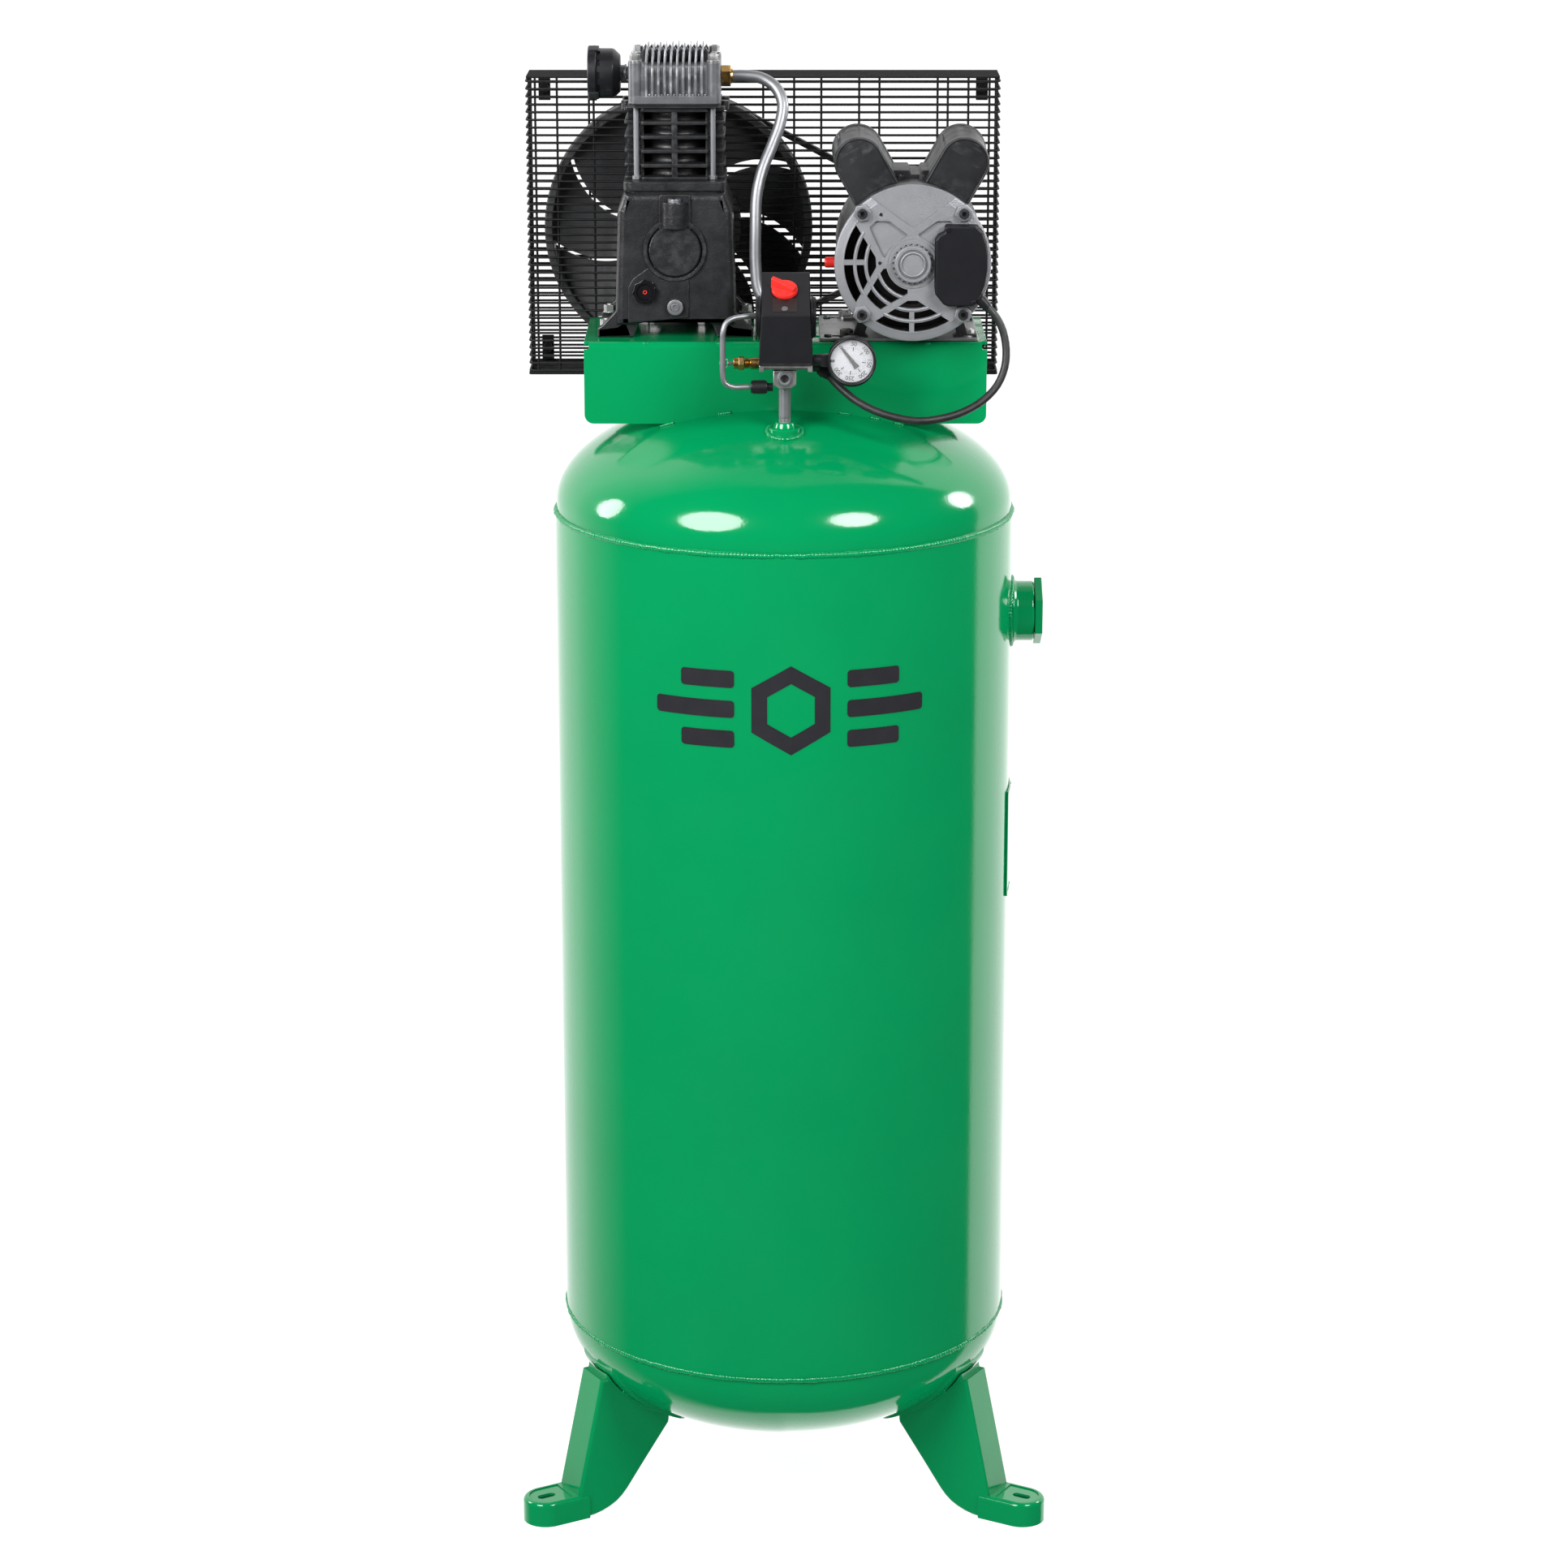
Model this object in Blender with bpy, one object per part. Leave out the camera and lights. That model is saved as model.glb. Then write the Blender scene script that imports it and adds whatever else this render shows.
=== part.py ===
"""Vertical tank air compressor: receiver on three legs, bench, pump, motor, belt drive and control group.

Everything is placed in a frame whose Z axis is the receiver's axis and whose Z = 0 is the floor. The empty
"assembly" then moves that axis back, so that the whole object's box is centred on the origin.
"""

import math

import bmesh
import bpy
from mathutils import Matrix, Vector

# Receiver
TANK_R = 0.254
HEAD_R = 0.2525
WALL = 0.003
SEAM_LOW = 0.2113
SEAM_HIGH = 1.1509
TOP_FLANGE = 0.0111
TOP_DEPTH = 0.1151
LOW_FLANGE = 0.0046
LOW_DEPTH = 0.1288
GAP = 0.0003
AXIS_Y = -0.04375

# Legs, in a plane through the receiver's axis: distance from the axis and height
LEG_HALF = 0.024
LEG_SHEET = 0.004
LEG_TOP = (0.254, 0.165)
FOOT_Z = 0.0285
FOOT_R = 0.315
FOOT_NOSE = 0.0265
LEG_BEND = 0.285
PAD_LIFT = 0.0025
PAD_THICK = 0.0052

# Side outlet and data plate
OUTLET_Z = 1.033
PLATE_LOW, PLATE_HIGH = 0.7121, 0.8350

# Bench
BENCH_X0, BENCH_X1 = -0.2175, 0.2205
BENCH_Y0, BENCH_Y1 = -0.068, 0.107
BENCH_LOW, BENCH_TOP = 1.258, 1.3475
BENCH_SHEET = 0.004

# Pump
PUMP_X = -0.1185
PUMP_Y = 0.025
CRANK_Z = 1.444
CASE_Y0, CASE_Y1 = -0.040, 0.090
FLANGE_LOW, FLANGE_TOP = 1.5075, 1.5175
BORE_R = 0.0255
CYL_TOP = 1.5955
HEAD_LOW, HEAD_TOP, PIN_TOP = 1.5999, 1.6475, 1.6590
STROKE = 0.045
PISTON_TALL = 0.040
CRANK_R = 0.0120
ARCH_Z = 1.3665
SIGHT_X, SIGHT_Z = -0.1512, 1.3988
OIL_DRAIN_Z = 1.3819
FILTER_Z = 1.6271
PORT_Y = 0.030

# Belt drive
BELT_Y = 0.150
FLYWHEEL_R = 0.1505
PULLEY_R = 0.0355
BELT_IN_BIG, BELT_IN_SMALL = 0.1435, 0.0285
BELT_DEEP = 0.0068
RIM_IN = 0.1375

# Fan blades of the flywheel: count, first gap's angle at the hub, a gap's width and a blade's sweep, in
# degrees, and the distances from the hub between which they are parted
FAN_BLADES = 9
FAN_START, FAN_GAP, FAN_SWEEP = 7.0, 7.0, 21.0
FAN_NEAR, FAN_FAR = 0.066, 0.130

# Motor
MOTOR_X, MOTOR_Z = 0.138, 1.4387
MOTOR_R = 0.0805
MOTOR_Y0, MOTOR_Y1 = -0.075, 0.085
BELL_Y0, BELL_Y1 = -0.105, 0.105
SHAFT_R = 0.0079
EAR_TILT = math.radians(29.5)
EAR_REACH = 0.1155
EAR_R = 0.027
TERMINAL_LOW, TERMINAL_HIGH = (0.1620, 1.3945), (0.2175, 1.4807)
TERMINAL_CORNER = 0.011

# Control group
SWITCH_X0, SWITCH_X1 = -0.0260, 0.0300
SWITCH_Y0, SWITCH_Y1 = -0.165, -0.098
SWITCH_LOW, SWITCH_LIP, SWITCH_TOP = 1.3388, 1.3924, 1.4290
SLOPE_Y = -0.103
RISER_X, RISER_Y = 0.0008, -0.130
GAUGE = Vector((0.0723, -0.165, 1.3428))
GAUGE_R = 0.0260
POINTER_ANGLE = 128.0
VALVE_Z = 1.3350
VALVE_Y = -0.128
CHECK = Vector((-0.012, -0.038, 0.0))

# Motor lead: where it leaves the terminal cover's corner, and where it enters the switch's connector
CABLE_START = (0.2124, -0.1120, 1.3996)
CABLE_END = (0.0430, -0.1250, 1.3260)

# Belt guard
GUARD_X0, GUARD_X1 = -0.2885, 0.2415
GUARD_Y0, GUARD_Y1 = 0.120, 0.195
GUARD_Z0, GUARD_Z1 = 1.279, 1.614
WIRE = 0.0025
HUB_HOLE_R, SHAFT_HOLE_R = 0.045, 0.025


def clear_scene():
    for obj in list(bpy.data.objects):
        bpy.data.objects.remove(obj, do_unlink=True)


clear_scene()
assembly = bpy.data.objects.new("assembly", None)
assembly.location = (0.0, AXIS_Y, 0.0)
bpy.context.scene.collection.objects.link(assembly)


# Materials


def make_material(name, colour, roughness, metallic):
    made = bpy.data.materials.new(name)
    made.use_nodes = True
    shader = made.node_tree.nodes["Principled BSDF"]
    shader.inputs["Base Color"].default_value = (*colour, 1.0)
    shader.inputs["Roughness"].default_value = roughness
    shader.inputs["Metallic"].default_value = metallic
    made.diffuse_color = (*colour, 1.0)
    return made


GREEN = make_material("green_paint", (0.001, 0.335, 0.105), 0.25, 0.0)
BLACK_CAST = make_material("black_cast", (0.018, 0.019, 0.021), 0.5, 0.2)
BLACK_PLASTIC = make_material("black_plastic", (0.02, 0.02, 0.022), 0.55, 0.0)
ALUMINIUM = make_material("cast_aluminium", (0.55, 0.56, 0.57), 0.42, 1.0)
STEEL = make_material("bright_steel", (0.52, 0.53, 0.55), 0.3, 1.0)
ZINC = make_material("zinc_plate", (0.50, 0.52, 0.52), 0.4, 0.9)
BRASS = make_material("brass", (0.60, 0.40, 0.16), 0.32, 1.0)
RED = make_material("red_plastic", (0.62, 0.03, 0.02), 0.4, 0.0)
RUBBER = make_material("black_rubber", (0.015, 0.015, 0.016), 0.7, 0.0)
CLEAR = make_material("clear_lens", (0.85, 0.88, 0.88), 0.05, 0.0)
COPPER = make_material("copper_winding", (0.45, 0.2, 0.1), 0.4, 0.8)


# Modelling helpers


def add_object(name, mesh, material, origin=(0.0, 0.0, 0.0), smooth_angle=40.0):
    """Links a mesh whose points are in the assembly's frame, with its own origin at the given point."""
    mesh.transform(Matrix.Translation(-Vector(origin)))
    mesh.shade_smooth()
    mesh.set_sharp_from_angle(angle=math.radians(smooth_angle))
    if material:
        mesh.materials.append(material)
    obj = bpy.data.objects.new(name, mesh)
    obj.location = origin
    obj.parent = assembly
    bpy.context.scene.collection.objects.link(obj)
    return obj


def mesh_from(bm, name):
    bmesh.ops.recalc_face_normals(bm, faces=bm.faces)
    mesh = bpy.data.meshes.new(name)
    bm.to_mesh(mesh)
    bm.free()
    return mesh


PLANES = {
    "XZ": lambda a, b, c: (a, c, b),
    "YZ": lambda a, b, c: (c, a, b),
    "XY": lambda a, b, c: (a, b, c),
}


def prism_mesh(name, outlines, plane, low, high, turn=None):
    """Extrudes closed outlines across their plane, from low to high, then turns them by a matrix."""
    bm = bmesh.new()
    for outline in outlines:
        corners = [bm.verts.new(PLANES[plane](a, b, low)) for a, b in outline]
        face = bm.faces.new(corners)
        made = bmesh.ops.extrude_face_region(bm, geom=[face])
        moved = [part for part in made["geom"] if isinstance(part, bmesh.types.BMVert)]
        bmesh.ops.translate(bm, verts=moved, vec=PLANES[plane](0.0, 0.0, high - low))
    if turn:
        bmesh.ops.transform(bm, matrix=turn, verts=bm.verts)
    return mesh_from(bm, name)


def prism(name, outline, plane, low, high, material, origin=(0.0, 0.0, 0.0)):
    return add_object(name, prism_mesh(name, [outline], plane, low, high), material, origin)


def box(name, low, high, material, origin=(0.0, 0.0, 0.0)):
    outline = [(low[0], low[1]), (high[0], low[1]), (high[0], high[1]), (low[0], high[1])]
    return prism(name, outline, "XY", low[2], high[2], material, origin)


AXES = {
    "X": Matrix.Rotation(math.radians(90.0), 4, "Y"),
    "Y": Matrix.Rotation(math.radians(-90.0), 4, "X"),
    "Z": Matrix.Identity(4),
}


def turned(name, profile, centre, axis, steps, material, origin=None, ring=False):
    """Spins a profile of (radius, distance along the axis) points about an axis through the centre."""
    bm = bmesh.new()
    corners = [bm.verts.new((radius, 0.0, along)) for radius, along in profile]
    pairs = list(zip(corners, corners[1:]))
    if ring:
        pairs.append((corners[-1], corners[0]))
    edges = [bm.edges.new(pair) for pair in pairs]
    bmesh.ops.spin(
        bm,
        geom=corners + edges,
        cent=(0.0, 0.0, 0.0),
        axis=(0.0, 0.0, 1.0),
        dvec=(0.0, 0.0, 0.0),
        angle=2.0 * math.pi,
        steps=steps,
        use_merge=True,
        use_duplicate=False,
    )
    bmesh.ops.remove_doubles(bm, verts=bm.verts, dist=1e-6)
    place = Matrix.Translation(centre) @ AXES[axis]
    bmesh.ops.transform(bm, matrix=place, verts=bm.verts)
    return add_object(name, mesh_from(bm, name), material, origin or (0.0, 0.0, 0.0))


def cylinder(name, centre, axis, radius, low, high, steps, material=None, origin=None):
    """A plain round bar along an axis, between two distances from the centre."""
    profile = [(0.0, low), (radius, low), (radius, high), (0.0, high)]
    return turned(name, profile, centre, axis, steps, material, origin)


def helper(obj):
    obj.hide_render = True
    obj.display_type = "WIRE"
    return obj


def combine(target, other, operation):
    modifier = target.modifiers.new(operation.lower(), "BOOLEAN")
    modifier.operation = operation
    modifier.solver = "EXACT"
    modifier.object = helper(other)
    return target


def cut(target, *cutters):
    for cutter in cutters:
        combine(target, cutter, "DIFFERENCE")
    return target


def join(target, *others):
    for other in others:
        combine(target, other, "UNION")
    return target


def arc(centre, radius, start, end, count):
    """Points on an arc, angles in degrees."""
    points = []
    for index in range(count + 1):
        angle = math.radians(start + (end - start) * index / count)
        points.append((centre[0] + radius * math.cos(angle), centre[1] + radius * math.sin(angle)))
    return points


def rounded_box(low, high, radius, count=3):
    """Outline of a rectangle with rounded corners."""
    corners = ((high[0], low[1], -90), (high[0], high[1], 0), (low[0], high[1], 90), (low[0], low[1], 180))
    inward = ((-1, 1), (-1, -1), (1, -1), (1, 1))
    outline = []
    for (x, z, start), (sx, sz) in zip(corners, inward):
        outline += arc((x + sx * radius, z + sz * radius), radius, start, start + 90, count)
    return outline


def hexagon(centre, radius, start=0.0):
    return arc(centre, radius, start, start + 300.0, 5)


def smooth_route(points, steps):
    """Points of a smooth curve through a route, by centripetal Catmull-Rom interpolation."""
    knots = [Vector(point) for point in points]
    first = knots[0] * 2.0 - knots[1]
    last = knots[-1] * 2.0 - knots[-2]
    knots = [first, *knots, last]
    route = []
    for index in range(1, len(knots) - 2):
        p0, p1, p2, p3 = knots[index - 1 : index + 3]
        t1 = (p1 - p0).length ** 0.5
        t2 = t1 + (p2 - p1).length ** 0.5
        t3 = t2 + (p3 - p2).length ** 0.5
        for step in range(steps):
            t = t1 + (t2 - t1) * step / steps
            a1 = p0.lerp(p1, t / t1)
            a2 = p1.lerp(p2, (t - t1) / (t2 - t1))
            a3 = p2.lerp(p3, (t - t2) / (t3 - t2))
            b1 = a1.lerp(a2, t / t2)
            b2 = a2.lerp(a3, (t - t1) / (t3 - t1))
            route.append(b1.lerp(b2, (t - t1) / (t2 - t1)))
    route.append(knots[-2])
    return route


def tube(name, route, radius, material, sides=2):
    """A round tube along a route, as a curve with filled caps."""
    curve = bpy.data.curves.new(name, "CURVE")
    curve.dimensions = "3D"
    curve.bevel_depth = radius
    curve.bevel_resolution = sides
    curve.use_fill_caps = True
    spline = curve.splines.new("POLY")
    spline.points.add(len(route) - 1)
    for point, place in zip(spline.points, route):
        point.co = (*place, 1.0)
    curve.materials.append(material)
    obj = bpy.data.objects.new(name, curve)
    obj.parent = assembly
    bpy.context.scene.collection.objects.link(obj)
    return obj


# Receiver


def top_z(distance, radius=HEAD_R, depth=TOP_DEPTH):
    """Height of the top head's outer surface at a distance from the axis."""
    return SEAM_HIGH + TOP_FLANGE + depth * math.sqrt(max(0.0, 1.0 - (distance / radius) ** 2))


def low_z(distance, radius=HEAD_R, depth=LOW_DEPTH):
    """Height of the bottom head's outer surface at a distance from the axis."""
    return SEAM_LOW - LOW_FLANGE - depth * math.sqrt(max(0.0, 1.0 - (distance / radius) ** 2))


def head_profile(seam, flange, depth, side):
    """Bowl outline from the outer crown to the rim and back to the inner crown."""

    def bowl(radius, rise, rings):
        angles = [0.5 * math.pi * index / rings for index in range(rings + 1)]
        return [(radius * math.sin(a), seam + side * (flange + rise * math.cos(a))) for a in angles]

    rim = seam + side * GAP
    outer = bowl(HEAD_R, depth, 6)
    inner = bowl(HEAD_R - WALL, depth - WALL, 4)
    return outer + [(HEAD_R, rim), (HEAD_R - WALL, rim)] + inner[::-1]


def dome_cutter(name, clearance, rings):
    """The top head's outer shape, grown by a clearance, for trimming what is welded to it."""
    radius = HEAD_R + clearance
    profile = [(0.0, SEAM_HIGH), (radius, SEAM_HIGH)]
    for index in range(rings + 1):
        angle = 0.5 * math.pi * (1.0 - index / rings)
        height = top_z(HEAD_R) + (TOP_DEPTH + clearance) * math.cos(angle)
        profile.append((radius * math.sin(angle), height))
    return turned(name, profile, (0, 0, 0), "Z", 48, None)


def make_receiver():
    steps = 36
    profile = [
        (TANK_R, SEAM_LOW),
        (TANK_R, SEAM_HIGH),
        (TANK_R - WALL, SEAM_HIGH),
        (TANK_R - WALL, SEAM_LOW),
    ]
    shell = turned("tank_shell", profile, (0, 0, 0), "Z", steps, GREEN, ring=True)
    cut(shell, cylinder("outlet_hole", (0, 0, OUTLET_Z), "X", 0.0305, 0.2, 0.3, 24))
    profile = head_profile(SEAM_HIGH, TOP_FLANGE, TOP_DEPTH, 1)
    top = turned("tank_top_head", profile, (0, 0, 0), "Z", steps, GREEN)
    cut(top, cylinder("riser_hole", (RISER_X, RISER_Y, 1.2), "Z", 0.009, 0.0, 0.1, 12))
    cut(top, cylinder("check_hole", (CHECK.x, CHECK.y, 1.2), "Z", 0.007, 0.0, 0.1, 12))
    profile = head_profile(SEAM_LOW, LOW_FLANGE, LOW_DEPTH, -1)
    low = turned("tank_bottom_head", profile, (0, 0, 0), "Z", steps, GREEN)
    cut(low, cylinder("drain_hole", (0, 0, 0), "Z", 0.0055, 0.05, 0.12, 12))


def leg_outline():
    """Side view of a leg's channel, its upper edge following the doubler pad under the head."""
    inner_r = 0.166
    outline = [LEG_TOP, (LEG_BEND, FOOT_Z), (LEG_BEND, 0.0), (0.268, 0.0), (0.257, 0.003), (0.246, 0.0095)]
    outline += [(0.236, 0.018), (0.226, 0.028), (0.194, 0.062), (0.1695, 0.0905), (0.166, 0.0975)]
    rings = 8
    last_r = 0.2435
    side = LEG_HALF - LEG_SHEET
    for index in range(rings + 1):
        r = inner_r + (last_r - inner_r) * index / rings
        outline.append((r, low_z(math.hypot(r, side)) - PAD_THICK - 2.0 * GAP))
    outline.append((0.2475, 0.165))
    return outline


def foot_outline(half, inner):
    """Plan of a foot: straight sides and a round nose."""
    return [(inner, -half), *arc((FOOT_R, 0.0), half, -90, 90, 10), (inner, half)]


def make_leg(name, angle):
    turn = Matrix.Rotation(math.radians(angle), 4, "Z")

    def piece(label, outline, plane, low, high, material=None):
        mesh = prism_mesh(label, [outline], plane, low, high, turn)
        return add_object(label, mesh, material)

    leg = piece(name, leg_outline(), "XZ", -LEG_HALF, LEG_HALF, GREEN)
    foot = piece(name + "_foot", foot_outline(FOOT_NOSE, LEG_BEND - 0.02), "XY", 0.0, FOOT_Z)
    inside_half = LEG_HALF - LEG_SHEET
    back = [
        (0.10, -0.02),
        (LEG_BEND - LEG_SHEET, -0.02),
        (LEG_BEND - LEG_SHEET, FOOT_Z - 0.5 * LEG_SHEET),
        (LEG_TOP[0] - LEG_SHEET, LEG_TOP[1]),
        (LEG_TOP[0] - LEG_SHEET, 0.25),
        (0.10, 0.25),
    ]
    channel = piece(name + "_channel", back, "XZ", -inside_half, inside_half)
    pocket_plan = foot_outline(FOOT_NOSE - LEG_SHEET, LEG_BEND - 0.015)
    pocket = piece(name + "_pocket", pocket_plan, "XY", -0.01, FOOT_Z - LEG_SHEET)
    slot_plan = arc((FOOT_R + 0.006, 0.0), 0.005, -90, 90, 4) + arc((FOOT_R - 0.006, 0.0), 0.005, 90, 270, 4)
    slot = piece(name + "_slot", slot_plan, "XY", -0.02, 0.05)
    join(leg, foot)
    cut(leg, channel, pocket, slot)


def make_pad(name, angle):
    """Doubler plate bent to the bottom head where a leg is welded on."""
    turn = Matrix.Rotation(math.radians(angle), 4, "Z")
    columns, rows = 5, 4
    near, far, half = 0.152, 0.246, 0.045
    bm = bmesh.new()
    layers = []
    for drop in (PAD_LIFT, PAD_THICK):
        grid = []
        for i in range(columns + 1):
            r = near + (far - near) * i / columns
            end = abs(2.0 * i / columns - 1.0)
            width = half * (1.0 - 0.22 * end**4)
            line = []
            for j in range(rows + 1):
                t = width * (2.0 * j / rows - 1.0)
                line.append(bm.verts.new((r, t, low_z(math.hypot(r, t)) - drop)))
            grid.append(line)
        layers.append(grid)
    for grid in layers:
        for i in range(columns):
            for j in range(rows):
                bm.faces.new((grid[i][j], grid[i + 1][j], grid[i + 1][j + 1], grid[i][j + 1]))
    rim = [(i, 0) for i in range(columns)] + [(columns, j) for j in range(rows)]
    rim += [(i, rows) for i in range(columns, 0, -1)] + [(0, j) for j in range(rows, 0, -1)]
    for (i, j), (k, m) in zip(rim, rim[1:] + rim[:1]):
        bm.faces.new((layers[0][i][j], layers[0][k][m], layers[1][k][m], layers[1][i][j]))
    bmesh.ops.transform(bm, matrix=turn, verts=bm.verts)
    add_object(name, mesh_from(bm, name), GREEN)


def make_legs():
    places = {"front_left": 210.0, "front_right": -30.0, "rear": 90.0}
    for place, angle in places.items():
        make_leg("leg_" + place, angle)
        make_pad("leg_pad_" + place, angle)


def make_outlet():
    bore, neck, collar = 0.026, 0.030, 0.0335
    profile = [(bore, 0.243), (neck, 0.243), (neck, 0.2548), (0.0375, 0.2548), (0.0370, 0.2575)]
    profile += [(collar, 0.2610), (collar, 0.2790), (bore, 0.2790)]
    turned("side_coupling", profile, (0, 0, OUTLET_Z), "X", 24, GREEN, ring=True)
    plug = cylinder("side_coupling_plug", (0, 0, OUTLET_Z), "X", 0.0255, 0.262, 0.2820, 24, GREEN)
    head = prism("outlet_hex", hexagon((0.0, OUTLET_Z), 0.0382, 30.0), "YZ", 0.2793, 0.2880, None)
    join(plug, head)


def make_data_plate():
    """Plate holder bent to the shell on its right side."""
    inner, outer, half_angle = TANK_R + 0.0010, TANK_R + 0.0032, 11.0
    outline = arc((0, 0), outer, -half_angle, half_angle, 6) + arc((0, 0), inner, half_angle, -half_angle, 6)
    prism("data_plate", outline, "XY", PLATE_LOW, PLATE_HIGH, GREEN)


def make_tank_fittings():
    base = top_z(abs(RISER_Y) - 0.020) + 0.0006
    low = top_z(abs(RISER_Y) + 0.021) - 0.002
    profile = [(0.0066, base - 0.010), (0.0212, low), (0.0212, low + 0.004), (0.0150, base + 0.0035)]
    profile += [(0.0105, base + 0.0055), (0.0066, base + 0.0055)]
    bung = turned("switch_bung", profile, (RISER_X, RISER_Y, 0), "Z", 20, GREEN, ring=True)
    cut(bung, dome_cutter("bung_dome", 0.0007, 10))
    lift = top_z(math.hypot(CHECK.x, CHECK.y)) + 0.0010
    profile = [(0.0, lift), (0.0150, lift), (0.0150, lift + 0.034), (0.0105, lift + 0.038)]
    profile += [(0.0105, 1.360), (0.0125, 1.3605), (0.0125, 1.3715), (0.0, 1.3715)]
    turned("check_valve", profile, (CHECK.x, CHECK.y, 0), "Z", 12, BRASS)
    bottom = low_z(0.0)
    profile = [(0.0, bottom + 0.012), (0.0050, bottom + 0.012), (0.0050, bottom - 0.0010)]
    profile += [(0.0090, bottom - 0.0012), (0.0090, bottom - 0.010), (0.0055, bottom - 0.012)]
    profile += [(0.0055, bottom - 0.026), (0.0, bottom - 0.026)]
    turned("drain_cock_body", profile[::-1], (0, 0, 0), "Z", 12, BRASS)
    handle_z = bottom - 0.0300
    pivot = (0.0, 0.0, handle_z)
    low, high = (-0.015, -0.003, handle_z - 0.0035), (0.015, 0.003, handle_z + 0.0035)
    bar = box("drain_cock_handle", low, high, BRASS, pivot)
    join(bar, cylinder("handle_hub", (0, 0, 0), "Z", 0.0052, handle_z - 0.004, handle_z + 0.0036, 12))


# Bench and motor base


def make_bench():
    t = BENCH_SHEET
    outline = [
        (BENCH_Y0, BENCH_LOW),
        (BENCH_Y0 + t, BENCH_LOW),
        (BENCH_Y0 + t, BENCH_TOP - t),
        (BENCH_Y1 - t, BENCH_TOP - t),
        (BENCH_Y1 - t, BENCH_LOW),
        (BENCH_Y1, BENCH_LOW),
        *arc((BENCH_Y1 - 0.007, BENCH_TOP - 0.007), 0.007, 0, 90, 3),
        *arc((BENCH_Y0 + 0.007, BENCH_TOP - 0.007), 0.007, 90, 180, 3),
    ]
    bench = prism("bench", outline, "YZ", BENCH_X0, BENCH_X1, GREEN)
    cut(bench, dome_cutter("bench_dome", 0.0015, 10))
    corner = 0.010
    for label, x, side in (("left", BENCH_X0, 1), ("right", BENCH_X1, -1)):
        round_points = arc((x + side * corner, BENCH_LOW + corner), corner, 180 if side > 0 else 0, 270, 4)
        if side < 0:
            round_points = arc((x - corner, BENCH_LOW + corner), corner, 0, -90, 4)
        outline = [(x - side * 0.01, BENCH_LOW - 0.01), (x - side * 0.01, BENCH_LOW + corner)]
        outline += round_points + [(x + side * corner, BENCH_LOW - 0.01)]
        cut(bench, prism("bench_corner_" + label, outline, "XZ", BENCH_Y0 - 0.01, BENCH_Y1 + 0.01, None))
    cut(bench, cylinder("bench_tube_hole", (CHECK.x, CHECK.y, 0), "Z", 0.020, 1.33, 1.36, 16))


def make_motor_base():
    low, high = BENCH_TOP + GAP, BENCH_TOP + 0.0033
    base = box("motor_slide_base", (0.0388, -0.062, low), (0.2114, 0.095, high), ZINC)
    for label, x in (("left", 0.062), ("right", 0.204)):
        for end, y in (("front", -0.045), ("rear", 0.078)):
            plan = rounded_box((x - 0.012, y - 0.004), (x + 0.006, y + 0.004), 0.0035, 2)
            cut(base, prism(f"base_slot_{label}_{end}", plan, "XY", low - 0.01, high + 0.01, None))
    floor = high + GAP
    outline = [(MOTOR_X - 0.070, floor), (MOTOR_X + 0.070, floor), (MOTOR_X + 0.070, floor + 0.004)]
    outline += [(MOTOR_X + 0.050, 1.383), (MOTOR_X - 0.050, 1.383), (MOTOR_X - 0.070, floor + 0.004)]
    cradle = prism("motor_cradle", outline, "XZ", -0.060, 0.070, ZINC)
    shell = cylinder("cradle_hollow", (MOTOR_X, 0, MOTOR_Z), "Y", MOTOR_R + 0.0008, -0.08, 0.09, 40)
    cut(cradle, shell)


# Pump


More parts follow.
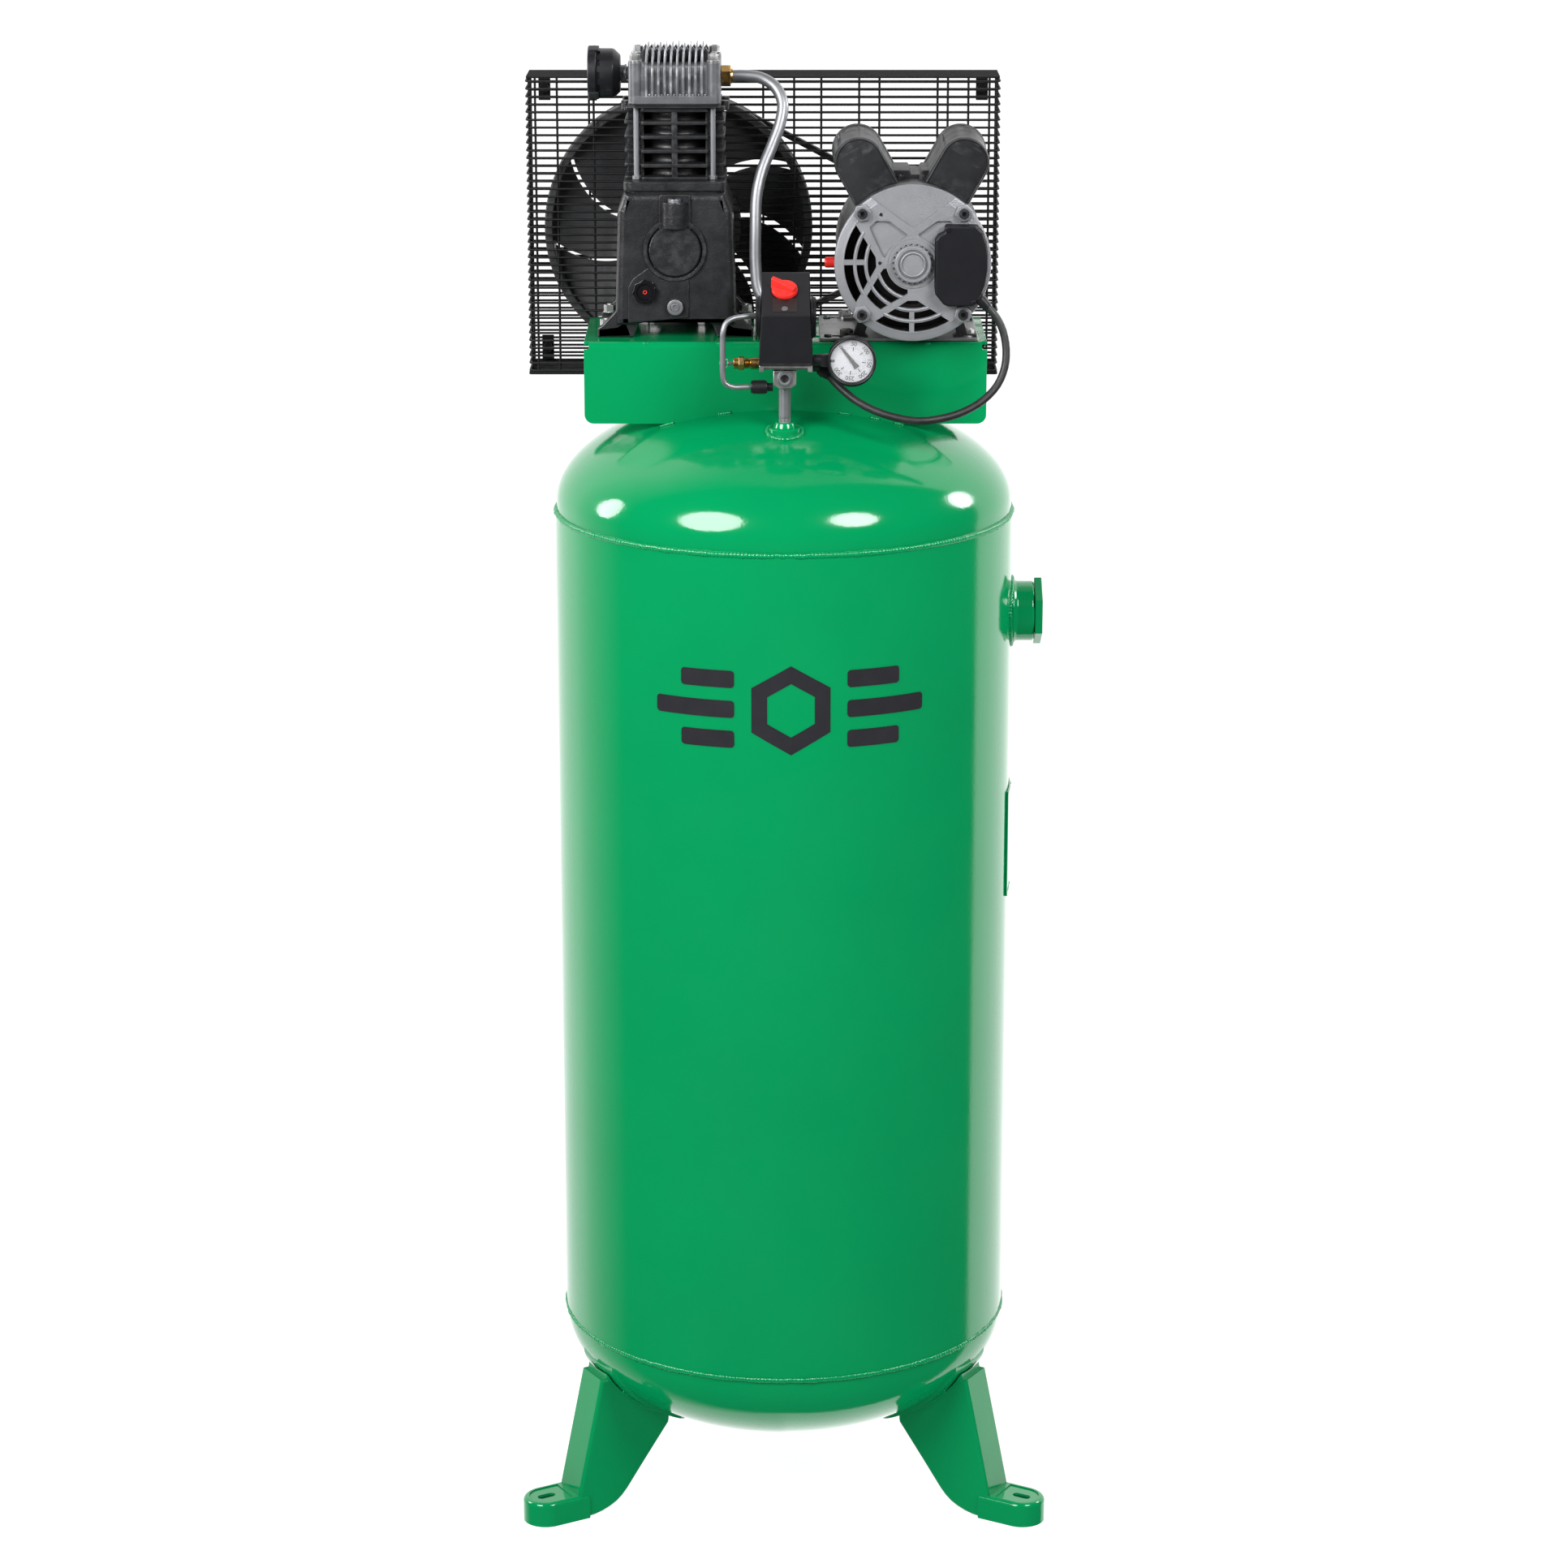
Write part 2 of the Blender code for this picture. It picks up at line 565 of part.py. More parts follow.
def make_crankcase():
    """Cast case seen from the front: feet, sides that lean in, shoulders and a top flange."""
    floor = BENCH_TOP + GAP
    half = [(-0.085, floor), (-0.085, floor + 0.009), (-0.0695, floor + 0.012), (-0.0640, 1.385)]
    half += [(-0.0625, 1.430), (-0.0600, 1.470), (-0.0535, 1.492), (-0.0535, FLANGE_TOP)]
    left = [(PUMP_X + x, z) for x, z in half]
    right = [(PUMP_X - x, z) for x, z in reversed(half)]
    arch = [(PUMP_X + 0.0390, floor), (PUMP_X + 0.0330, ARCH_Z)]
    arch += [(PUMP_X - 0.0330, ARCH_Z), (PUMP_X - 0.0390, floor)]
    case = prism("crankcase", left + right + arch, "XZ", CASE_Y0, CASE_Y1, BLACK_CAST)
    at = (PUMP_X, 0, CRANK_Z)
    boss = cylinder("case_boss", at, "Y", 0.0326, CASE_Y0 - 0.006, CASE_Y0 + 0.010, 20)
    bearing = cylinder("case_bearing", at, "Y", 0.034, CASE_Y1 - 0.010, 0.105, 16)
    fill_y = CASE_Y0 - 0.0100
    fill = cylinder("case_fill", (PUMP_X, fill_y, 0), "Z", 0.0160, 1.4710, 1.5000, 12)
    join(case, boss, bearing, fill)
    cavity = cylinder("case_cavity", at, "Y", 0.0405, -0.031, 0.072, 22)
    bore_at = (PUMP_X, PUMP_Y, 0)
    throat = cylinder("case_throat", bore_at, "Z", BORE_R + 0.0025, CRANK_Z + 0.002, FLANGE_TOP + 0.01, 20)
    journal = cylinder("case_journal", at, "Y", 0.0124, 0.050, 0.120, 16)
    oil = cylinder("case_oil_hole", (PUMP_X, fill_y, 0), "Z", 0.0070, 1.480, 1.51, 12)
    cut(case, cavity, throat, journal, oil)
    sight_at = (SIGHT_X, CASE_Y0, SIGHT_Z)
    profile = [(0.0, -GAP), (0.0125, -GAP), (0.0125, -0.0050), (0.0085, -0.0055), (0.0080, -0.0030)]
    profile += [(0.0, -0.0030)]
    turned("oil_sight_glass", profile, sight_at, "Y", 16, CLEAR)
    profile = [(0.0, -0.0003), (0.0085, -0.0003), (0.0085, -0.0055), (0.0045, -0.0060), (0.0, -0.0060)]
    turned("oil_drain_plug", profile, (PUMP_X, CASE_Y0, OIL_DRAIN_Z), "Y", 12, STEEL)
    profile = [(0.0, 1.4850), (0.0066, 1.4850), (0.0066, 1.5003), (0.0093, 1.5003), (0.0088, 1.5045)]
    turned("oil_fill_plug", [*profile, (0.0, 1.5045)], (PUMP_X, fill_y, 0), "Z", 12, STEEL)


def make_cylinder():
    """Finned barrel: a comb outline bored out, with the fins on both sides."""
    body, fin = 0.0400, 0.0545
    low, high = FLANGE_TOP + GAP, CYL_TOP
    fins = 5
    pitch = (high - low) / (fins + 0.6)
    side = [(body, low)]
    for index in range(fins):
        z = low + pitch * (index + 0.55)
        side += [(body, z), (fin, z + 0.001), (fin, z + 0.0045), (body, z + 0.0055)]
    side += [(body, high)]
    outline = [(PUMP_X + x, z) for x, z in side] + [(PUMP_X - x, z) for x, z in reversed(side)]
    barrel = prism("cylinder", outline, "XZ", PUMP_Y - 0.050, PUMP_Y + 0.050, BLACK_CAST)
    cut(barrel, cylinder("cylinder_bore", (PUMP_X, PUMP_Y, 0), "Z", BORE_R, low - 0.01, high + 0.01, 32))
    low, high = CYL_TOP + GAP, HEAD_LOW - GAP
    plan = rounded_box((PUMP_X - 0.0515, PUMP_Y - 0.055), (PUMP_X + 0.0515, PUMP_Y + 0.055), 0.008, 2)
    plate = prism("valve_plate", plan, "XY", low, high, BLACK_CAST)
    for label, x in (("intake", -0.012), ("discharge", 0.012)):
        at = (PUMP_X + x, PUMP_Y, 0)
        cut(plate, cylinder("reed_" + label, at, "Z", 0.006, low - 0.01, high + 0.01, 12))


def make_head():
    """Cast head: smooth base band, vertical fins on the front and pointed ridges on top."""
    half, ridges = 0.0495, 11
    pitch = 2.0 * half / ridges
    outline = [(PUMP_X - half, HEAD_LOW), (PUMP_X + half, HEAD_LOW), (PUMP_X + half, HEAD_TOP)]
    for index in range(ridges):
        middle = PUMP_X + half - pitch * (index + 0.5)
        outline += [(middle + 0.0022, HEAD_TOP), (middle + 0.0008, PIN_TOP), (middle - 0.0008, PIN_TOP)]
        outline += [(middle - 0.0022, HEAD_TOP)]
    outline += [(PUMP_X - half, HEAD_TOP)]
    head = prism("cylinder_head", outline, "XZ", PUMP_Y - 0.055, PUMP_Y + 0.055, ALUMINIUM)
    chamber = [(PUMP_X - 0.036, PUMP_Y - 0.036), (PUMP_X - 0.003, PUMP_Y + 0.036)]
    other = [(PUMP_X + 0.003, PUMP_Y - 0.036), (PUMP_X + 0.036, PUMP_Y + 0.036)]
    for label, (low, high) in (("intake", chamber), ("discharge", other)):
        cut(head, box("chamber_" + label, (*low, HEAD_LOW - 0.01), (*high, 1.636), None))


def make_filter():
    at = (0, PORT_Y, FILTER_Z)
    joint = PUMP_X - 0.0495 - GAP
    profile = [(0.0, joint), (0.0105, joint), (0.0105, -0.1775), (0.0, -0.1775)]
    turned("air_filter_base", profile[::-1], at, "X", 16, BLACK_PLASTIC)
    profile = [(0.0, -0.1778), (0.0190, -0.1778), (0.0257, -0.1830), (0.0257, -0.2070), (0.0298, -0.2074)]
    profile += [(0.0298, -0.2122), (0.0270, -0.2134), (0.0, -0.2134)]
    turned("air_filter_cover", profile[::-1], at, "X", 24, BLACK_PLASTIC)


def make_discharge():
    joint = PUMP_X + 0.0495 + GAP
    at = (0, PORT_Y, FILTER_Z - 0.0030)
    hexes = hexagon((at[1], at[2]), 0.0114, 30.0)
    prism("discharge_nut", hexes, "YZ", joint, -0.0580, BRASS)
    route = [
        (-0.0577, 0.030, 1.6241),
        (-0.0430, 0.030, 1.6243),
        (-0.0240, 0.0290, 1.6215),
        (-0.0090, 0.0240, 1.6120),
        (-0.0015, 0.0160, 1.5960),
        (-0.0040, 0.0080, 1.5760),
        (-0.0130, 0.0000, 1.5520),
        (-0.0235, -0.0100, 1.5270),
        (-0.0298, -0.0190, 1.5000),
        (-0.0310, -0.0260, 1.4650),
        (-0.0310, -0.0300, 1.4250),
        (-0.0275, -0.0335, 1.3980),
        (-0.0180, -0.0370, 1.3840),
        (-0.0130, -0.0380, 1.3750),
    ]
    tube("discharge_tube", smooth_route(route, 2), 0.0063, STEEL)


def make_crank_train():
    centre = (PUMP_X, 0, CRANK_Z)
    origin = (PUMP_X, BELT_Y, CRANK_Z)
    throw = 0.5 * STROKE
    shaft = cylinder("crankshaft", centre, "Y", CRANK_R, 0.0460, 0.1720, 16, STEEL, origin)
    plan = rounded_box((PUMP_X - 0.013, CRANK_Z - 0.034), (PUMP_X + 0.013, CRANK_Z + 0.020), 0.010)
    web = prism("crank_web", plan, "XZ", 0.0400, 0.0485, None)
    pin = cylinder("crank_pin", (PUMP_X, 0, CRANK_Z - throw), "Y", 0.0090, 0.0080, 0.0450, 16)
    join(shaft, web, pin)
    bottom = CYL_TOP - 0.001 - STROKE - PISTON_TALL
    top = bottom + PISTON_TALL
    at = (PUMP_X, PUMP_Y, 0)
    origin = (PUMP_X, PUMP_Y, 0.5 * (bottom + top))
    piston = cylinder("piston", at, "Z", BORE_R - 0.0005, bottom, top, 24, ALUMINIUM, origin)
    hollow = cylinder("piston_hollow", at, "Z", BORE_R - 0.0050, bottom - 0.01, top - 0.008, 20)
    cut(piston, hollow)


def make_flywheel():
    bore, groove, disc = CRANK_R + GAP, BELT_IN_BIG - 0.0015, RIM_IN - 0.004
    profile = [(bore, 0.1120), (0.0270, 0.1120), (0.0300, 0.1380), (disc, 0.1420), (RIM_IN, 0.1300)]
    profile += [(FLYWHEEL_R, 0.1300), (FLYWHEEL_R, 0.1425), (groove, 0.1455), (groove, 0.1545)]
    profile += [(FLYWHEEL_R, 0.1575), (FLYWHEEL_R, 0.1700), (RIM_IN, 0.1700), (disc, 0.1580)]
    profile += [(0.0300, 0.1620), (0.0270, 0.1700), (bore, 0.1700)]
    centre = (PUMP_X, 0, CRANK_Z)
    wheel = turned("flywheel", profile, centre, "Y", 28, BLACK_CAST, (PUMP_X, BELT_Y, CRANK_Z), ring=True)
    windows = []
    for index in range(FAN_BLADES):
        start = FAN_START + 360.0 / FAN_BLADES * index
        first, last = fan_edge(start, 3), fan_edge(start + FAN_GAP, 3)
        windows.append(first + last[::-1])
    mesh = prism_mesh("flywheel_windows", windows, "XZ", 0.12, 0.18)
    cut(wheel, add_object("flywheel_windows", mesh, None))


def fan_edge(start, count):
    """One swept edge of a fan blade, from the hub out to the rim, as points of the wheel's plane."""
    edge = []
    for index in range(count + 1):
        part = index / count
        r = FAN_NEAR + (FAN_FAR - FAN_NEAR) * part
        angle = math.radians(start - FAN_SWEEP * part**1.25)
        edge.append((PUMP_X + r * math.cos(angle), CRANK_Z + r * math.sin(angle)))
    return edge


def make_belt_drive():
    bore, groove = SHAFT_R + GAP, BELT_IN_SMALL - 0.0015
    profile = [(bore, 0.1350), (0.0180, 0.1350), (0.0180, 0.1420), (PULLEY_R, 0.1425)]
    profile += [(groove, 0.1455), (groove, 0.1545), (PULLEY_R, 0.1575), (PULLEY_R, 0.1600)]
    profile += [(bore, 0.1600)]
    centre = (MOTOR_X, 0, MOTOR_Z)
    turned("motor_pulley", profile, centre, "Y", 20, BLACK_CAST, (MOTOR_X, BELT_Y, MOTOR_Z), ring=True)
    make_belt()


def make_belt():
    """V-belt: a tapered section swept round both wheels along their outer tangents."""
    span = Vector((MOTOR_X - PUMP_X, MOTOR_Z - CRANK_Z))
    lean = math.atan2(span.y, span.x)
    open_angle = math.acos((BELT_IN_BIG - BELT_IN_SMALL) / span.length)
    stations = []
    big_steps, small_steps = 24, 10
    for index in range(big_steps + 1):
        angle = lean + open_angle + (2.0 * math.pi - 2.0 * open_angle) * index / big_steps
        stations.append((PUMP_X, CRANK_Z, BELT_IN_BIG, angle))
    for index in range(small_steps + 1):
        angle = lean - open_angle + 2.0 * open_angle * index / small_steps
        stations.append((MOTOR_X, MOTOR_Z, BELT_IN_SMALL, angle))
    bm = bmesh.new()
    rings = []
    for x, z, radius, angle in stations:
        ring = []
        for out, half in ((0.0, 0.0035), (BELT_DEEP, 0.0055)):
            for side in (-1, 1) if out == 0.0 else (1, -1):
                r = radius + out
                place = (x + r * math.cos(angle), BELT_Y + side * half, z + r * math.sin(angle))
                ring.append(bm.verts.new(place))
        rings.append(ring)
    for one, two in zip(rings, rings[1:] + rings[:1]):
        for a in range(4):
            b = (a + 1) % 4
            bm.faces.new((one[a], one[b], two[b], two[a]))
    add_object("drive_belt", mesh_from(bm, "drive_belt"), RUBBER)


# Motor


def sector(centre, inner, outer, start, end, count):
    return arc(centre, outer, start, end, count) + arc(centre, inner, end, start, count)


def make_motor():
    at = (MOTOR_X, 0, MOTOR_Z)
    inside = MOTOR_R - 0.003
    profile = [(inside, MOTOR_Y0), (MOTOR_R, MOTOR_Y0), (MOTOR_R, MOTOR_Y1), (inside, MOTOR_Y1)]
    shell = turned("motor_shell", profile, at, "Y", 40, BLACK_CAST, ring=True)
    profile = [(0.0520, -0.055), (inside - 0.0004, -0.055), (inside - 0.0004, 0.055), (0.0520, 0.055)]
    turned("motor_stator", profile, at, "Y", 32, COPPER, ring=True)
    rotor = cylinder("motor_rotor", at, "Y", 0.0512, -0.050, 0.050, 32, STEEL, (MOTOR_X, BELT_Y, MOTOR_Z))
    join(rotor, cylinder("rotor_shaft", at, "Y", SHAFT_R, -0.095, 0.1640, 16))
    front, back = BELL_Y0, MOTOR_Y0 - GAP
    profile = [(0.0, front - 0.004), (0.0205, front - 0.004), (0.0215, front), (MOTOR_R - 0.003, front)]
    profile += [(MOTOR_R, front + 0.003), (MOTOR_R, back), (0.0765, back), (0.0765, front + 0.004)]
    profile += [(0.0150, front + 0.004), (0.0140, front + 0.008), (0.0, front + 0.008)]
    bell = turned("motor_front_endbell", profile, at, "Y", 28, ALUMINIUM)
    lugs = []
    for angle in (45, 135, 225, 315):
        x = MOTOR_X + 0.077 * math.cos(math.radians(angle))
        z = MOTOR_Z + 0.077 * math.sin(math.radians(angle))
        lugs.append(cylinder(f"bell_lug_{angle}", (x, 0, z), "Y", 0.0085, front - 0.0025, back - 0.002, 8))
    join(bell, *lugs)
    vents = []
    for start, end in ((146, 216), (234, 306)):
        for inner, outer in ((0.031, 0.041), (0.046, 0.056), (0.061, 0.070)):
            vents.append(sector((MOTOR_X, MOTOR_Z), inner, outer, start, end, 4))
    mesh = prism_mesh("bell_vents", vents, "XZ", front - 0.02, front + 0.010)
    cut(bell, add_object("bell_vents", mesh, None))
    profile = [(SHAFT_R + 0.0006, BELL_Y1), (0.0250, BELL_Y1), (0.0280, 0.100), (0.0740, 0.098)]
    profile += [(MOTOR_R, 0.094), (MOTOR_R, MOTOR_Y1 + GAP), (0.0765, MOTOR_Y1 + GAP), (0.0765, 0.093)]
    profile += [(SHAFT_R + 0.0006, 0.094)]
    turned("motor_rear_endbell", profile[::-1], at, "Y", 24, ALUMINIUM, ring=True)
    make_ears()
    low, high = TERMINAL_LOW, TERMINAL_HIGH
    c = TERMINAL_CORNER
    outline = [(low[0] + c, low[1]), (high[0] - c, low[1]), (high[0], low[1] + c), (high[0], high[1] - c)]
    outline += [(high[0] - c, high[1]), (low[0] + c, high[1]), (low[0], high[1] - c), (low[0], low[1] + c)]
    prism("terminal_cover", outline, "XZ", BELL_Y0 - 0.0135, BELL_Y0 - 0.0006, BLACK_PLASTIC)
    button = Vector((MOTOR_X - MOTOR_R - 0.0008, -0.035, 1.4299))
    cut(shell, cylinder("button_hole", (0, button.y, button.z), "X", 0.0066, 0.050, 0.070, 12))
    profile = [(0.0, 0.0), (0.0060, 0.0), (0.0060, -0.0110), (0.0050, -0.0125), (0.0, -0.0125)]
    turned("reset_button", profile[::-1], button, "X", 12, RED, tuple(button))


def make_ears():
    """Capacitor covers: round-topped shells leaning out from the top of the motor."""
    for label, side in (("left", -1), ("right", 1)):
        turn = Matrix.Translation((MOTOR_X, 0, MOTOR_Z)) @ Matrix.Rotation(side * EAR_TILT, 4, "Y")

        def shell(name, radius, low, high, foot, material=None, turn=turn):
            outline = [(radius, foot), *arc((0.0, EAR_REACH), radius, 0, 180, 8), (-radius, foot)]
            return add_object(name, prism_mesh(name, [outline], "XZ", low, high, turn), material)

        cover = shell("capacitor_cover_" + label, EAR_R, -0.045, 0.075, 0.055, BLACK_PLASTIC)
        hollow = shell("ear_hollow_" + label, EAR_R - 0.002, -0.043, 0.073, 0.040)
        curve = cylinder("ear_saddle_" + label, (MOTOR_X, 0, MOTOR_Z), "Y", MOTOR_R + 0.0008, -0.06, 0.09, 40)
        cut(cover, hollow, curve)


# Control group


def make_switch():
    base = box("switch_base", (-0.0265, -0.162, 1.3312), (0.0305, -0.100, SWITCH_LOW - GAP), ZINC)
    ports = cylinder("switch_port", (RISER_X, RISER_Y, 0), "Z", 0.005, 1.32, 1.35, 12)
    cut(base, ports)
    outline = [(SWITCH_Y0, SWITCH_LOW), (SWITCH_Y0, SWITCH_LIP), (SLOPE_Y, SWITCH_TOP)]
    outline += [(SWITCH_Y1, SWITCH_TOP), (SWITCH_Y1, SWITCH_LOW)]
    cover = prism("switch_cover", outline, "YZ", SWITCH_X0, SWITCH_X1, BLACK_PLASTIC)
    t = 0.002
    roof = SWITCH_TOP - 2.2 * t
    inner = [(SWITCH_Y0 + t, SWITCH_LOW - 0.01), (SWITCH_Y0 + t, SWITCH_LIP - t), (SLOPE_Y, roof)]
    inner += [(SWITCH_Y1 - t, roof), (SWITCH_Y1 - t, SWITCH_LOW - 0.01)]
    cut(cover, prism("switch_hollow", inner, "YZ", SWITCH_X0 + t, SWITCH_X1 - t, None))
    make_knob()
    make_connector()


def make_knob():
    slope = math.atan2(SWITCH_TOP - SWITCH_LIP, SLOPE_Y - SWITCH_Y0)
    middle = Vector((RISER_X, 0.5 * (SWITCH_Y0 + SLOPE_Y) + 0.004, SWITCH_LIP))
    middle.z += (middle.y - SWITCH_Y0) * math.tan(slope)
    turn = Matrix.Translation(middle) @ Matrix.Rotation(slope, 4, "X")
    disc = arc((0.0, 0.0), 0.0140, 0, 330, 11)
    mesh = prism_mesh("switch_knob", [disc], "XY", 0.0006, 0.0050, turn)
    knob = add_object("switch_knob", mesh, RED, tuple(middle))
    grip = [(-0.0150, -0.0032), (0.0105, -0.0050), (0.0120, 0.0), (0.0105, 0.0050), (-0.0150, 0.0032)]
    spin = turn @ Matrix.Rotation(math.radians(-25.0), 4, "Z")
    join(knob, add_object("knob_grip", prism_mesh("knob_grip", [grip], "XY", 0.0030, 0.0140, spin), None))


def make_connector():
    """Cord grip on the switch: a round hub with its outlet leaning down."""
    at = (0.0, CABLE_END[1], CABLE_END[2] + 0.0080)
    hub = cylinder("cable_connector", at, "X", 0.0085, SWITCH_X1 + 0.0008, 0.0385, 12, BLACK_PLASTIC)
    mesh = prism_mesh("connector_neck", [arc((0.0, 0.0), 0.0062, 0, 330, 11)], "XY", -0.0110, -0.0008)
    mesh.transform(Matrix.Translation(CABLE_END) @ Matrix.Rotation(math.radians(135.0), 4, "Y"))
    join(hub, add_object("connector_neck", mesh, None))


def make_manifold():
    half, low, high = 0.0123, 1.3083, SWITCH_LOW - 0.0079
    sides = [(-half, high), (-half, low + 0.0037), (-half + 0.006, low)]
    outline = [(RISER_X + x, z) for x, z in sides] + [(RISER_X - x, z) for x, z in reversed(sides)]
    block = prism("manifold_block", outline, "XZ", -0.152, -0.112, ZINC)
    cut(block, cylinder("manifold_bore", (RISER_X, RISER_Y, 0), "Z", 0.0045, 1.30, 1.34, 12))
    base = top_z(abs(RISER_Y) - 0.020) - 0.008
    profile = [(0.0042, base), (0.0061, base), (0.0061, low - GAP), (0.0042, low - GAP)]
    turned("riser_nipple", profile, (RISER_X, RISER_Y, 0), "Z", 16, STEEL, ring=True)
    profile = [(0.0, -0.0268), (0.0050, -0.0268), (0.0058, -0.0400), (0.0058, -0.0430), (0.0070, -0.0432)]
    profile += [(0.0070, -0.0500), (0.0060, -0.0505), (0.0060, -0.0545), (0.0, -0.0545)]
    turned("safety_valve_body", profile[::-1], (0, VALVE_Y, VALVE_Z), "X", 12, BRASS)
    stem = (-0.0549, VALVE_Y, VALVE_Z)
    profile = [(0.0, 0.0), (0.0018, 0.0), (0.0018, -0.0040), (0.0045, -0.0043), (0.0045, -0.0060)]
    profile += [(0.0, -0.0060)]
    turned("safety_valve_stem", profile[::-1], stem, "X", 12, BRASS, stem)
    route = [
        (-0.0278, -0.1260, 1.3865),
        (-0.0400, -0.1300, 1.3842),
        (-0.0530, -0.1370, 1.3790),
        (-0.0615, -0.1410, 1.3710),
        (-0.0645, -0.1430, 1.3580),
        (-0.0655, -0.1430, 1.3400),
        (-0.0655, -0.1430, 1.3270),
        (-0.0630, -0.1430, 1.3160),
        (-0.0545, -0.1420, 1.3115),
        (-0.0440, -0.1400, 1.3112),
        (-0.0364, -0.1390, 1.3112),
    ]
    tube("unloader_tube", smooth_route(route, 2), 0.0030, STEEL)
    joint = RISER_X - half - GAP
    profile = [(0.0, joint), (0.0045, joint), (0.0045, -0.0180), (0.0066, -0.0183), (0.0066, -0.0350)]
    profile += [(0.0050, -0.0358), (0.0, -0.0358)]
    turned("unloader_fitting", profile[::-1], (0, -0.1390, 1.3112), "X", 12, BLACK_PLASTIC)


def make_gauge():
    x, y, z = GAUGE
    inner = GAUGE_R - 0.0035
    profile = [(0.0, 0.0240), (GAUGE_R - 0.002, 0.0240), (GAUGE_R, 0.0210), (GAUGE_R, 0.0015)]
    profile += [(GAUGE_R - 0.001, 0.0), (inner, 0.0), (inner, 0.0065), (0.0, 0.0065)]
    case = turned("gauge_case", profile, (x, y, z), "Y", 24, BLACK_PLASTIC)
    join(case, cylinder("gauge_stem", (0, y + 0.012, z), "X", 0.0068, 0.0312, x - 0.010, 12))
    profile = [(0.0, 0.0020), (inner - GAP, 0.0020), (inner - GAP, 0.0034), (0.0, 0.0034)]
    turned("gauge_lens", profile, (x, y, z), "Y", 24, CLEAR)
    lean = math.radians(POINTER_ANGLE)
    turn = Matrix.Translation((x, y + 0.0046, z)) @ Matrix.Rotation(-lean, 4, "Y")
    needle = [(-0.0075, -0.0016), (-0.0030, -0.0008), (0.0180, -0.0004), (0.0180, 0.0004), (-0.0030, 0.0008)]
    needle += [(-0.0075, 0.0016)]
    mesh = prism_mesh("gauge_pointer", [needle], "XZ", 0.0, 0.0006, turn)
    pointer = add_object("gauge_pointer", mesh, BLACK_PLASTIC, (x, y + 0.0049, z))
    join(pointer, cylinder("pointer_hub", (x, y, z), "Y", 0.0022, 0.0042, 0.0058, 10))


def make_cable():
    route = [
        CABLE_START,
        (0.2200, -0.1130, 1.3915),
        (0.2285, -0.1145, 1.3815),
        (0.2350, -0.1165, 1.3680),
        (0.2385, -0.1200, 1.3490),
        (0.2370, -0.1245, 1.3300),
        (0.2290, -0.1300, 1.3115),
        (0.2140, -0.1365, 1.2965),
        (0.1950, -0.1425, 1.2860),
        (0.1730, -0.1475, 1.2795),
        (0.1430, -0.1530, 1.2768),
        (0.1080, -0.1480, 1.2830),
        (0.0800, -0.1390, 1.2945),
        (0.0620, -0.1310, 1.3075),
        (0.0510, -0.1265, 1.3180),
        CABLE_END,
    ]
    tube("motor_cable", smooth_route(route, 2), 0.0042, RUBBER)


# Belt guard


def grille_mesh(name, columns, rows, low, high):
    """A flat grille cut from one sheet: bars along both lists of (start, end) bands."""
    xs = sorted({edge for band in columns for edge in band})
    zs = sorted({edge for band in rows for edge in band})
    bm = bmesh.new()
    grid = [[bm.verts.new((x, low, z)) for z in zs] for x in xs]
    for i in range(len(xs) - 1):
        for j in range(len(zs) - 1):
            if i % 2 == 0 or j % 2 == 0:
                bm.faces.new((grid[i][j], grid[i + 1][j], grid[i + 1][j + 1], grid[i][j + 1]))
    made = bmesh.ops.extrude_face_region(bm, geom=bm.faces[:])
    moved = [part for part in made["geom"] if isinstance(part, bmesh.types.BMVert)]
    bmesh.ops.translate(bm, verts=moved, vec=(0.0, high - low, 0.0))
    return mesh_from(bm, name)


def bands(low, high, count, width):
    """Evenly spaced bands of one width, the first and last at the ends."""
    pitch = (high - low - width) / (count - 1)
    return [(low + pitch * i, low + pitch * i + width) for i in range(count)]


def make_guard():
    columns = bands(GUARD_X0, GUARD_X1, 5, WIRE)
    rows = bands(GUARD_Z0, GUARD_Z1, 20, WIRE)
    mesh = grille_mesh("guard_front", columns, rows, GUARD_Y0, GUARD_Y0 + WIRE)
    front = add_object("guard_front", mesh, BLACK_CAST)
    holes = (("pump", PUMP_X, CRANK_Z, HUB_HOLE_R), ("motor", MOTOR_X, MOTOR_Z, SHAFT_HOLE_R))
    for label, x, z, radius in holes:
        at = (x, GUARD_Y0, z)
        cut(front, cylinder("guard_hole_" + label, at, "Y", radius, -0.02, 0.02, 16))
    mesh = grille_mesh("guard_rear", columns, rows, GUARD_Y1 - WIRE, GUARD_Y1)
    rear = add_object("guard_rear", mesh, BLACK_CAST)
    corners = [(GUARD_X0, GUARD_Z0), (GUARD_X1, GUARD_Z0), (GUARD_X1, GUARD_Z1), (GUARD_X0, GUARD_Z1)]
    front_edge = GUARD_Y0 + WIRE + GAP
    band = prism("guard_band", corners, "XZ", front_edge, GUARD_Y1 - 0.5 * WIRE, None)
    x0, x1, z0, z1 = GUARD_X0 + WIRE, GUARD_X1 - WIRE, GUARD_Z0 + WIRE, GUARD_Z1 - WIRE
    inner = [(x0, z0), (x1, z0), (x1, z1), (x0, z1)]
    cut(band, prism("guard_band_hollow", inner, "XZ", front_edge - 0.02, GUARD_Y1 + 0.02, None))
    join(rear, band)


make_receiver()
make_legs()
make_outlet()
make_data_plate()
make_tank_fittings()
make_bench()
make_motor_base()
make_crankcase()
make_cylinder()
make_head()
make_filter()
make_discharge()
make_crank_train()
make_flywheel()
make_belt_drive()
make_motor()
make_switch()
make_manifold()
make_gauge()
make_cable()
make_guard()
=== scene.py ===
"""The looks of an upright tank compressor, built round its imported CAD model. Lengths are in metres."""

import math

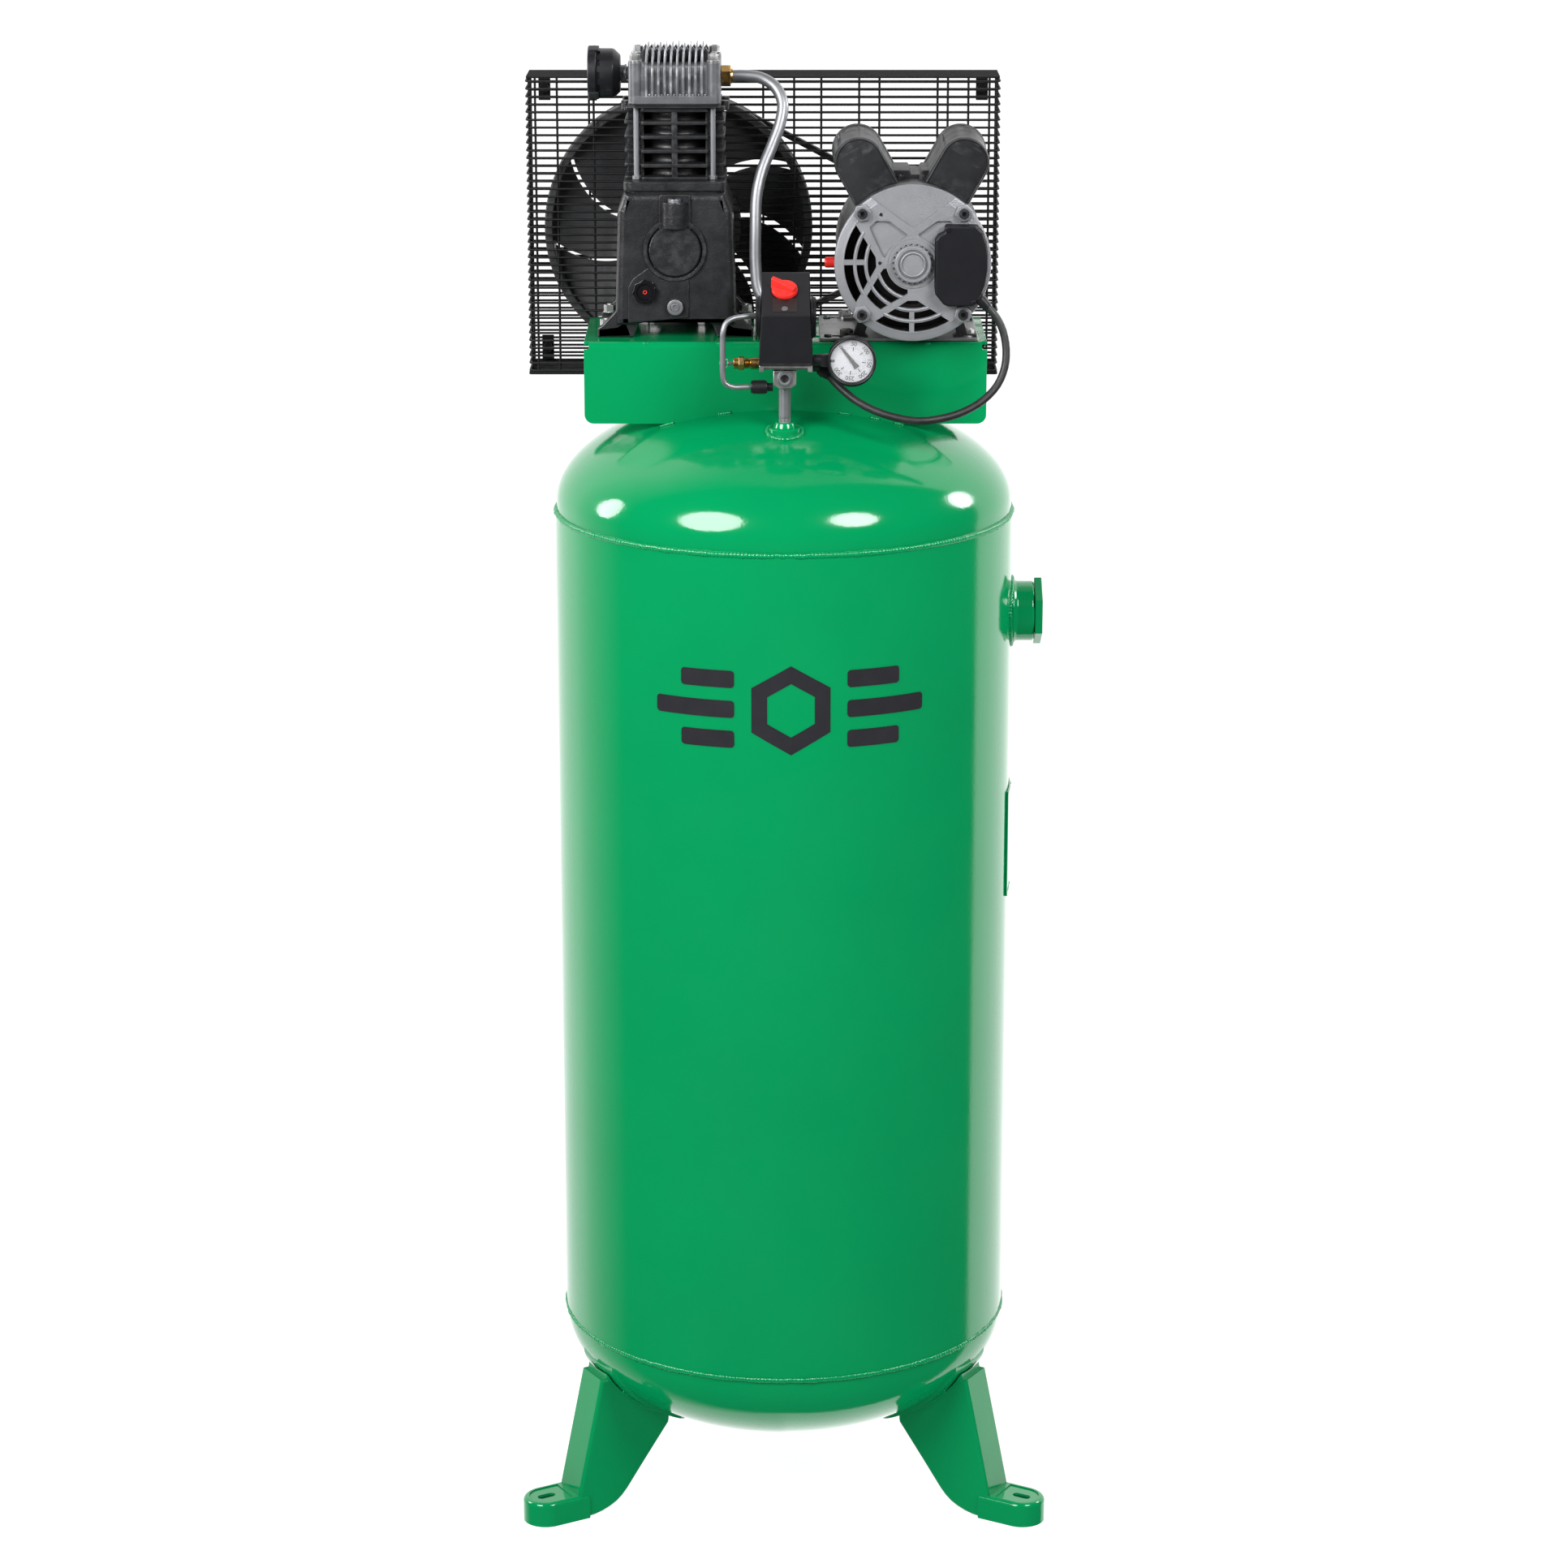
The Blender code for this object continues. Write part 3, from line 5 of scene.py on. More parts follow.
import bmesh
import bpy
from mathutils import Matrix, Vector, noise


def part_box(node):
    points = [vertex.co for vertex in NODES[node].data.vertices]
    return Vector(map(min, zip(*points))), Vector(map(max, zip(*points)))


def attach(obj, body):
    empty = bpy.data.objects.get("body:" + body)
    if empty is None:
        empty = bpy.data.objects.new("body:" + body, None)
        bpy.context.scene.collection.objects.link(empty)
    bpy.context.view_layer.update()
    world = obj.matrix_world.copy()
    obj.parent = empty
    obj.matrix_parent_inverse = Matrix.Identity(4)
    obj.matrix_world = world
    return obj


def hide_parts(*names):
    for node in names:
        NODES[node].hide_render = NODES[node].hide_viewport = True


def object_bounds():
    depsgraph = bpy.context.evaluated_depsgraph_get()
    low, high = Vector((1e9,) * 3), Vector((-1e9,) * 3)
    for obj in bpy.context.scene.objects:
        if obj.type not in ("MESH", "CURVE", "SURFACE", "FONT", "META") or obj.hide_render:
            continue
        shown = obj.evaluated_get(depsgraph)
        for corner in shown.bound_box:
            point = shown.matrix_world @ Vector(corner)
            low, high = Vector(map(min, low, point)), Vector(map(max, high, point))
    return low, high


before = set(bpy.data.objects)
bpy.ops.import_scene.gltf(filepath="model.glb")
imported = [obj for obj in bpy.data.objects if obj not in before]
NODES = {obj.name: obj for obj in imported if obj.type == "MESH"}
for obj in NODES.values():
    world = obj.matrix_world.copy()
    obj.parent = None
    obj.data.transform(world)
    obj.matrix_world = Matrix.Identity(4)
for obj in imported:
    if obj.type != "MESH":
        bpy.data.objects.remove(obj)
cad_low, cad_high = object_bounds()

# Places are measured from the receiver's axis, with the floor at 0. AXIS moves them to the frame.
shell_low, shell_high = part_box("tank_shell")
AXIS = Vector(((shell_low.x + shell_high.x) / 2.0, (shell_low.y + shell_high.y) / 2.0, 0.0))


def span(node):
    """Lowest and highest corner of a CAD node, measured from the receiver's axis."""
    low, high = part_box(node)
    return low - AXIS, high - AXIS


def middle(node):
    low, high = span(node)
    return (low + high) / 2.0


TANK_R = (shell_high.x - shell_low.x) / 2.0
SEAM_LOW, SEAM_HIGH = shell_low.z, shell_high.z
HEAD_R = 0.2525
WALL = 0.003
TOP_FLANGE = 0.0111
LOW_FLANGE = 0.0046
TOP_DEPTH = span("tank_top_head")[1].z - SEAM_HIGH - TOP_FLANGE
LOW_DEPTH = SEAM_LOW - LOW_FLANGE - span("tank_bottom_head")[0].z


# Camera

SENSOR, LENS = 36.0, 97.984
EYE = Vector((0.0, -4.66, 2.1226))
TILT = 15.489


def linked(name, data):
    """A new object in the scene."""
    obj = bpy.data.objects.new(name, data)
    bpy.context.scene.collection.objects.link(obj)
    return obj


def make_camera():
    """The photograph's viewpoint: in front of the receiver, above its top, looking down."""
    data = bpy.data.cameras.new("camera")
    data.sensor_width = SENSOR
    data.lens = LENS
    camera = linked("camera", data)
    camera.location = AXIS + EYE
    camera.rotation_euler = (math.radians(90.0 - TILT), 0.0, 0.0)
    bpy.context.scene.camera = camera


make_camera()


# Materials


def add_node(tree, kind, values=None, **settings):
    """Adds a shader node, sets its properties and then its input sockets, by name or number."""
    made = tree.nodes.new("ShaderNode" + kind)
    for name, value in settings.items():
        setattr(made, name, value)
    for name, value in (values or {}).items():
        if isinstance(value, bpy.types.NodeSocket):
            tree.links.new(value, made.inputs[name])
        else:
            made.inputs[name].default_value = value
    return made


def ramp(tree, source, low, high, to_low, to_high):
    """A value moved from one range to another, and held there."""
    values = {0: source, 1: low, 2: high, 3: to_low, 4: to_high}
    return add_node(tree, "MapRange", values, clamp=True).outputs[0]


def noise_at(tree, place, scale, detail=3.0, roughness=0.55):
    values = {"Vector": place, "Scale": scale, "Detail": detail, "Roughness": roughness}
    return add_node(tree, "TexNoise", values).outputs["Fac"]


def mixed(tree, share, first, second):
    """Two colours mixed. Each may be a colour or a socket."""
    made = add_node(tree, "Mix", data_type="RGBA")
    tree.links.new(share, made.inputs[0])
    for socket, colour in ((made.inputs[6], first), (made.inputs[7], second)):
        if isinstance(colour, bpy.types.NodeSocket):
            tree.links.new(colour, socket)
        else:
            socket.default_value = (*colour, 1.0)
    return made.outputs[2]


def surface(
    name,
    colour,
    roughness,
    metallic=0.0,
    tone=0.12,
    patch=18.0,
    spread=0.05,
    grain=0.0,
    grain_scale=700.0,
    wave=0.0,
    wave_scale=160.0,
    stretch=(1.0, 1.0, 1.0),
    edge_wear_and_highlight=None,
    level=0.5,
    coat=0.0,
):
    """A procedural material: patchy tone, uneven gloss, fine grain, a longer wave and pale edges, partly wear
    and partly painted highlight.
    """
    made = bpy.data.materials.new(name)
    made.use_nodes = True
    tree = made.node_tree
    shader = tree.nodes["Principled BSDF"]
    shader.inputs["Metallic"].default_value = metallic
    shader.inputs["Specular IOR Level"].default_value = level
    shader.inputs["Coat Weight"].default_value = coat
    shader.inputs["Coat Roughness"].default_value = 0.06
    place = add_node(tree, "TexCoord").outputs["Object"]
    place = add_node(tree, "Mapping", {"Vector": place, "Scale": stretch}).outputs[0]
    patches = noise_at(tree, place, patch, 5.0)
    dark = tuple(c * (1.0 - tone) for c in colour)
    light = tuple(min(1.0, c * (1.0 + tone)) for c in colour)
    shade = mixed(tree, ramp(tree, patches, 0.3, 0.7, 0.0, 1.0), dark, light)
    fine = noise_at(tree, place, grain_scale, 2.0)
    # Pale convex edges by pointiness: partly wear, partly a painted highlight along the edges.
    if edge_wear_and_highlight:
        edges = add_node(tree, "NewGeometry").outputs["Pointiness"]
        edges = ramp(tree, edges, 0.53, 0.62, 0.0, 1.0)
        broken = ramp(tree, noise_at(tree, place, 90.0, 4.0), 0.45, 0.65, 0.0, 1.0)
        share = add_node(tree, "Math", {0: edges, 1: broken}, operation="MULTIPLY").outputs[0]
        shade = mixed(tree, share, shade, edge_wear_and_highlight)
    tree.links.new(shade, shader.inputs["Base Color"])
    uneven = ramp(tree, noise_at(tree, place, patch * 2.3, 4.0), 0.25, 0.75, -spread, spread)
    gloss = add_node(tree, "Math", {0: uneven, 1: roughness}, operation="ADD").outputs[0]
    tree.links.new(gloss, shader.inputs["Roughness"])
    height = add_node(tree, "Math", {0: fine, 1: grain}, operation="MULTIPLY").outputs[0]
    if wave:
        long = noise_at(tree, place, wave_scale, 1.0)
        values = {0: long, 1: wave, 2: height}
        height = add_node(tree, "Math", values, operation="MULTIPLY_ADD").outputs[0]
    bump = add_node(tree, "Bump", {"Strength": 1.0, "Distance": 0.001, "Height": height})
    tree.links.new(bump.outputs["Normal"], shader.inputs["Normal"])
    return made


ENAMEL = surface(
    "green_enamel", (0.0002, 0.203, 0.0635), 0.105, tone=0.035, patch=5.0, spread=0.03,
    grain=0.010, grain_scale=900.0, wave=0.05, wave_scale=330.0,
)
CAST = surface(
    "black_cast_iron", (0.0115, 0.012, 0.0135), 0.36, tone=0.35, patch=30.0, spread=0.09,
    grain=0.26, grain_scale=620.0, wave=0.24, wave_scale=210.0, edge_wear_and_highlight=(0.060, 0.062, 0.068),
)
MOTOR_PAINT = surface(
    "motor_paint", (0.0165, 0.017, 0.0185), 0.36, tone=0.4, patch=22.0, spread=0.08,
    grain=0.05, grain_scale=800.0, wave=0.12, wave_scale=120.0, edge_wear_and_highlight=(0.06, 0.062, 0.066), level=0.28,
)
WIRE = surface(
    "black_wire", (0.0045, 0.0046, 0.0052), 0.50, tone=0.25, patch=40.0, grain=0.05, grain_scale=900.0,
    level=0.25,
)
WHEEL = surface(
    "wheel_paint", (0.030, 0.031, 0.033), 0.50, tone=0.22, patch=26.0, spread=0.08,
    grain=0.16, grain_scale=520.0, wave=0.2, wave_scale=160.0, edge_wear_and_highlight=(0.09, 0.092, 0.095),
)
PLASTIC = surface(
    "black_plastic", (0.0075, 0.0077, 0.0095), 0.38, tone=0.08, patch=24.0, spread=0.04,
    grain=0.04, grain_scale=1300.0, edge_wear_and_highlight=(0.025, 0.025, 0.028), level=0.28,
)
ALUMINIUM = surface(
    "die_cast_aluminium", (0.245, 0.25, 0.265), 0.44, 0.55, tone=0.06, patch=60.0, spread=0.06,
    grain=0.40, grain_scale=1100.0, wave=0.10, wave_scale=420.0,
)
STEEL = surface(
    "drawn_steel", (0.27, 0.275, 0.29), 0.46, 0.85, tone=0.06, patch=40.0, spread=0.05,
    grain=0.008, grain_scale=500.0, wave=0.01, wave_scale=60.0,
)
HEAD_ALLOY = surface(
    "head_alloy", (0.16, 0.165, 0.175), 0.36, 0.65, tone=0.10, patch=60.0, spread=0.06,
    grain=0.05, grain_scale=900.0, wave=0.03, wave_scale=240.0, edge_wear_and_highlight=(0.42, 0.43, 0.45),
)
ZINC = surface(
    "zinc_plate", (0.38, 0.385, 0.38), 0.36, 0.85, tone=0.12, patch=45.0, spread=0.10,
    grain=0.08, grain_scale=600.0, edge_wear_and_highlight=(0.75, 0.75, 0.74),
)
BRASS = surface(
    "machined_brass", (0.52, 0.31, 0.10), 0.30, 1.0, tone=0.16, patch=60.0, spread=0.10,
    grain=0.06, grain_scale=800.0, edge_wear_and_highlight=(0.72, 0.50, 0.22),
)
RED = surface(
    "red_plastic", (0.62, 0.018, 0.012), 0.34, tone=0.06, patch=60.0, spread=0.05,
    grain=0.05, grain_scale=1200.0,
)
RUBBER = surface(
    "black_rubber", (0.012, 0.012, 0.013), 0.46, tone=0.25, patch=70.0, spread=0.10,
    grain=0.10, grain_scale=900.0,
)
MARK = surface(
    "mark_film", (0.018, 0.018, 0.022), 0.22, tone=0.10, patch=30.0, grain=0.01, grain_scale=900.0,
)
LAMINATION = surface(
    "laminations", (0.012, 0.010, 0.009), 0.5, 0.2, tone=0.3, patch=8.0, grain=0.4, grain_scale=500.0,
    stretch=(0.1, 3.0, 0.1),
)


def glass():
    """Clear glass: almost all of it lets light through, and the rest is gloss."""
    made = surface("lens_glass", (0.9, 0.93, 0.93), 0.05, tone=0.02, patch=40.0, spread=0.02)
    made.node_tree.nodes["Principled BSDF"].inputs["Alpha"].default_value = 0.06
    return made


GLASS = glass()


# Mesh helpers

BOLT_ANGLES = (45.0, 135.0, 225.0, 315.0)
TURNS = {
    "X": Matrix.Rotation(math.radians(90.0), 4, "Y"),
    "Y": Matrix.Rotation(math.radians(-90.0), 4, "X"),
    "Z": Matrix.Identity(4),
}
PLANES = {
    "XY": Matrix.Identity(4),
    "XZ": Matrix(((1, 0, 0, 0), (0, 0, 1, 0), (0, 1, 0, 0), (0, 0, 0, 1))),
    "YZ": Matrix(((0, 0, 1, 0), (1, 0, 0, 0), (0, 1, 0, 0), (0, 0, 0, 1))),
}


def baked(holder):
    """The mesh of an object as its modifiers leave it. The object itself goes."""
    graph = bpy.context.evaluated_depsgraph_get()
    mesh = bpy.data.meshes.new_from_object(holder.evaluated_get(graph))
    bpy.data.objects.remove(holder)
    return mesh


def to_mesh(bm):
    bmesh.ops.remove_doubles(bm, verts=bm.verts, dist=1e-6)
    bmesh.ops.recalc_face_normals(bm, faces=bm.faces)
    mesh = bpy.data.meshes.new("shape")
    bm.to_mesh(mesh)
    bm.free()
    return mesh


def lathe(profile, centre=(0.0, 0.0, 0.0), axis="Z", steps=64, ring=False):
    """Turns (radius, distance along the axis) points round an axis through the centre."""
    bm = bmesh.new()
    rings = []
    for step in range(steps):
        angle = 2.0 * math.pi * step / steps
        c, s = math.cos(angle), math.sin(angle)
        rings.append([bm.verts.new((r * c, r * s, along)) for r, along in profile])
    count = len(profile)
    for one, two in zip(rings, rings[1:] + rings[:1]):
        for i in range(count if ring else count - 1):
            k = (i + 1) % count
            bm.faces.new((one[i], two[i], two[k], one[k]))
    bmesh.ops.transform(bm, matrix=Matrix.Translation(centre) @ TURNS[axis], verts=bm.verts)
    bmesh.ops.dissolve_degenerate(bm, edges=bm.edges, dist=1e-6)
    return to_mesh(bm)


def rod(centre, axis, radius, low, high, edge=0.0, steps=32):
    """A round bar along an axis, its ends softened by an edge."""
    profile = [(0.0, low), (radius - edge, low)]
    if edge:
        profile += [(radius - 0.3 * edge, low + 0.3 * edge), (radius, low + edge)]
        profile += [(radius, high - edge), (radius - 0.3 * edge, high - 0.3 * edge)]
    else:
        profile += [(radius, low), (radius, high)]
    return lathe(profile + [(radius - edge, high), (0.0, high)], centre, axis, steps)


def slab(outlines, plane, low, high, edge=0.0, turn=None, rounds=2):
    """A plate cut to outlines, holes among them, from low to high across its plane, with round edges."""
    curve = bpy.data.curves.new("slab", "CURVE")
    curve.dimensions = "2D"
    curve.fill_mode = "BOTH"
    curve.extrude = 0.5 * (high - low) - edge
    curve.bevel_depth = edge
    curve.bevel_resolution = rounds
    curve.offset = -edge
    for outline in outlines:
        spline = curve.splines.new("POLY")
        spline.points.add(len(outline) - 1)
        for point, (a, b) in zip(spline.points, outline):
            point.co = (a, b, 0.0, 1.0)
        spline.use_cyclic_u = True
    mesh = baked(linked("slab", curve))
    place = PLANES[plane] @ Matrix.Translation((0.0, 0.0, 0.5 * (low + high)))
    if turn:
        place = turn @ place
    bm = bmesh.new()
    bm.from_mesh(mesh)
    bmesh.ops.transform(bm, matrix=place, verts=bm.verts)
    bpy.data.meshes.remove(mesh)
    return to_mesh(bm)


def block(low, high, edge=0.0, rounds=2):
    """A box with rounded edges."""
    bm = bmesh.new()
    bmesh.ops.create_cube(bm, size=1.0)
    size = Vector(high) - Vector(low)
    centre = (Vector(high) + Vector(low)) / 2.0
    bmesh.ops.transform(
        bm, matrix=Matrix.Translation(centre) @ Matrix.Diagonal((*size, 1.0)), verts=bm.verts
    )
    if edge:
        bmesh.ops.bevel(bm, geom=bm.edges[:], offset=edge, segments=rounds, profile=0.5, affect="EDGES")
    return to_mesh(bm)


def joined(*meshes):
    """Several meshes in one."""
    bm = bmesh.new()
    for mesh in meshes:
        bm.from_mesh(mesh)
    for mesh in set(meshes):
        bpy.data.meshes.remove(mesh)
    made = bpy.data.meshes.new("shape")
    bm.to_mesh(made)
    bm.free()
    return made


def moved(mesh, matrix):
    mesh.transform(matrix)
    return mesh


def changed(mesh, kind, **settings):
    """The mesh with one modifier applied."""
    holder = linked("holder", mesh)
    modifier = holder.modifiers.new("change", kind)
    for name, value in settings.items():
        setattr(modifier, name, value)
    made = baked(holder)
    bpy.data.meshes.remove(mesh)
    return made


def combined(mesh, others, operation):
    for other in others:
        tool = linked("tool", other)
        mesh = changed(mesh, "BOOLEAN", operation=operation, solver="EXACT", object=tool)
        bpy.data.objects.remove(tool)
        bpy.data.meshes.remove(other)
    return mesh


def cut(mesh, *others):
    return combined(mesh, others, "DIFFERENCE")


def fused(mesh, *others):
    return combined(mesh, others, "UNION")


def softened(mesh, width, segments=2, angle=30.0):
    """The mesh with its sharp edges rounded."""
    return changed(
        mesh,
        "BEVEL",
        width=width,
        segments=segments,
        limit_method="ANGLE",
        angle_limit=math.radians(angle),
        use_clamp_overlap=True,
    )


def mounted(obj, body, replaces):
    """The object, riding on a CAD body and standing in for CAD nodes."""
    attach(obj, body)
    if replaces:
        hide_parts(*replaces)
    return obj


def piece(name, mesh, material, body="root", replaces=(), angle=38.0):
    """Shows a mesh, given in the receiver's measures, as a piece that rides on a CAD body."""
    mesh.transform(Matrix.Translation(AXIS))
    mesh.shade_smooth()
    mesh.set_sharp_from_angle(angle=math.radians(angle))
    mesh.materials.clear()
    mesh.materials.append(material)
    obj = linked(name, mesh)
    weight = obj.modifiers.new("normals", "WEIGHTED_NORMAL")
    weight.keep_sharp = True
    return mounted(obj, body, replaces)


def wires(name, routes, radius, material, closed=False, sides=2, body="root", replaces=()):
    """Round wires or tubes along routes, as one curve."""
    curve = bpy.data.curves.new(name, "CURVE")
    curve.dimensions = "3D"
    curve.bevel_depth = radius
    curve.bevel_resolution = sides
    curve.use_fill_caps = True
    for route in routes:
        spline = curve.splines.new("POLY")
        spline.points.add(len(route) - 1)
        for point, place in zip(spline.points, route):
            point.co = (*(Vector(place) + AXIS), 1.0)
        spline.use_cyclic_u = closed
    curve.materials.append(material)
    return mounted(linked(name, curve), body, replaces)


def carry(node, material, width=0.0, segments=2):
    """Keeps a CAD node, with its edges softened, and gives it its finish."""
    obj = NODES[node]
    mesh = obj.data
    if mesh.attributes.get("custom_normal"):
        mesh.attributes.remove(mesh.attributes["custom_normal"])
    mesh.shade_smooth()
    mesh.materials.clear()
    mesh.materials.append(material)
    weld = obj.modifiers.new("weld", "WELD")
    weld.merge_threshold = 2e-6
    tidy = obj.modifiers.new("tidy", "DECIMATE")
    tidy.decimate_type = "DISSOLVE"
    tidy.angle_limit = math.radians(0.4)
    if width:
        bevel = obj.modifiers.new("bevel", "BEVEL")
        bevel.width = width
        bevel.segments = segments
        bevel.limit_method = "ANGLE"
        bevel.angle_limit = math.radians(32.0)
    obj.modifiers.new("normals", "WEIGHTED_NORMAL")
    return obj


def arc(centre, radius, start, end, count):
    """Points on an arc, angles in degrees."""
    points = []
    for index in range(count + 1):
        angle = math.radians(start + (end - start) * index / count)
        points.append((centre[0] + radius * math.cos(angle), centre[1] + radius * math.sin(angle)))
    return points


def polar(centre, radius, angle):
    """The point at an angle, in degrees, on a circle."""
    return arc(centre, radius, angle, angle, 1)[0]


def turned(centre, angle, axis):
    """A turn about the origin, in degrees, then a move to the centre."""
    return Matrix.Translation(centre) @ Matrix.Rotation(math.radians(angle), 4, axis)


def ring_of(centre, radius, count=32):
    return arc(centre, radius, 0.0, 360.0 * (count - 1) / count, count - 1)


def rounded_box(low, high, radius, count=5):
    """Outline of a rectangle with rounded corners."""
    corners = ((high[0], low[1], -90), (high[0], high[1], 0), (low[0], high[1], 90), (low[0], low[1], 180))
    inward = ((-1, 1), (-1, -1), (1, -1), (1, 1))
    outline = []
    for (x, z, start), (sx, sz) in zip(corners, inward):
        outline += arc((x + sx * radius, z + sz * radius), radius, start, start + 90, count)
    return outline


def filleted(points, radius, count=4):
    """An outline with each corner rounded, by one radius or by each corner's own."""
    radii = [radius] * len(points) if isinstance(radius, float) else radius
    outline = []
    for index, (point, size) in enumerate(zip(points, radii)):
        here = Vector(point)
        back = Vector(points[index - 1]) - here
        ahead = Vector(points[(index + 1) % len(points)]) - here
        if size <= 0.0:
            outline.append(tuple(here))
            continue
        reach = size / math.tan(0.5 * back.angle(ahead))
        reach = min(reach, 0.45 * back.length, 0.45 * ahead.length)
        start, end = here + back.normalized() * reach, here + ahead.normalized() * reach
        for step in range(count + 1):
            t = step / count
            outline.append(tuple(start.lerp(here, t).lerp(here.lerp(end, t), t)))
    return outline


def hexagon(centre, across, start=0.0):
    """A hexagon by its width across flats."""
    return arc(centre, across / math.sqrt(3.0), start, start + 300.0, 5)


def smooth_route(points, steps):
    """Points of a smooth curve through a route, by centripetal Catmull-Rom interpolation."""
    knots = [Vector(point) for point in points]
    first = knots[0] * 2.0 - knots[1]
    last = knots[-1] * 2.0 - knots[-2]
    knots = [first, *knots, last]
    route = []
    for index in range(1, len(knots) - 2):
        p0, p1, p2, p3 = knots[index - 1 : index + 3]
        t1 = (p1 - p0).length ** 0.5
        t2 = t1 + (p2 - p1).length ** 0.5
        t3 = t2 + (p3 - p2).length ** 0.5
        for step in range(steps):
            t = t1 + (t2 - t1) * step / steps
            a1 = p0.lerp(p1, t / t1)
            a2 = p1.lerp(p2, (t - t1) / (t2 - t1))
            a3 = p2.lerp(p3, (t - t2) / (t3 - t2))
            b1 = a1.lerp(a2, t / t2)
            b2 = a2.lerp(a3, (t - t1) / (t3 - t1))
            route.append(b1.lerp(b2, (t - t1) / (t2 - t1)))
    route.append(knots[-2])
    return route


def resampled(points, step, closed=False):
    """Evenly spaced points along a route."""
    knots = [Vector(p) for p in points] + ([Vector(points[0])] if closed else [])
    lengths = [0.0]
    for one, two in zip(knots, knots[1:]):
        lengths.append(lengths[-1] + (two - one).length)
    count = max(2, round(lengths[-1] / step))
    route = []
    index = 0
    for k in range(count if closed else count + 1):
        target = lengths[-1] * k / count
        while index < len(knots) - 2 and lengths[index + 1] < target:
            index += 1
        share = (target - lengths[index]) / max(1e-9, lengths[index + 1] - lengths[index])
        route.append(knots[index].lerp(knots[index + 1], share))
    return route


def swept(route, radius, sides=8, closed=False):
    """A tube along a route. radius is a number, or a function of the distance and the angle."""
    bm = bmesh.new()
    rings = []
    count = len(route)
    side = None
    along = 0.0
    for index, here in enumerate(route):
        ahead = route[(index + 1) % count] if closed or index < count - 1 else here
        behind = route[index - 1] if closed or index else here
        tangent = (ahead - behind).normalized()
        if side is None:
            side = tangent.orthogonal().normalized()
        side = (side - tangent * side.dot(tangent)).normalized()
        up = tangent.cross(side)
        ring = []
        for k in range(sides):
            angle = 2.0 * math.pi * k / sides
            size = radius(along, angle) if callable(radius) else radius
            ring.append(bm.verts.new(here + (side * math.cos(angle) + up * math.sin(angle)) * size))
        rings.append(ring)
        along += (ahead - here).length
    pairs = list(zip(rings, rings[1:])) + ([(rings[-1], rings[0])] if closed else [])
    for one, two in pairs:
        for k in range(sides):
            m = (k + 1) % sides
            bm.faces.new((one[k], one[m], two[m], two[k]))
    if not closed:
        bm.faces.new(rings[0])
        bm.faces.new(rings[-1])
    return to_mesh(bm)


def plate_between(bm, layers):
    """A closed plate between two grids of vertices."""
    rows, columns = len(layers[0]) - 1, len(layers[0][0]) - 1
    for grid in layers:
        for i in range(rows):
            for j in range(columns):
                bm.faces.new((grid[i][j], grid[i + 1][j], grid[i + 1][j + 1], grid[i][j + 1]))
    rim = [(i, 0) for i in range(rows)] + [(rows, j) for j in range(columns)]
    rim += [(i, columns) for i in range(rows, 0, -1)] + [(0, j) for j in range(columns, 0, -1)]
    for (i, j), (k, m) in zip(rim, rim[1:] + rim[:1]):
        bm.faces.new((layers[0][i][j], layers[0][k][m], layers[1][k][m], layers[1][i][j]))
    return to_mesh(bm)


def bead(points, size, pitch=0.0040, closed=False, seed=1.0):
    """A run of weld: overlapping ripples of uneven width."""

    def width(along, angle):
        ripple = abs(math.sin(math.pi * along / pitch)) - 0.6
        uneven = noise.noise(Vector((along * 140.0 + seed, math.cos(angle), math.sin(angle) + seed)))
        broad = noise.noise(Vector((along * 28.0 + seed, seed, 0.0)))
        return size * (1.0 + 0.20 * ripple + 0.26 * uneven + 0.22 * broad)

    return swept(resampled(points, 0.25 * pitch, closed), width, 7, closed)


def hex_head(across, height, washer=0.0, dome=0.0):
    """A bolt head standing on the plane z = 0, with its washer."""
    parts = [slab([hexagon((0.0, 0.0), across)], "XY", 0.0012 if washer else 0.0, height, 0.0004)]
    if washer:
        parts.append(rod((0, 0, 0), "Z", washer, 0.0, 0.0014, 0.0003))
    if dome:
        parts.append(lathe([(dome, height - 0.0002), (0.8 * dome, height + 0.0011), (0.0, height + 0.0014)]))
    return joined(*parts)


def socket_head(radius, height, across):
    """A socket screw's round head on the plane z = 0, with a hexagonal recess."""
    head = rod((0, 0, 0), "Z", radius, 0.0, height, 0.0006, 40)
    recess = slab([hexagon((0.0, 0.0), across)], "XY", 0.35 * height, height + 0.01)
    return cut(head, recess)


def facing(x, y, z, axis="Y", sign=-1, spin=0.0):
    """Puts what stands on z = 0 on a face that looks along an axis, forwards or backwards."""
    turn = {
        ("X", 1): Matrix.Rotation(math.radians(90.0), 4, "Y"),
        ("X", -1): Matrix.Rotation(math.radians(-90.0), 4, "Y"),
        ("Y", -1): Matrix.Rotation(math.radians(90.0), 4, "X"),
        ("Y", 1): Matrix.Rotation(math.radians(-90.0), 4, "X"),
        ("Z", 1): Matrix.Identity(4),
        ("Z", -1): Matrix.Rotation(math.radians(180.0), 4, "X"),
    }[axis, sign]
    return Matrix.Translation((x, y, z)) @ turn @ Matrix.Rotation(math.radians(spin), 4, "Z")


# Cord, light and floor

CABLE = [
    (0.2124, -0.1120, 1.3996),
    (0.2200, -0.1130, 1.3915),
    (0.2285, -0.1145, 1.3815),
    (0.2350, -0.1165, 1.3680),
    (0.2385, -0.1200, 1.3490),
    (0.2370, -0.1245, 1.3300),
    (0.2290, -0.1300, 1.3115),
    (0.2140, -0.1365, 1.2965),
    (0.1950, -0.1425, 1.2860),
    (0.1730, -0.1475, 1.2795),
    (0.1430, -0.1530, 1.2768),
    (0.1080, -0.1480, 1.2830),
    (0.0800, -0.1390, 1.2945),
    (0.0620, -0.1310, 1.3075),
    (0.0510, -0.1265, 1.3180),
    (0.0430, -0.1250, 1.3260),
]


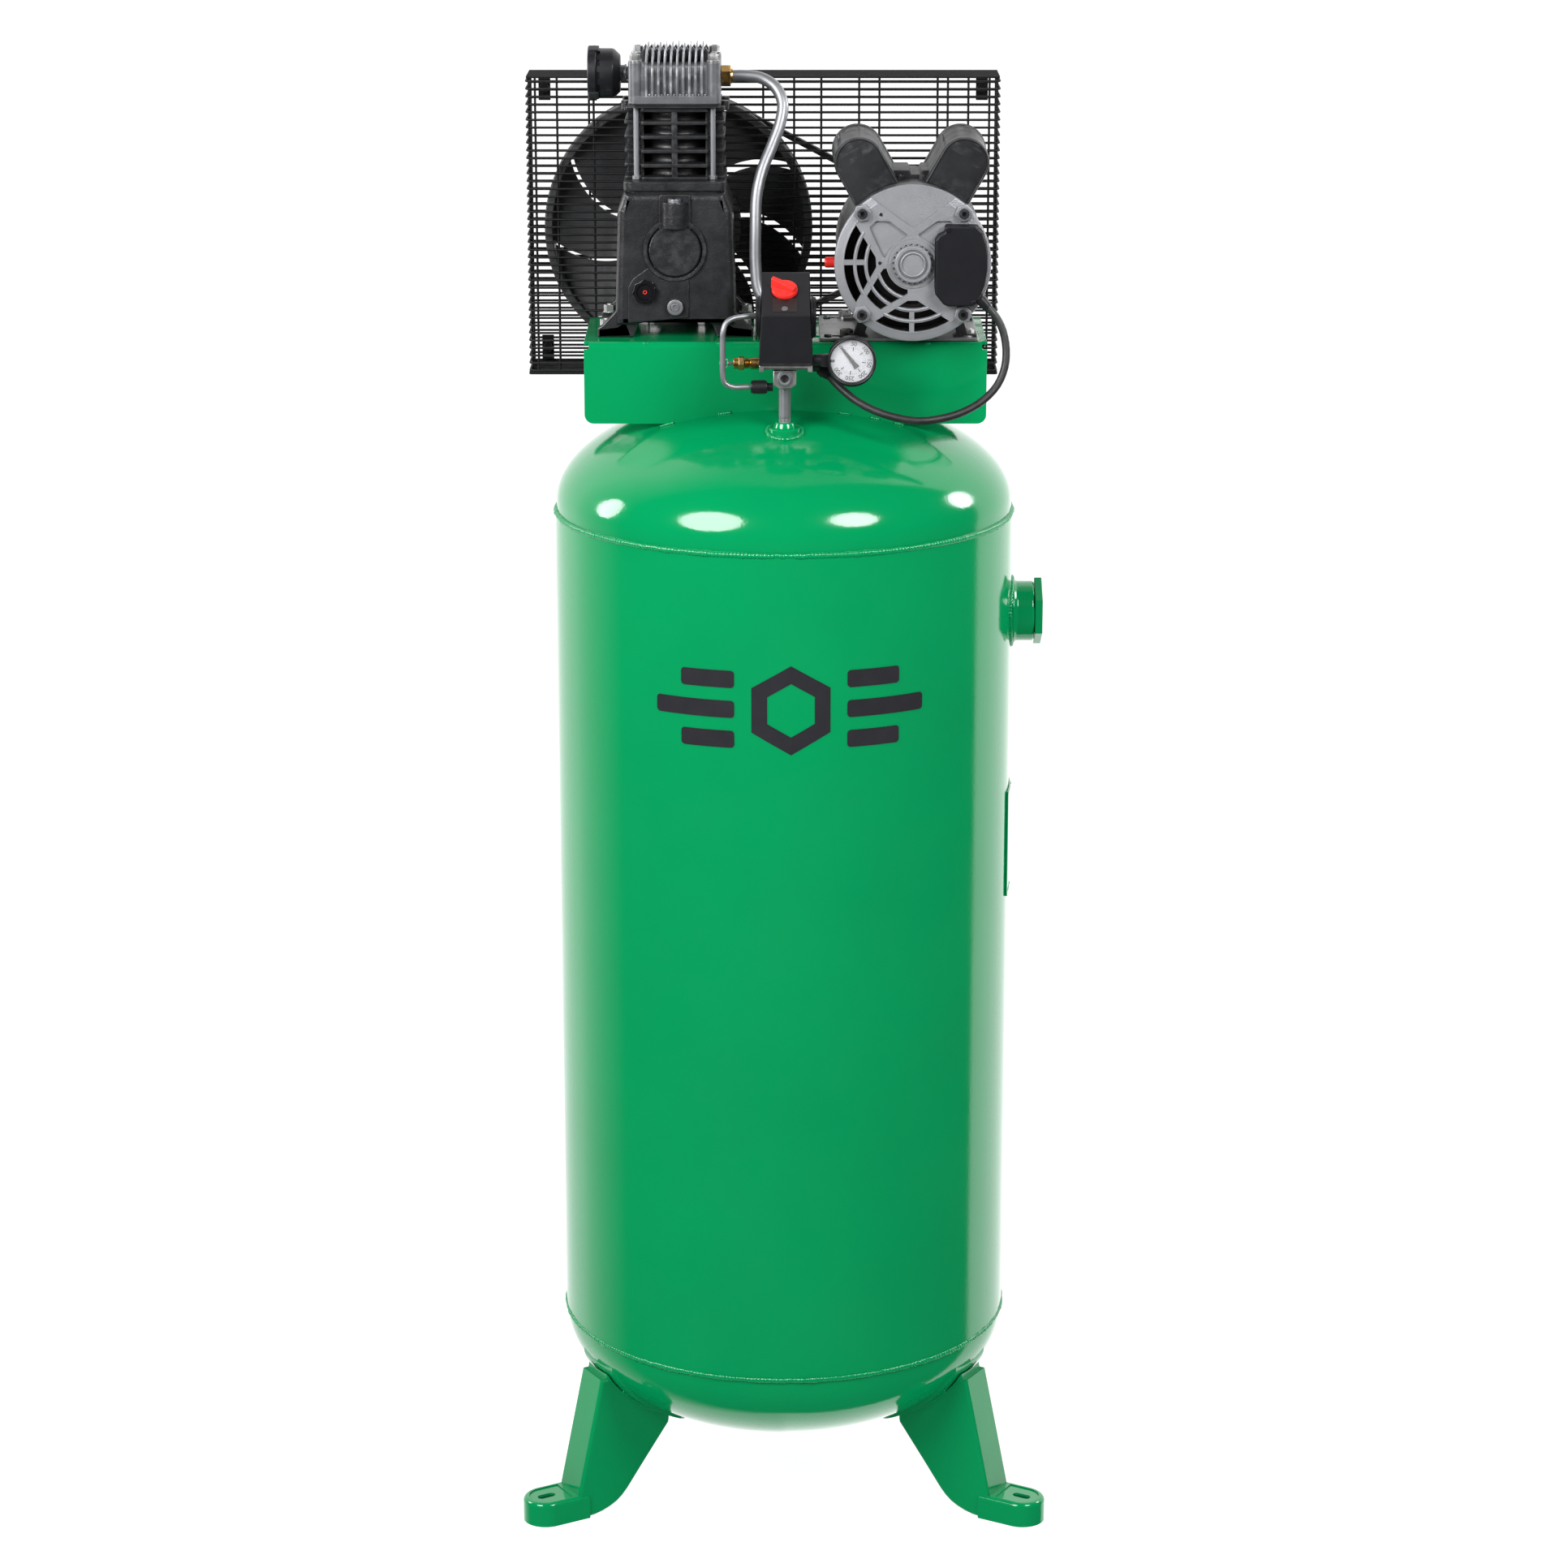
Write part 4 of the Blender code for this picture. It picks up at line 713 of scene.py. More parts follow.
def make_cable():
    """The motor's flexible lead, from its terminal cover down and round into the pressure switch."""
    route = smooth_route(CABLE, 3)
    cable = wires("cable", [route], 0.0042, RUBBER, sides=6, replaces=("motor_cable",))


def softbox(azimuth, elevation, wide, high, radiance):
    """A soft light, placed by its direction: azimuth 0 is towards the camera, positive to its right."""
    distance, aim_height = 3.2, 1.2
    across, up = math.radians(azimuth), math.radians(elevation)
    away = Vector((math.sin(across) * math.cos(up), -math.cos(across) * math.cos(up), math.sin(up)))
    data = bpy.data.lights.new("softbox", "AREA")
    data.shape = "ELLIPSE"
    data.size = 2.0 * distance * math.tan(math.radians(wide / 2.0))
    data.size_y = 2.0 * distance * math.tan(math.radians(high / 2.0))
    data.energy = radiance * math.pi * data.size * data.size_y
    light = linked("softbox", data)
    light.location = AXIS + Vector((0.0, 0.0, aim_height)) + away * distance
    light.rotation_euler = away.to_track_quat("Z", "Y").to_euler()


def make_world():
    """A dark studio in front, with pale walls behind the object on both sides."""
    world = bpy.data.worlds.new("studio")
    bpy.context.scene.world = world
    world.use_nodes = True
    tree = world.node_tree
    back = tree.nodes["Background"]
    place = add_node(tree, "TexCoord").outputs["Generated"]
    parts = add_node(tree, "SeparateXYZ", {0: place})
    toward = add_node(tree, "Math", {0: parts.outputs[1], 1: -1.0}, operation="MULTIPLY").outputs[0]
    values = {0: parts.outputs[0], 1: toward}
    around = add_node(tree, "Math", values, operation="ARCTAN2").outputs[0]
    left = ramp(tree, around, -1.57, -2.27, 0.0, 1.25)
    right = ramp(tree, around, 1.95, 2.0, 0.0, 1.5)
    walls = add_node(tree, "Math", {0: left, 1: right}, operation="MAXIMUM").outputs[0]
    fade = ramp(tree, parts.outputs[2], 0.80, 0.95, 1.0, 0.25)
    walls = add_node(tree, "Math", {0: walls, 1: fade}, operation="MULTIPLY").outputs[0]
    walls = add_node(tree, "Math", {0: walls, 1: 0.035}, operation="ADD").outputs[0]
    seen = add_node(tree, "LightPath").outputs["Is Camera Ray"]
    tree.links.new(mixed(tree, seen, walls, (1.0, 1.0, 1.0)), back.inputs["Color"])


def make_floor():
    radius, drop = 30.0, 0.002
    bm = bmesh.new()
    bmesh.ops.create_circle(bm, cap_ends=True, segments=96, radius=radius)
    bmesh.ops.translate(bm, verts=bm.verts, vec=(0.0, 0.0, cad_low.z))
    made = bmesh.ops.extrude_face_region(bm, geom=bm.faces[:])
    lower = [part for part in made["geom"] if isinstance(part, bmesh.types.BMVert)]
    bmesh.ops.translate(bm, verts=lower, vec=(0.0, 0.0, -drop))
    mesh = to_mesh(bm)
    finish = bpy.data.materials.new("floor_paint")
    finish.use_nodes = True
    tree = finish.node_tree
    shader = tree.nodes["Principled BSDF"]
    shader.inputs["Roughness"].default_value = 0.8
    shader.inputs["Specular IOR Level"].default_value = 0.1
    place = add_node(tree, "TexCoord").outputs["Object"]
    patches = ramp(tree, noise_at(tree, place, 3.0), 0.3, 0.7, 0.0, 1.0)
    tree.links.new(mixed(tree, patches, (0.29, 0.29, 0.29), (0.31, 0.31, 0.31)), shader.inputs["Base Color"])
    shader.inputs["Emission Color"].default_value = (1.0, 1.0, 1.0, 1.0)
    shader.inputs["Emission Strength"].default_value = 0.90
    mesh.materials.append(finish)
    floor = linked("floor", mesh)
    floor.visible_glossy = False


# Azimuth, elevation, width and height in degrees, then radiance.
SOFTBOXES = (
    (-99.0, 15.0, 15.0, 26.0, 11.0),
    (-39.0, 29.0, 30.0, 34.0, 13.0),
    (38.0, 33.0, 22.0, 24.0, 16.0),
    (106.0, 22.0, 15.0, 19.0, 14.0),
)

make_cable()
for measures in SOFTBOXES:
    softbox(*measures)
make_world()
make_floor()
bpy.context.scene.view_settings.view_transform = "Standard"


# Receiver


def head_z(distance, top=True):
    """Height of a head's outer surface at a distance from the axis."""
    rise = math.sqrt(max(0.0, 1.0 - (distance / HEAD_R) ** 2))
    if top:
        return SEAM_HIGH + TOP_FLANGE + TOP_DEPTH * rise
    return SEAM_LOW - LOW_FLANGE - LOW_DEPTH * rise


def head_mesh(top, clearance=0.0, solid=False, rings=40, steps=160):
    """A dished head. A solid one, grown by a clearance, trims what is welded to it."""
    side, seam, flange = (1, SEAM_HIGH, TOP_FLANGE) if top else (-1, SEAM_LOW, LOW_FLANGE)
    depth = TOP_DEPTH if top else LOW_DEPTH

    def bowl(radius, rise):
        angles = [0.5 * math.pi * index / rings for index in range(rings + 1)]
        return [(radius * math.sin(a), seam + side * (flange + rise * math.cos(a))) for a in angles]

    outer = bowl(HEAD_R + clearance, depth + clearance)
    if solid:
        return lathe(outer + [(HEAD_R + clearance, seam), (0.0, seam)], steps=steps)
    inner = bowl(HEAD_R - WALL, depth - WALL)
    profile = outer + [(HEAD_R, seam), (HEAD_R - WALL, seam)] + inner[::-1]
    return lathe(profile, steps=steps)


def circle(centre, radius, count):
    return [(centre[0] + x, centre[1] + y, centre[2]) for x, y in ring_of((0.0, 0.0), radius, count)]


def wrapped(mesh, radius, pitch=0.003):
    """Bends a flat XZ shape round the receiver's front."""
    bm = bmesh.new()
    bm.from_mesh(mesh)
    low, high = min(v.co.x for v in bm.verts), max(v.co.x for v in bm.verts)
    for index in range(1, int((high - low) / pitch)):
        geometry = bm.verts[:] + bm.edges[:] + bm.faces[:]
        bmesh.ops.bisect_plane(bm, geom=geometry, plane_co=(low + index * pitch, 0, 0), plane_no=(1, 0, 0))
    for v in bm.verts:
        angle = v.co.x / radius
        reach = radius - v.co.y
        v.co = (reach * math.sin(angle), -reach * math.cos(angle), v.co.z)
    return to_mesh(bm)


def make_receiver():
    low, high = SEAM_LOW, SEAM_HIGH
    profile = [
        (TANK_R - 0.0008, low), (TANK_R, low + 0.0008), (TANK_R, high - 0.0008), (TANK_R - 0.0008, high)
    ]
    profile += [(TANK_R - WALL, high), (TANK_R - WALL, low)]
    shell = lathe(profile, steps=224, ring=True)
    shell = cut(shell, rod((0.0, 0.0, OUTLET_Z), "X", 0.0305, 0.2, 0.3, steps=48))
    piece("shell", shell, ENAMEL, replaces=("tank_shell",))
    piece("top_head", head_mesh(True, steps=224), ENAMEL, replaces=("tank_top_head",))
    low_head = head_mesh(False, steps=224)
    piece("bottom_head", low_head, ENAMEL, replaces=("tank_bottom_head",))
    for name, seam in (("seam_weld_top", high), ("seam_weld_bottom", low)):
        route = circle((0.0, 0.0, seam), TANK_R - 0.0016, 240)
        weld = bead(route, 0.0034, closed=True, seed=seam)
        piece(name, weld, ENAMEL, angle=180.0)


def make_mark():
    """A plain mark in the place of the maker's: a hexagon between short bars."""
    low, high, left, right = 0.940, 1.025, -0.144, 0.159
    centre = ((left + right) / 2.0, (low + high) / 2.0)
    half = (high - low) / 2.0
    outlines = [hexagon(centre, 2.0 * half, 30.0), hexagon(centre, 1.2 * half, 30.0)]
    gap, bar = 0.012, 0.019
    for side, end in ((-1, left), (1, right)):
        near = centre[0] + side * (half / math.cos(math.radians(30.0)) + gap)
        for index in range(3):
            z = centre[1] + (index - 1) * (half - bar / 2.0)
            x0, x1 = sorted((near, end - side * 0.030 * abs(index - 1)))
            outlines.append(rounded_box((x0, z - bar / 2.0), (x1, z + bar / 2.0), 0.004))
    mark = wrapped(slab(outlines, "XZ", 0.0, 0.0002), TANK_R + 0.0004)
    piece("mark", mark, MARK)


OUTLET_Z = middle("side_coupling").z
make_receiver()
make_mark()


# Pump

case_low, case_high = span("crankcase")
barrel_low, barrel_high = span("cylinder")
head_low, head_high = span("cylinder_head")
PUMP_X = (barrel_low.x + barrel_high.x) / 2.0
PUMP_Y = (barrel_low.y + barrel_high.y) / 2.0
CRANK_Z = middle("flywheel").z
CASE_Y0, CASE_Y1 = -0.040, 0.090
FLANGE_LOW, FLANGE_TOP = 1.5075, case_high.z


def at_pump(points):
    return [(PUMP_X + x, z) for x, z in points]


def make_crankcase():
    """Cast case: a rounded body, gusseted feet, a top flange, a bearing cover and a fill boss."""
    floor = case_low.z
    half = [(-0.0655, 1.3600), (-0.0650, 1.3850), (-0.0635, 1.4300), (-0.0618, 1.4860), (-0.0545, 1.5060)]
    body = at_pump(half + [(-x, z) for x, z in reversed(half)])
    outline = filleted(body, [0.004, 0.0, 0.0, 0.008, 0.003, 0.003, 0.008, 0.0, 0.0, 0.004])
    case = slab([outline], "XZ", CASE_Y0, CASE_Y1, 0.0085, rounds=4)
    flange = rounded_box((PUMP_X - 0.0555, -0.0395), (PUMP_X + 0.0555, 0.0895), 0.010)
    flange = slab([flange], "XY", FLANGE_LOW, FLANGE_TOP, 0.0012)
    neck = rounded_box((PUMP_X - 0.052, -0.036), (PUMP_X + 0.052, 0.086), 0.010)
    neck = slab([neck], "XY", 1.495, FLANGE_LOW + 0.002)
    feet = [(-0.0850, floor), (-0.0850, floor + 0.0100), (-0.0800, floor + 0.0130), (-0.0600, 1.3820)]
    feet += [(-0.0400, 1.3900), (0.0400, 1.3900), (0.0600, 1.3820), (0.0800, floor + 0.0130)]
    feet += [(0.0850, floor + 0.0100), (0.0850, floor), (0.0455, floor), (0.0395, 1.3645), (-0.0395, 1.3645)]
    feet += [(-0.0455, floor)]
    sizes = [0.001, 0.004, 0.004, 0.003, 0.0, 0.0, 0.003, 0.004, 0.004, 0.001, 0.002, 0.007, 0.007, 0.002]
    gussets = [
        slab([filleted(at_pump(feet), sizes)], "XZ", y - 0.006, y + 0.006, 0.0018) for y in (-0.030, 0.080)
    ]
    steps = [
        (-0.0850, floor), (-0.0850, floor + 0.0095), (-0.0640, floor + 0.0120), (-0.0540, 1.366),
        (-0.0470, floor)
    ]
    pads = []
    for side in (-1, 1):
        step = filleted(at_pump([(-side * x, z) for x, z in steps]), 0.002)
        pads.append(slab([step], "XZ", CASE_Y0 + 0.004, CASE_Y1 - 0.004, 0.0015))
    body = fused(case, flange, neck, *gussets, *pads)
    arch = filleted(at_pump([(0.0450, 1.30), (0.0455, floor), (0.0395, 1.3645), (-0.0395, 1.3645),
                             (-0.0455, floor), (-0.0450, 1.30)]), [0.0, 0.002, 0.007, 0.007, 0.002, 0.0])
    hollow = slab([arch], "XZ", -0.2, 0.2)
    at = (PUMP_X, 0.0, CRANK_Z)
    cavity = rod(at, "Y", 0.0405, -0.031, 0.072, steps=64)
    throat = rod((PUMP_X, PUMP_Y, 0.0), "Z", 0.028, CRANK_Z, FLANGE_TOP + 0.01, steps=64)
    journal = rod(at, "Y", 0.0124, 0.050, 0.120)
    body = cut(body, hollow, cavity, throat, journal)
    front = CASE_Y0
    profile = [
        (0.0345, front + 0.004), (0.0345, front - 0.0022), (0.0338, front - 0.0032), (0.0305, front - 0.0032)
    ]
    profile += [(0.0292, front - 0.0022), (0.0286, front - 0.0005), (0.0280, front - 0.0005)]
    profile += [(0.0278, front - 0.0068), (0.0268, front - 0.0078), (0.0, front - 0.0082)]
    cover = lathe([*profile, (0.0, front + 0.004)], at, "Y", 96)
    pad = filleted(at_pump([(-0.0172, 1.463), (-0.0172, 1.5045), (0.0176, 1.5045), (0.0176, 1.463)]), 0.0045)
    pad = slab([pad], "XZ", front - 0.0030, front + 0.002, 0.0012)
    spout = rod((PUMP_X, front - 0.0015, 0.0), "Z", 0.0142, 1.4680, 1.4965, 0.0010, 48)
    spout = cut(spout, rod((PUMP_X, front - 0.0035, 0.0), "Z", 0.0078, 1.4950, 1.51))
    rib = [
        (-0.0515, 1.3640), (-0.0510, 1.4035), (-0.0455, 1.4130), (-0.0265, 1.4265), (0.0149, 1.4265),
        (0.0149, 1.3700)
    ]
    panel = slab(
        [filleted(at_pump(rib), [0.002, 0.006, 0.006, 0.0, 0.0, 0.002])], "XZ", front - 0.0018,
        front + 0.002, 0.0010
    )
    bearing = lathe(
        [(0.0, 0.08), (0.036, 0.08), (0.036, 0.1020), (0.034, 0.105), (0.0128, 0.105), (0.0128, 0.08)], at,
        "Y"
    )
    bolts = []
    for angle in BOLT_ANGLES:
        x, z = polar((PUMP_X, CRANK_Z), 0.043, angle)
        bolts.append(moved(hex_head(0.010, 0.006), facing(x, CASE_Y1 + 0.0002, z, "Y", 1)))
    nuts = []
    for side in (-1, 1):
        for y in (-0.026, 0.074):
            nut = hex_head(0.0125, 0.0085, washer=0.0080, dome=0.0036)
            nuts.append(moved(nut, Matrix.Translation((PUMP_X + side * 0.0755, y, floor + 0.0100))))
    cast = joined(body, cover, pad, spout, panel, bearing)
    piece("crankcase_casting", cast, CAST, replaces=("crankcase",))
    piece("crankcase_bolts", joined(*bolts, *nuts), ZINC)


def make_ports():
    """Sight glass, drain plug and fill plug."""
    x, z = middle("oil_sight_glass").x, middle("oil_sight_glass").z
    front = CASE_Y0 - 0.0018
    teeth = []
    for index in range(32):
        size = 0.0136 if index % 4 < 2 else 0.0124
        teeth.append(polar((0.0, 0.0), size, index * 11.25))
    ring = slab([teeth, ring_of((0.0, 0.0), 0.0092)], "XY", 0.0, 0.0048, 0.0008)
    lip = lathe([(0.0092, 0.0), (0.0112, 0.0046), (0.0112, 0.0062), (0.0092, 0.0062)], steps=48, ring=True)
    place = facing(x, front, z)
    ring = moved(joined(ring, lip), place)
    piece("sight_glass_ring", ring, GLOSS_BLACK, replaces=("oil_sight_glass",))
    glass = lathe([(0.0, 0.0), (0.0092, 0.0), (0.0092, 0.0042), (0.006, 0.0048), (0.0, 0.0050)], steps=48)
    piece("sight_glass_window", moved(glass, place), GLOSS_BLACK)
    dot = lathe([(0.0014, 0.0), (0.0022, 0.0), (0.0022, 0.0053), (0.0014, 0.0053)], steps=32, ring=True)
    piece("sight_glass_dot", moved(dot, place), RED)
    x, z = middle("oil_drain_plug").x, middle("oil_drain_plug").z
    head = cut(
        rod((0, 0, 0), "Z", 0.0087, 0.0, 0.0050, 0.0010, 48), rod((0, 0, 0), "Z", 0.0052, 0.0036, 0.01)
    )
    inner = cut(
        rod((0, 0, 0), "Z", 0.0046, 0.0, 0.0046, 0.0004), slab([hexagon((0, 0), 0.005)], "XY", 0.002, 0.01)
    )
    plug = moved(joined(head, inner), facing(x, front, z))
    piece("drain_plug", plug, STEEL, replaces=("oil_drain_plug",))
    plug = moved(socket_head(0.0072, 0.0055, 0.0055), Matrix.Translation((PUMP_X, CASE_Y0 - 0.0035, 1.4945)))
    piece("fill_plug", plug, STEEL, replaces=("oil_fill_plug",))


def make_barrel():
    """Finned cylinder with a rib down each face, studs in its corner notches and the valve plate."""
    low, high = barrel_low.z, barrel_high.z
    plan = [(0.0365, -0.0495), (0.0365, -0.0385), (0.0545, -0.0385)]
    plan += [(0.0545, 0.0385), (0.0365, 0.0385), (0.0365, 0.0495)]
    plan = plan + [(-x, y) for x, y in reversed(plan)]
    plan = filleted([(PUMP_X + x, PUMP_Y + y) for x, y in plan], 0.0035)
    bore = ring_of((PUMP_X, PUMP_Y), 0.0256, 48)
    parts = []
    for z in (1.5330, 1.5485, 1.5637, 1.5790):
        parts.append(slab([plan, bore], "XY", z - 0.0020, z + 0.0020, 0.0009))
    parts.append(slab([plan, bore], "XY", low, low + 0.0030, 0.0006))
    parts.append(slab([plan, bore], "XY", high - 0.0048, high, 0.0012))
    profile = [(0.0256, low), (0.0350, low)]
    for index in range(11):
        z = low + (high - low) * (index + 0.5) / 11
        profile += [(0.0350, z - 0.0022), (0.0362, z), (0.0350, z + 0.0022)]
    profile += [(0.0350, high), (0.0256, high)]
    parts.append(lathe(profile, (PUMP_X, PUMP_Y, 0.0), "Z", 72, ring=True))
    for y in (-0.0400, 0.0400):
        at = (PUMP_X, PUMP_Y + y)
        outer = 0.0092 * (1 if y > 0 else -1)
        y0, y1 = sorted((at[1], at[1] + outer))
        parts.append(block((at[0] - 0.0033, y0, low), (at[0] + 0.0033, y1, high), 0.0012))
    for side in (-1, 1):
        for x0, x1 in ((0.0335, 0.0365), (0.0365, 0.0520)):
            y = 0.0385 if x1 < 0.04 else 0.0030
            x = sorted((PUMP_X + side * x0, PUMP_X + side * x1))
            parts.append(block((x[0], PUMP_Y - y, low), (x[1], PUMP_Y + y, high), 0.0008))
    piece("barrel", joined(*parts), CAST, replaces=("cylinder",))
    studs = []
    for side in (-1, 1):
        for y in (-0.0440, 0.0440):
            x = PUMP_X + side * 0.0413
            studs.append(rod((x, PUMP_Y + y, 0.0), "Z", 0.0031, low, high, 0.0, 20))
            nut = slab([hexagon((x, PUMP_Y + y), 0.0082)], "XY", low, low + 0.0042, 0.0004)
            studs.append(nut)
    piece("barrel_studs", joined(*studs), STEEL)
    low, high = span("valve_plate")[0].z, span("valve_plate")[1].z
    layers = []
    for grow, z0, z1 in (
        (0.0, low, low + 0.0016), (-0.0012, low + 0.0016, high - 0.0010), (0.0004, high - 0.0010, high)
    ):
        a, b = 0.0500 + grow, 0.0545 + grow
        outline = rounded_box((PUMP_X - a, PUMP_Y - b), (PUMP_X + a, PUMP_Y + b), 0.008)
        layers.append(slab([outline], "XY", z0, z1, 0.0002))
    for side in (-1, 1):
        for y in (-0.012, 0.030):
            layers.append(
                rod((PUMP_X + side * 0.0535, PUMP_Y + y, 0.0), "Z", 0.0052, low - 0.006, high, 0.0008)
            )
    piece("valve_plates", joined(*layers), CAST, replaces=("valve_plate",))


def make_head():
    """Cast head: a smooth base band, corner columns under bolts, and ten fins topped with pins."""
    low, high, tip = head_low.z, 1.6455, head_high.z
    band = low + 0.0092
    spikes, pitch = 9, 0.00666
    y0, y1 = PUMP_Y - 0.055, PUMP_Y + 0.055
    base = slab([rounded_box((PUMP_X - 0.0495, y0), (PUMP_X + 0.0495, y1), 0.0075)], "XY", low, band, 0.0010)
    parts = [
        base,
        block((PUMP_X - 0.0470, y0 + 0.0042, band - 0.002), (PUMP_X + 0.0470, y1 - 0.006, 1.6400), 0.001)
    ]
    # Black cast teeth set behind and between the fins: painted shade, dark pieces standing for the shadowed
    # gaps between the fin rows.
    painted_shade_teeth = []
    for index in range(11):
        x = PUMP_X + (index - 5) * pitch
        for y in (PUMP_Y + 0.002, y1 - 0.016):
            tooth = [
                (x - 0.0031, 1.6380), (x + 0.0031, 1.6380), (x + 0.0026, 1.6505), (x, 1.6545),
                (x - 0.0026, 1.6505)
            ]
            painted_shade_teeth.append(slab([tooth], "XZ", y, y + 0.012, 0.0005, rounds=1))
    for index in range(10):
        x = PUMP_X + (index - 4.5) * pitch
        top = high - (0.0015 if index % 3 else 0.0)
        outline = [(y1, band - 0.002), (y1, top - 0.010)]
        step = (y1 - y0 - 0.008) / spikes
        for k in range(spikes):
            y = y1 - 0.004 - step * k
            lift = 0.0022 * math.sin(2.4 * k + 1.7 * index)
            outline += [
                (y, top - 0.003), (y - 0.30 * step, top + 0.001), (y - 0.46 * step, tip - 0.0022 + lift)
            ]
            outline += [(y - 0.60 * step, tip - 0.0022 + lift), (y - 0.80 * step, top + 0.001)]
        outline += [(y0 + 0.004, top - 0.003), (y0, top - 0.010), (y0, band - 0.002)]
        fin = slab([outline], "YZ", x - 0.0012, x + 0.0012, 0.0005, rounds=1)
        for v in fin.vertices:
            if v.co.z > top:
                v.co.x = x + (v.co.x - x) * (1.0 - 0.75 * min(1.0, (v.co.z - top) / (tip - top)))
            v.co.z = min(v.co.z, tip)
        parts.append(fin)
        groove = rod(
            (x + 0.5 * pitch, y0 + 0.0035, 0.0), "Z", 0.0021, band - 0.001, band + 0.0015, 0.0005, 16
        )
        parts.append(groove)
    bolts = []
    for side in (-1, 1):
        for y in (-0.0475, 0.0475):
            x = PUMP_X + side * 0.0422
            parts.append(rod((x, PUMP_Y + y, 0.0), "Z", 0.0074, low + 0.001, 1.6450, 0.0012, 40))
            parts.append(
                rod((x + side * 0.0035, PUMP_Y + y * 0.93, 0.0), "Z", 0.0036, low + 0.001, 1.6440, 0.0010)
            )
            bolt = hex_head(0.0100, 0.0075, washer=0.0068, dome=0.0040)
            bolts.append(moved(bolt, Matrix.Translation((x, PUMP_Y + y, 1.6450))))
        for index in range(7):
            y = PUMP_Y + (index - 3) * 0.0095
            x0, x1 = sorted((PUMP_X + side * 0.0460, PUMP_X + side * 0.0495))
            parts.append(block((x0, y - 0.0014, band - 0.001), (x1, y + 0.0014, 1.6430), 0.0006))
    port = middle("discharge_nut")
    for side in (-1, 1):
        x0, x1 = sorted((PUMP_X + side * 0.0440, PUMP_X + side * 0.0495))
        parts.append(rod((0.0, port.y, port.z), "X", 0.0135, x0, x1, 0.0008, 48))
    piece("head_casting", joined(*parts), HEAD_ALLOY, replaces=("cylinder_head",))
    # The black teeth between the fins are painted shade.
    piece("head_painted_shade", joined(*painted_shade_teeth), CAST)
    piece("head_bolts", joined(*bolts), ZINC)


def make_filter():
    """Intake filter: a black bowl with a flanged lid and slots, on a plated nipple."""
    low, high = span("air_filter_cover")
    centre = (0.0, (low.y + high.y) / 2.0, (low.z + high.z) / 2.0)
    joint = span("air_filter_base")[1].x
    left = low.x
    profile = [
        (0.0, left), (0.0285, left), (0.0296, left + 0.001), (0.0298, left + 0.0085), (0.0288, left + 0.0095)
    ]
    profile += [
        (0.0268, left + 0.0098), (0.0268, left + 0.0260), (0.0262, left + 0.0285), (0.0200, left + 0.0350)
    ]
    bowl = lathe([*profile, (0.0, left + 0.0356)], centre, "X", 96)
    slots = []
    for index in range(12):
        turn = turned(centre, 30.0 * index, "X")
        slots.append(moved(block((left + 0.0105, -0.0035, 0.0250), (left + 0.0135, 0.0035, 0.031)), turn))
    bowl = cut(bowl, joined(*slots))
    lugs = []
    for index in range(3):
        turn = turned(centre, 20.0 + 120.0 * index, "X")
        lugs.append(
            moved(block((left + 0.001, -0.006, 0.0275), (left + 0.0125, 0.006, 0.0303), 0.001), turn)
        )
    piece("filter_bowl", joined(bowl, *lugs), PLASTIC, replaces=("air_filter_cover",))
    profile = [(0.0, left + 0.033), (0.0085, left + 0.033), (0.0090, left + 0.0405), (0.0, left + 0.0405)]
    hexes = slab(
        [hexagon((centre[1], centre[2]), 0.0170, 30.0)], "YZ", left + 0.0400, joint - 0.0035, 0.0005
    )
    threads = [(0.0, joint - 0.005), (0.0078, joint - 0.0045)]
    for index in range(3):
        threads += [(0.0078, joint - 0.0036 + 0.0012 * index), (0.0070, joint - 0.0030 + 0.0012 * index)]
    nipple = joined(lathe(profile, centre, "X", 48), hexes, lathe([*threads, (0.0, joint)], centre, "X", 32))
    piece("filter_nipple", nipple, STEEL, replaces=("air_filter_base",))


def make_discharge():
    low, high = span("discharge_nut")
    y, z = (low.y + high.y) / 2.0, (low.z + high.z) / 2.0
    nut = slab([hexagon((y, z), 0.0198, 30.0)], "YZ", low.x, high.x, 0.0009)
    collar = lathe([(0.0, high.x - 0.001), (0.0086, high.x - 0.001), (0.0078, high.x + 0.0022),
        (0.0, high.x + 0.0022)],
                   (0.0, y, z), "X", 40)
    piece("compression_nut", joined(nut, collar), BRASS, replaces=("discharge_nut",))
    route = [
        (-0.0577, 0.0300, 1.6241),
        (-0.0430, 0.0300, 1.6243),
        (-0.0240, 0.0290, 1.6215),
        (-0.0090, 0.0240, 1.6120),
        (-0.0015, 0.0160, 1.5960),
        (-0.0040, 0.0080, 1.5760),
        (-0.0130, 0.0000, 1.5520),
        (-0.0235, -0.0100, 1.5270),
        (-0.0298, -0.0190, 1.5000),
        (-0.0310, -0.0260, 1.4650),
        (-0.0310, -0.0300, 1.4250),
        (-0.0275, -0.0335, 1.3980),
        (-0.0180, -0.0370, 1.3840),
        (-0.0130, -0.0380, 1.3750),
    ]
    wires("discharge_pipe", [smooth_route(route, 6)], 0.0064, STEEL, sides=5,
          replaces=("discharge_tube",))


GLOSS_BLACK = surface("sight_glass", (0.006, 0.006, 0.007), 0.08, tone=0.2, patch=60.0, spread=0.02)
make_crankcase()
make_ports()
make_barrel()
make_head()
make_filter()
make_discharge()


# Motor

shell_box = span("motor_shell")
MOTOR_X, MOTOR_Z = middle("motor_shell").x, middle("motor_shell").z
MOTOR = (MOTOR_X, MOTOR_Z)
MOTOR_R = (shell_box[1].z - shell_box[0].z) / 2.0
BELL_Y0 = span("motor_front_endbell")[0].y + 0.004


def at_motor(points):
    return [(MOTOR_X + 0.001 * x, MOTOR_Z + 0.001 * z) for x, z in points]


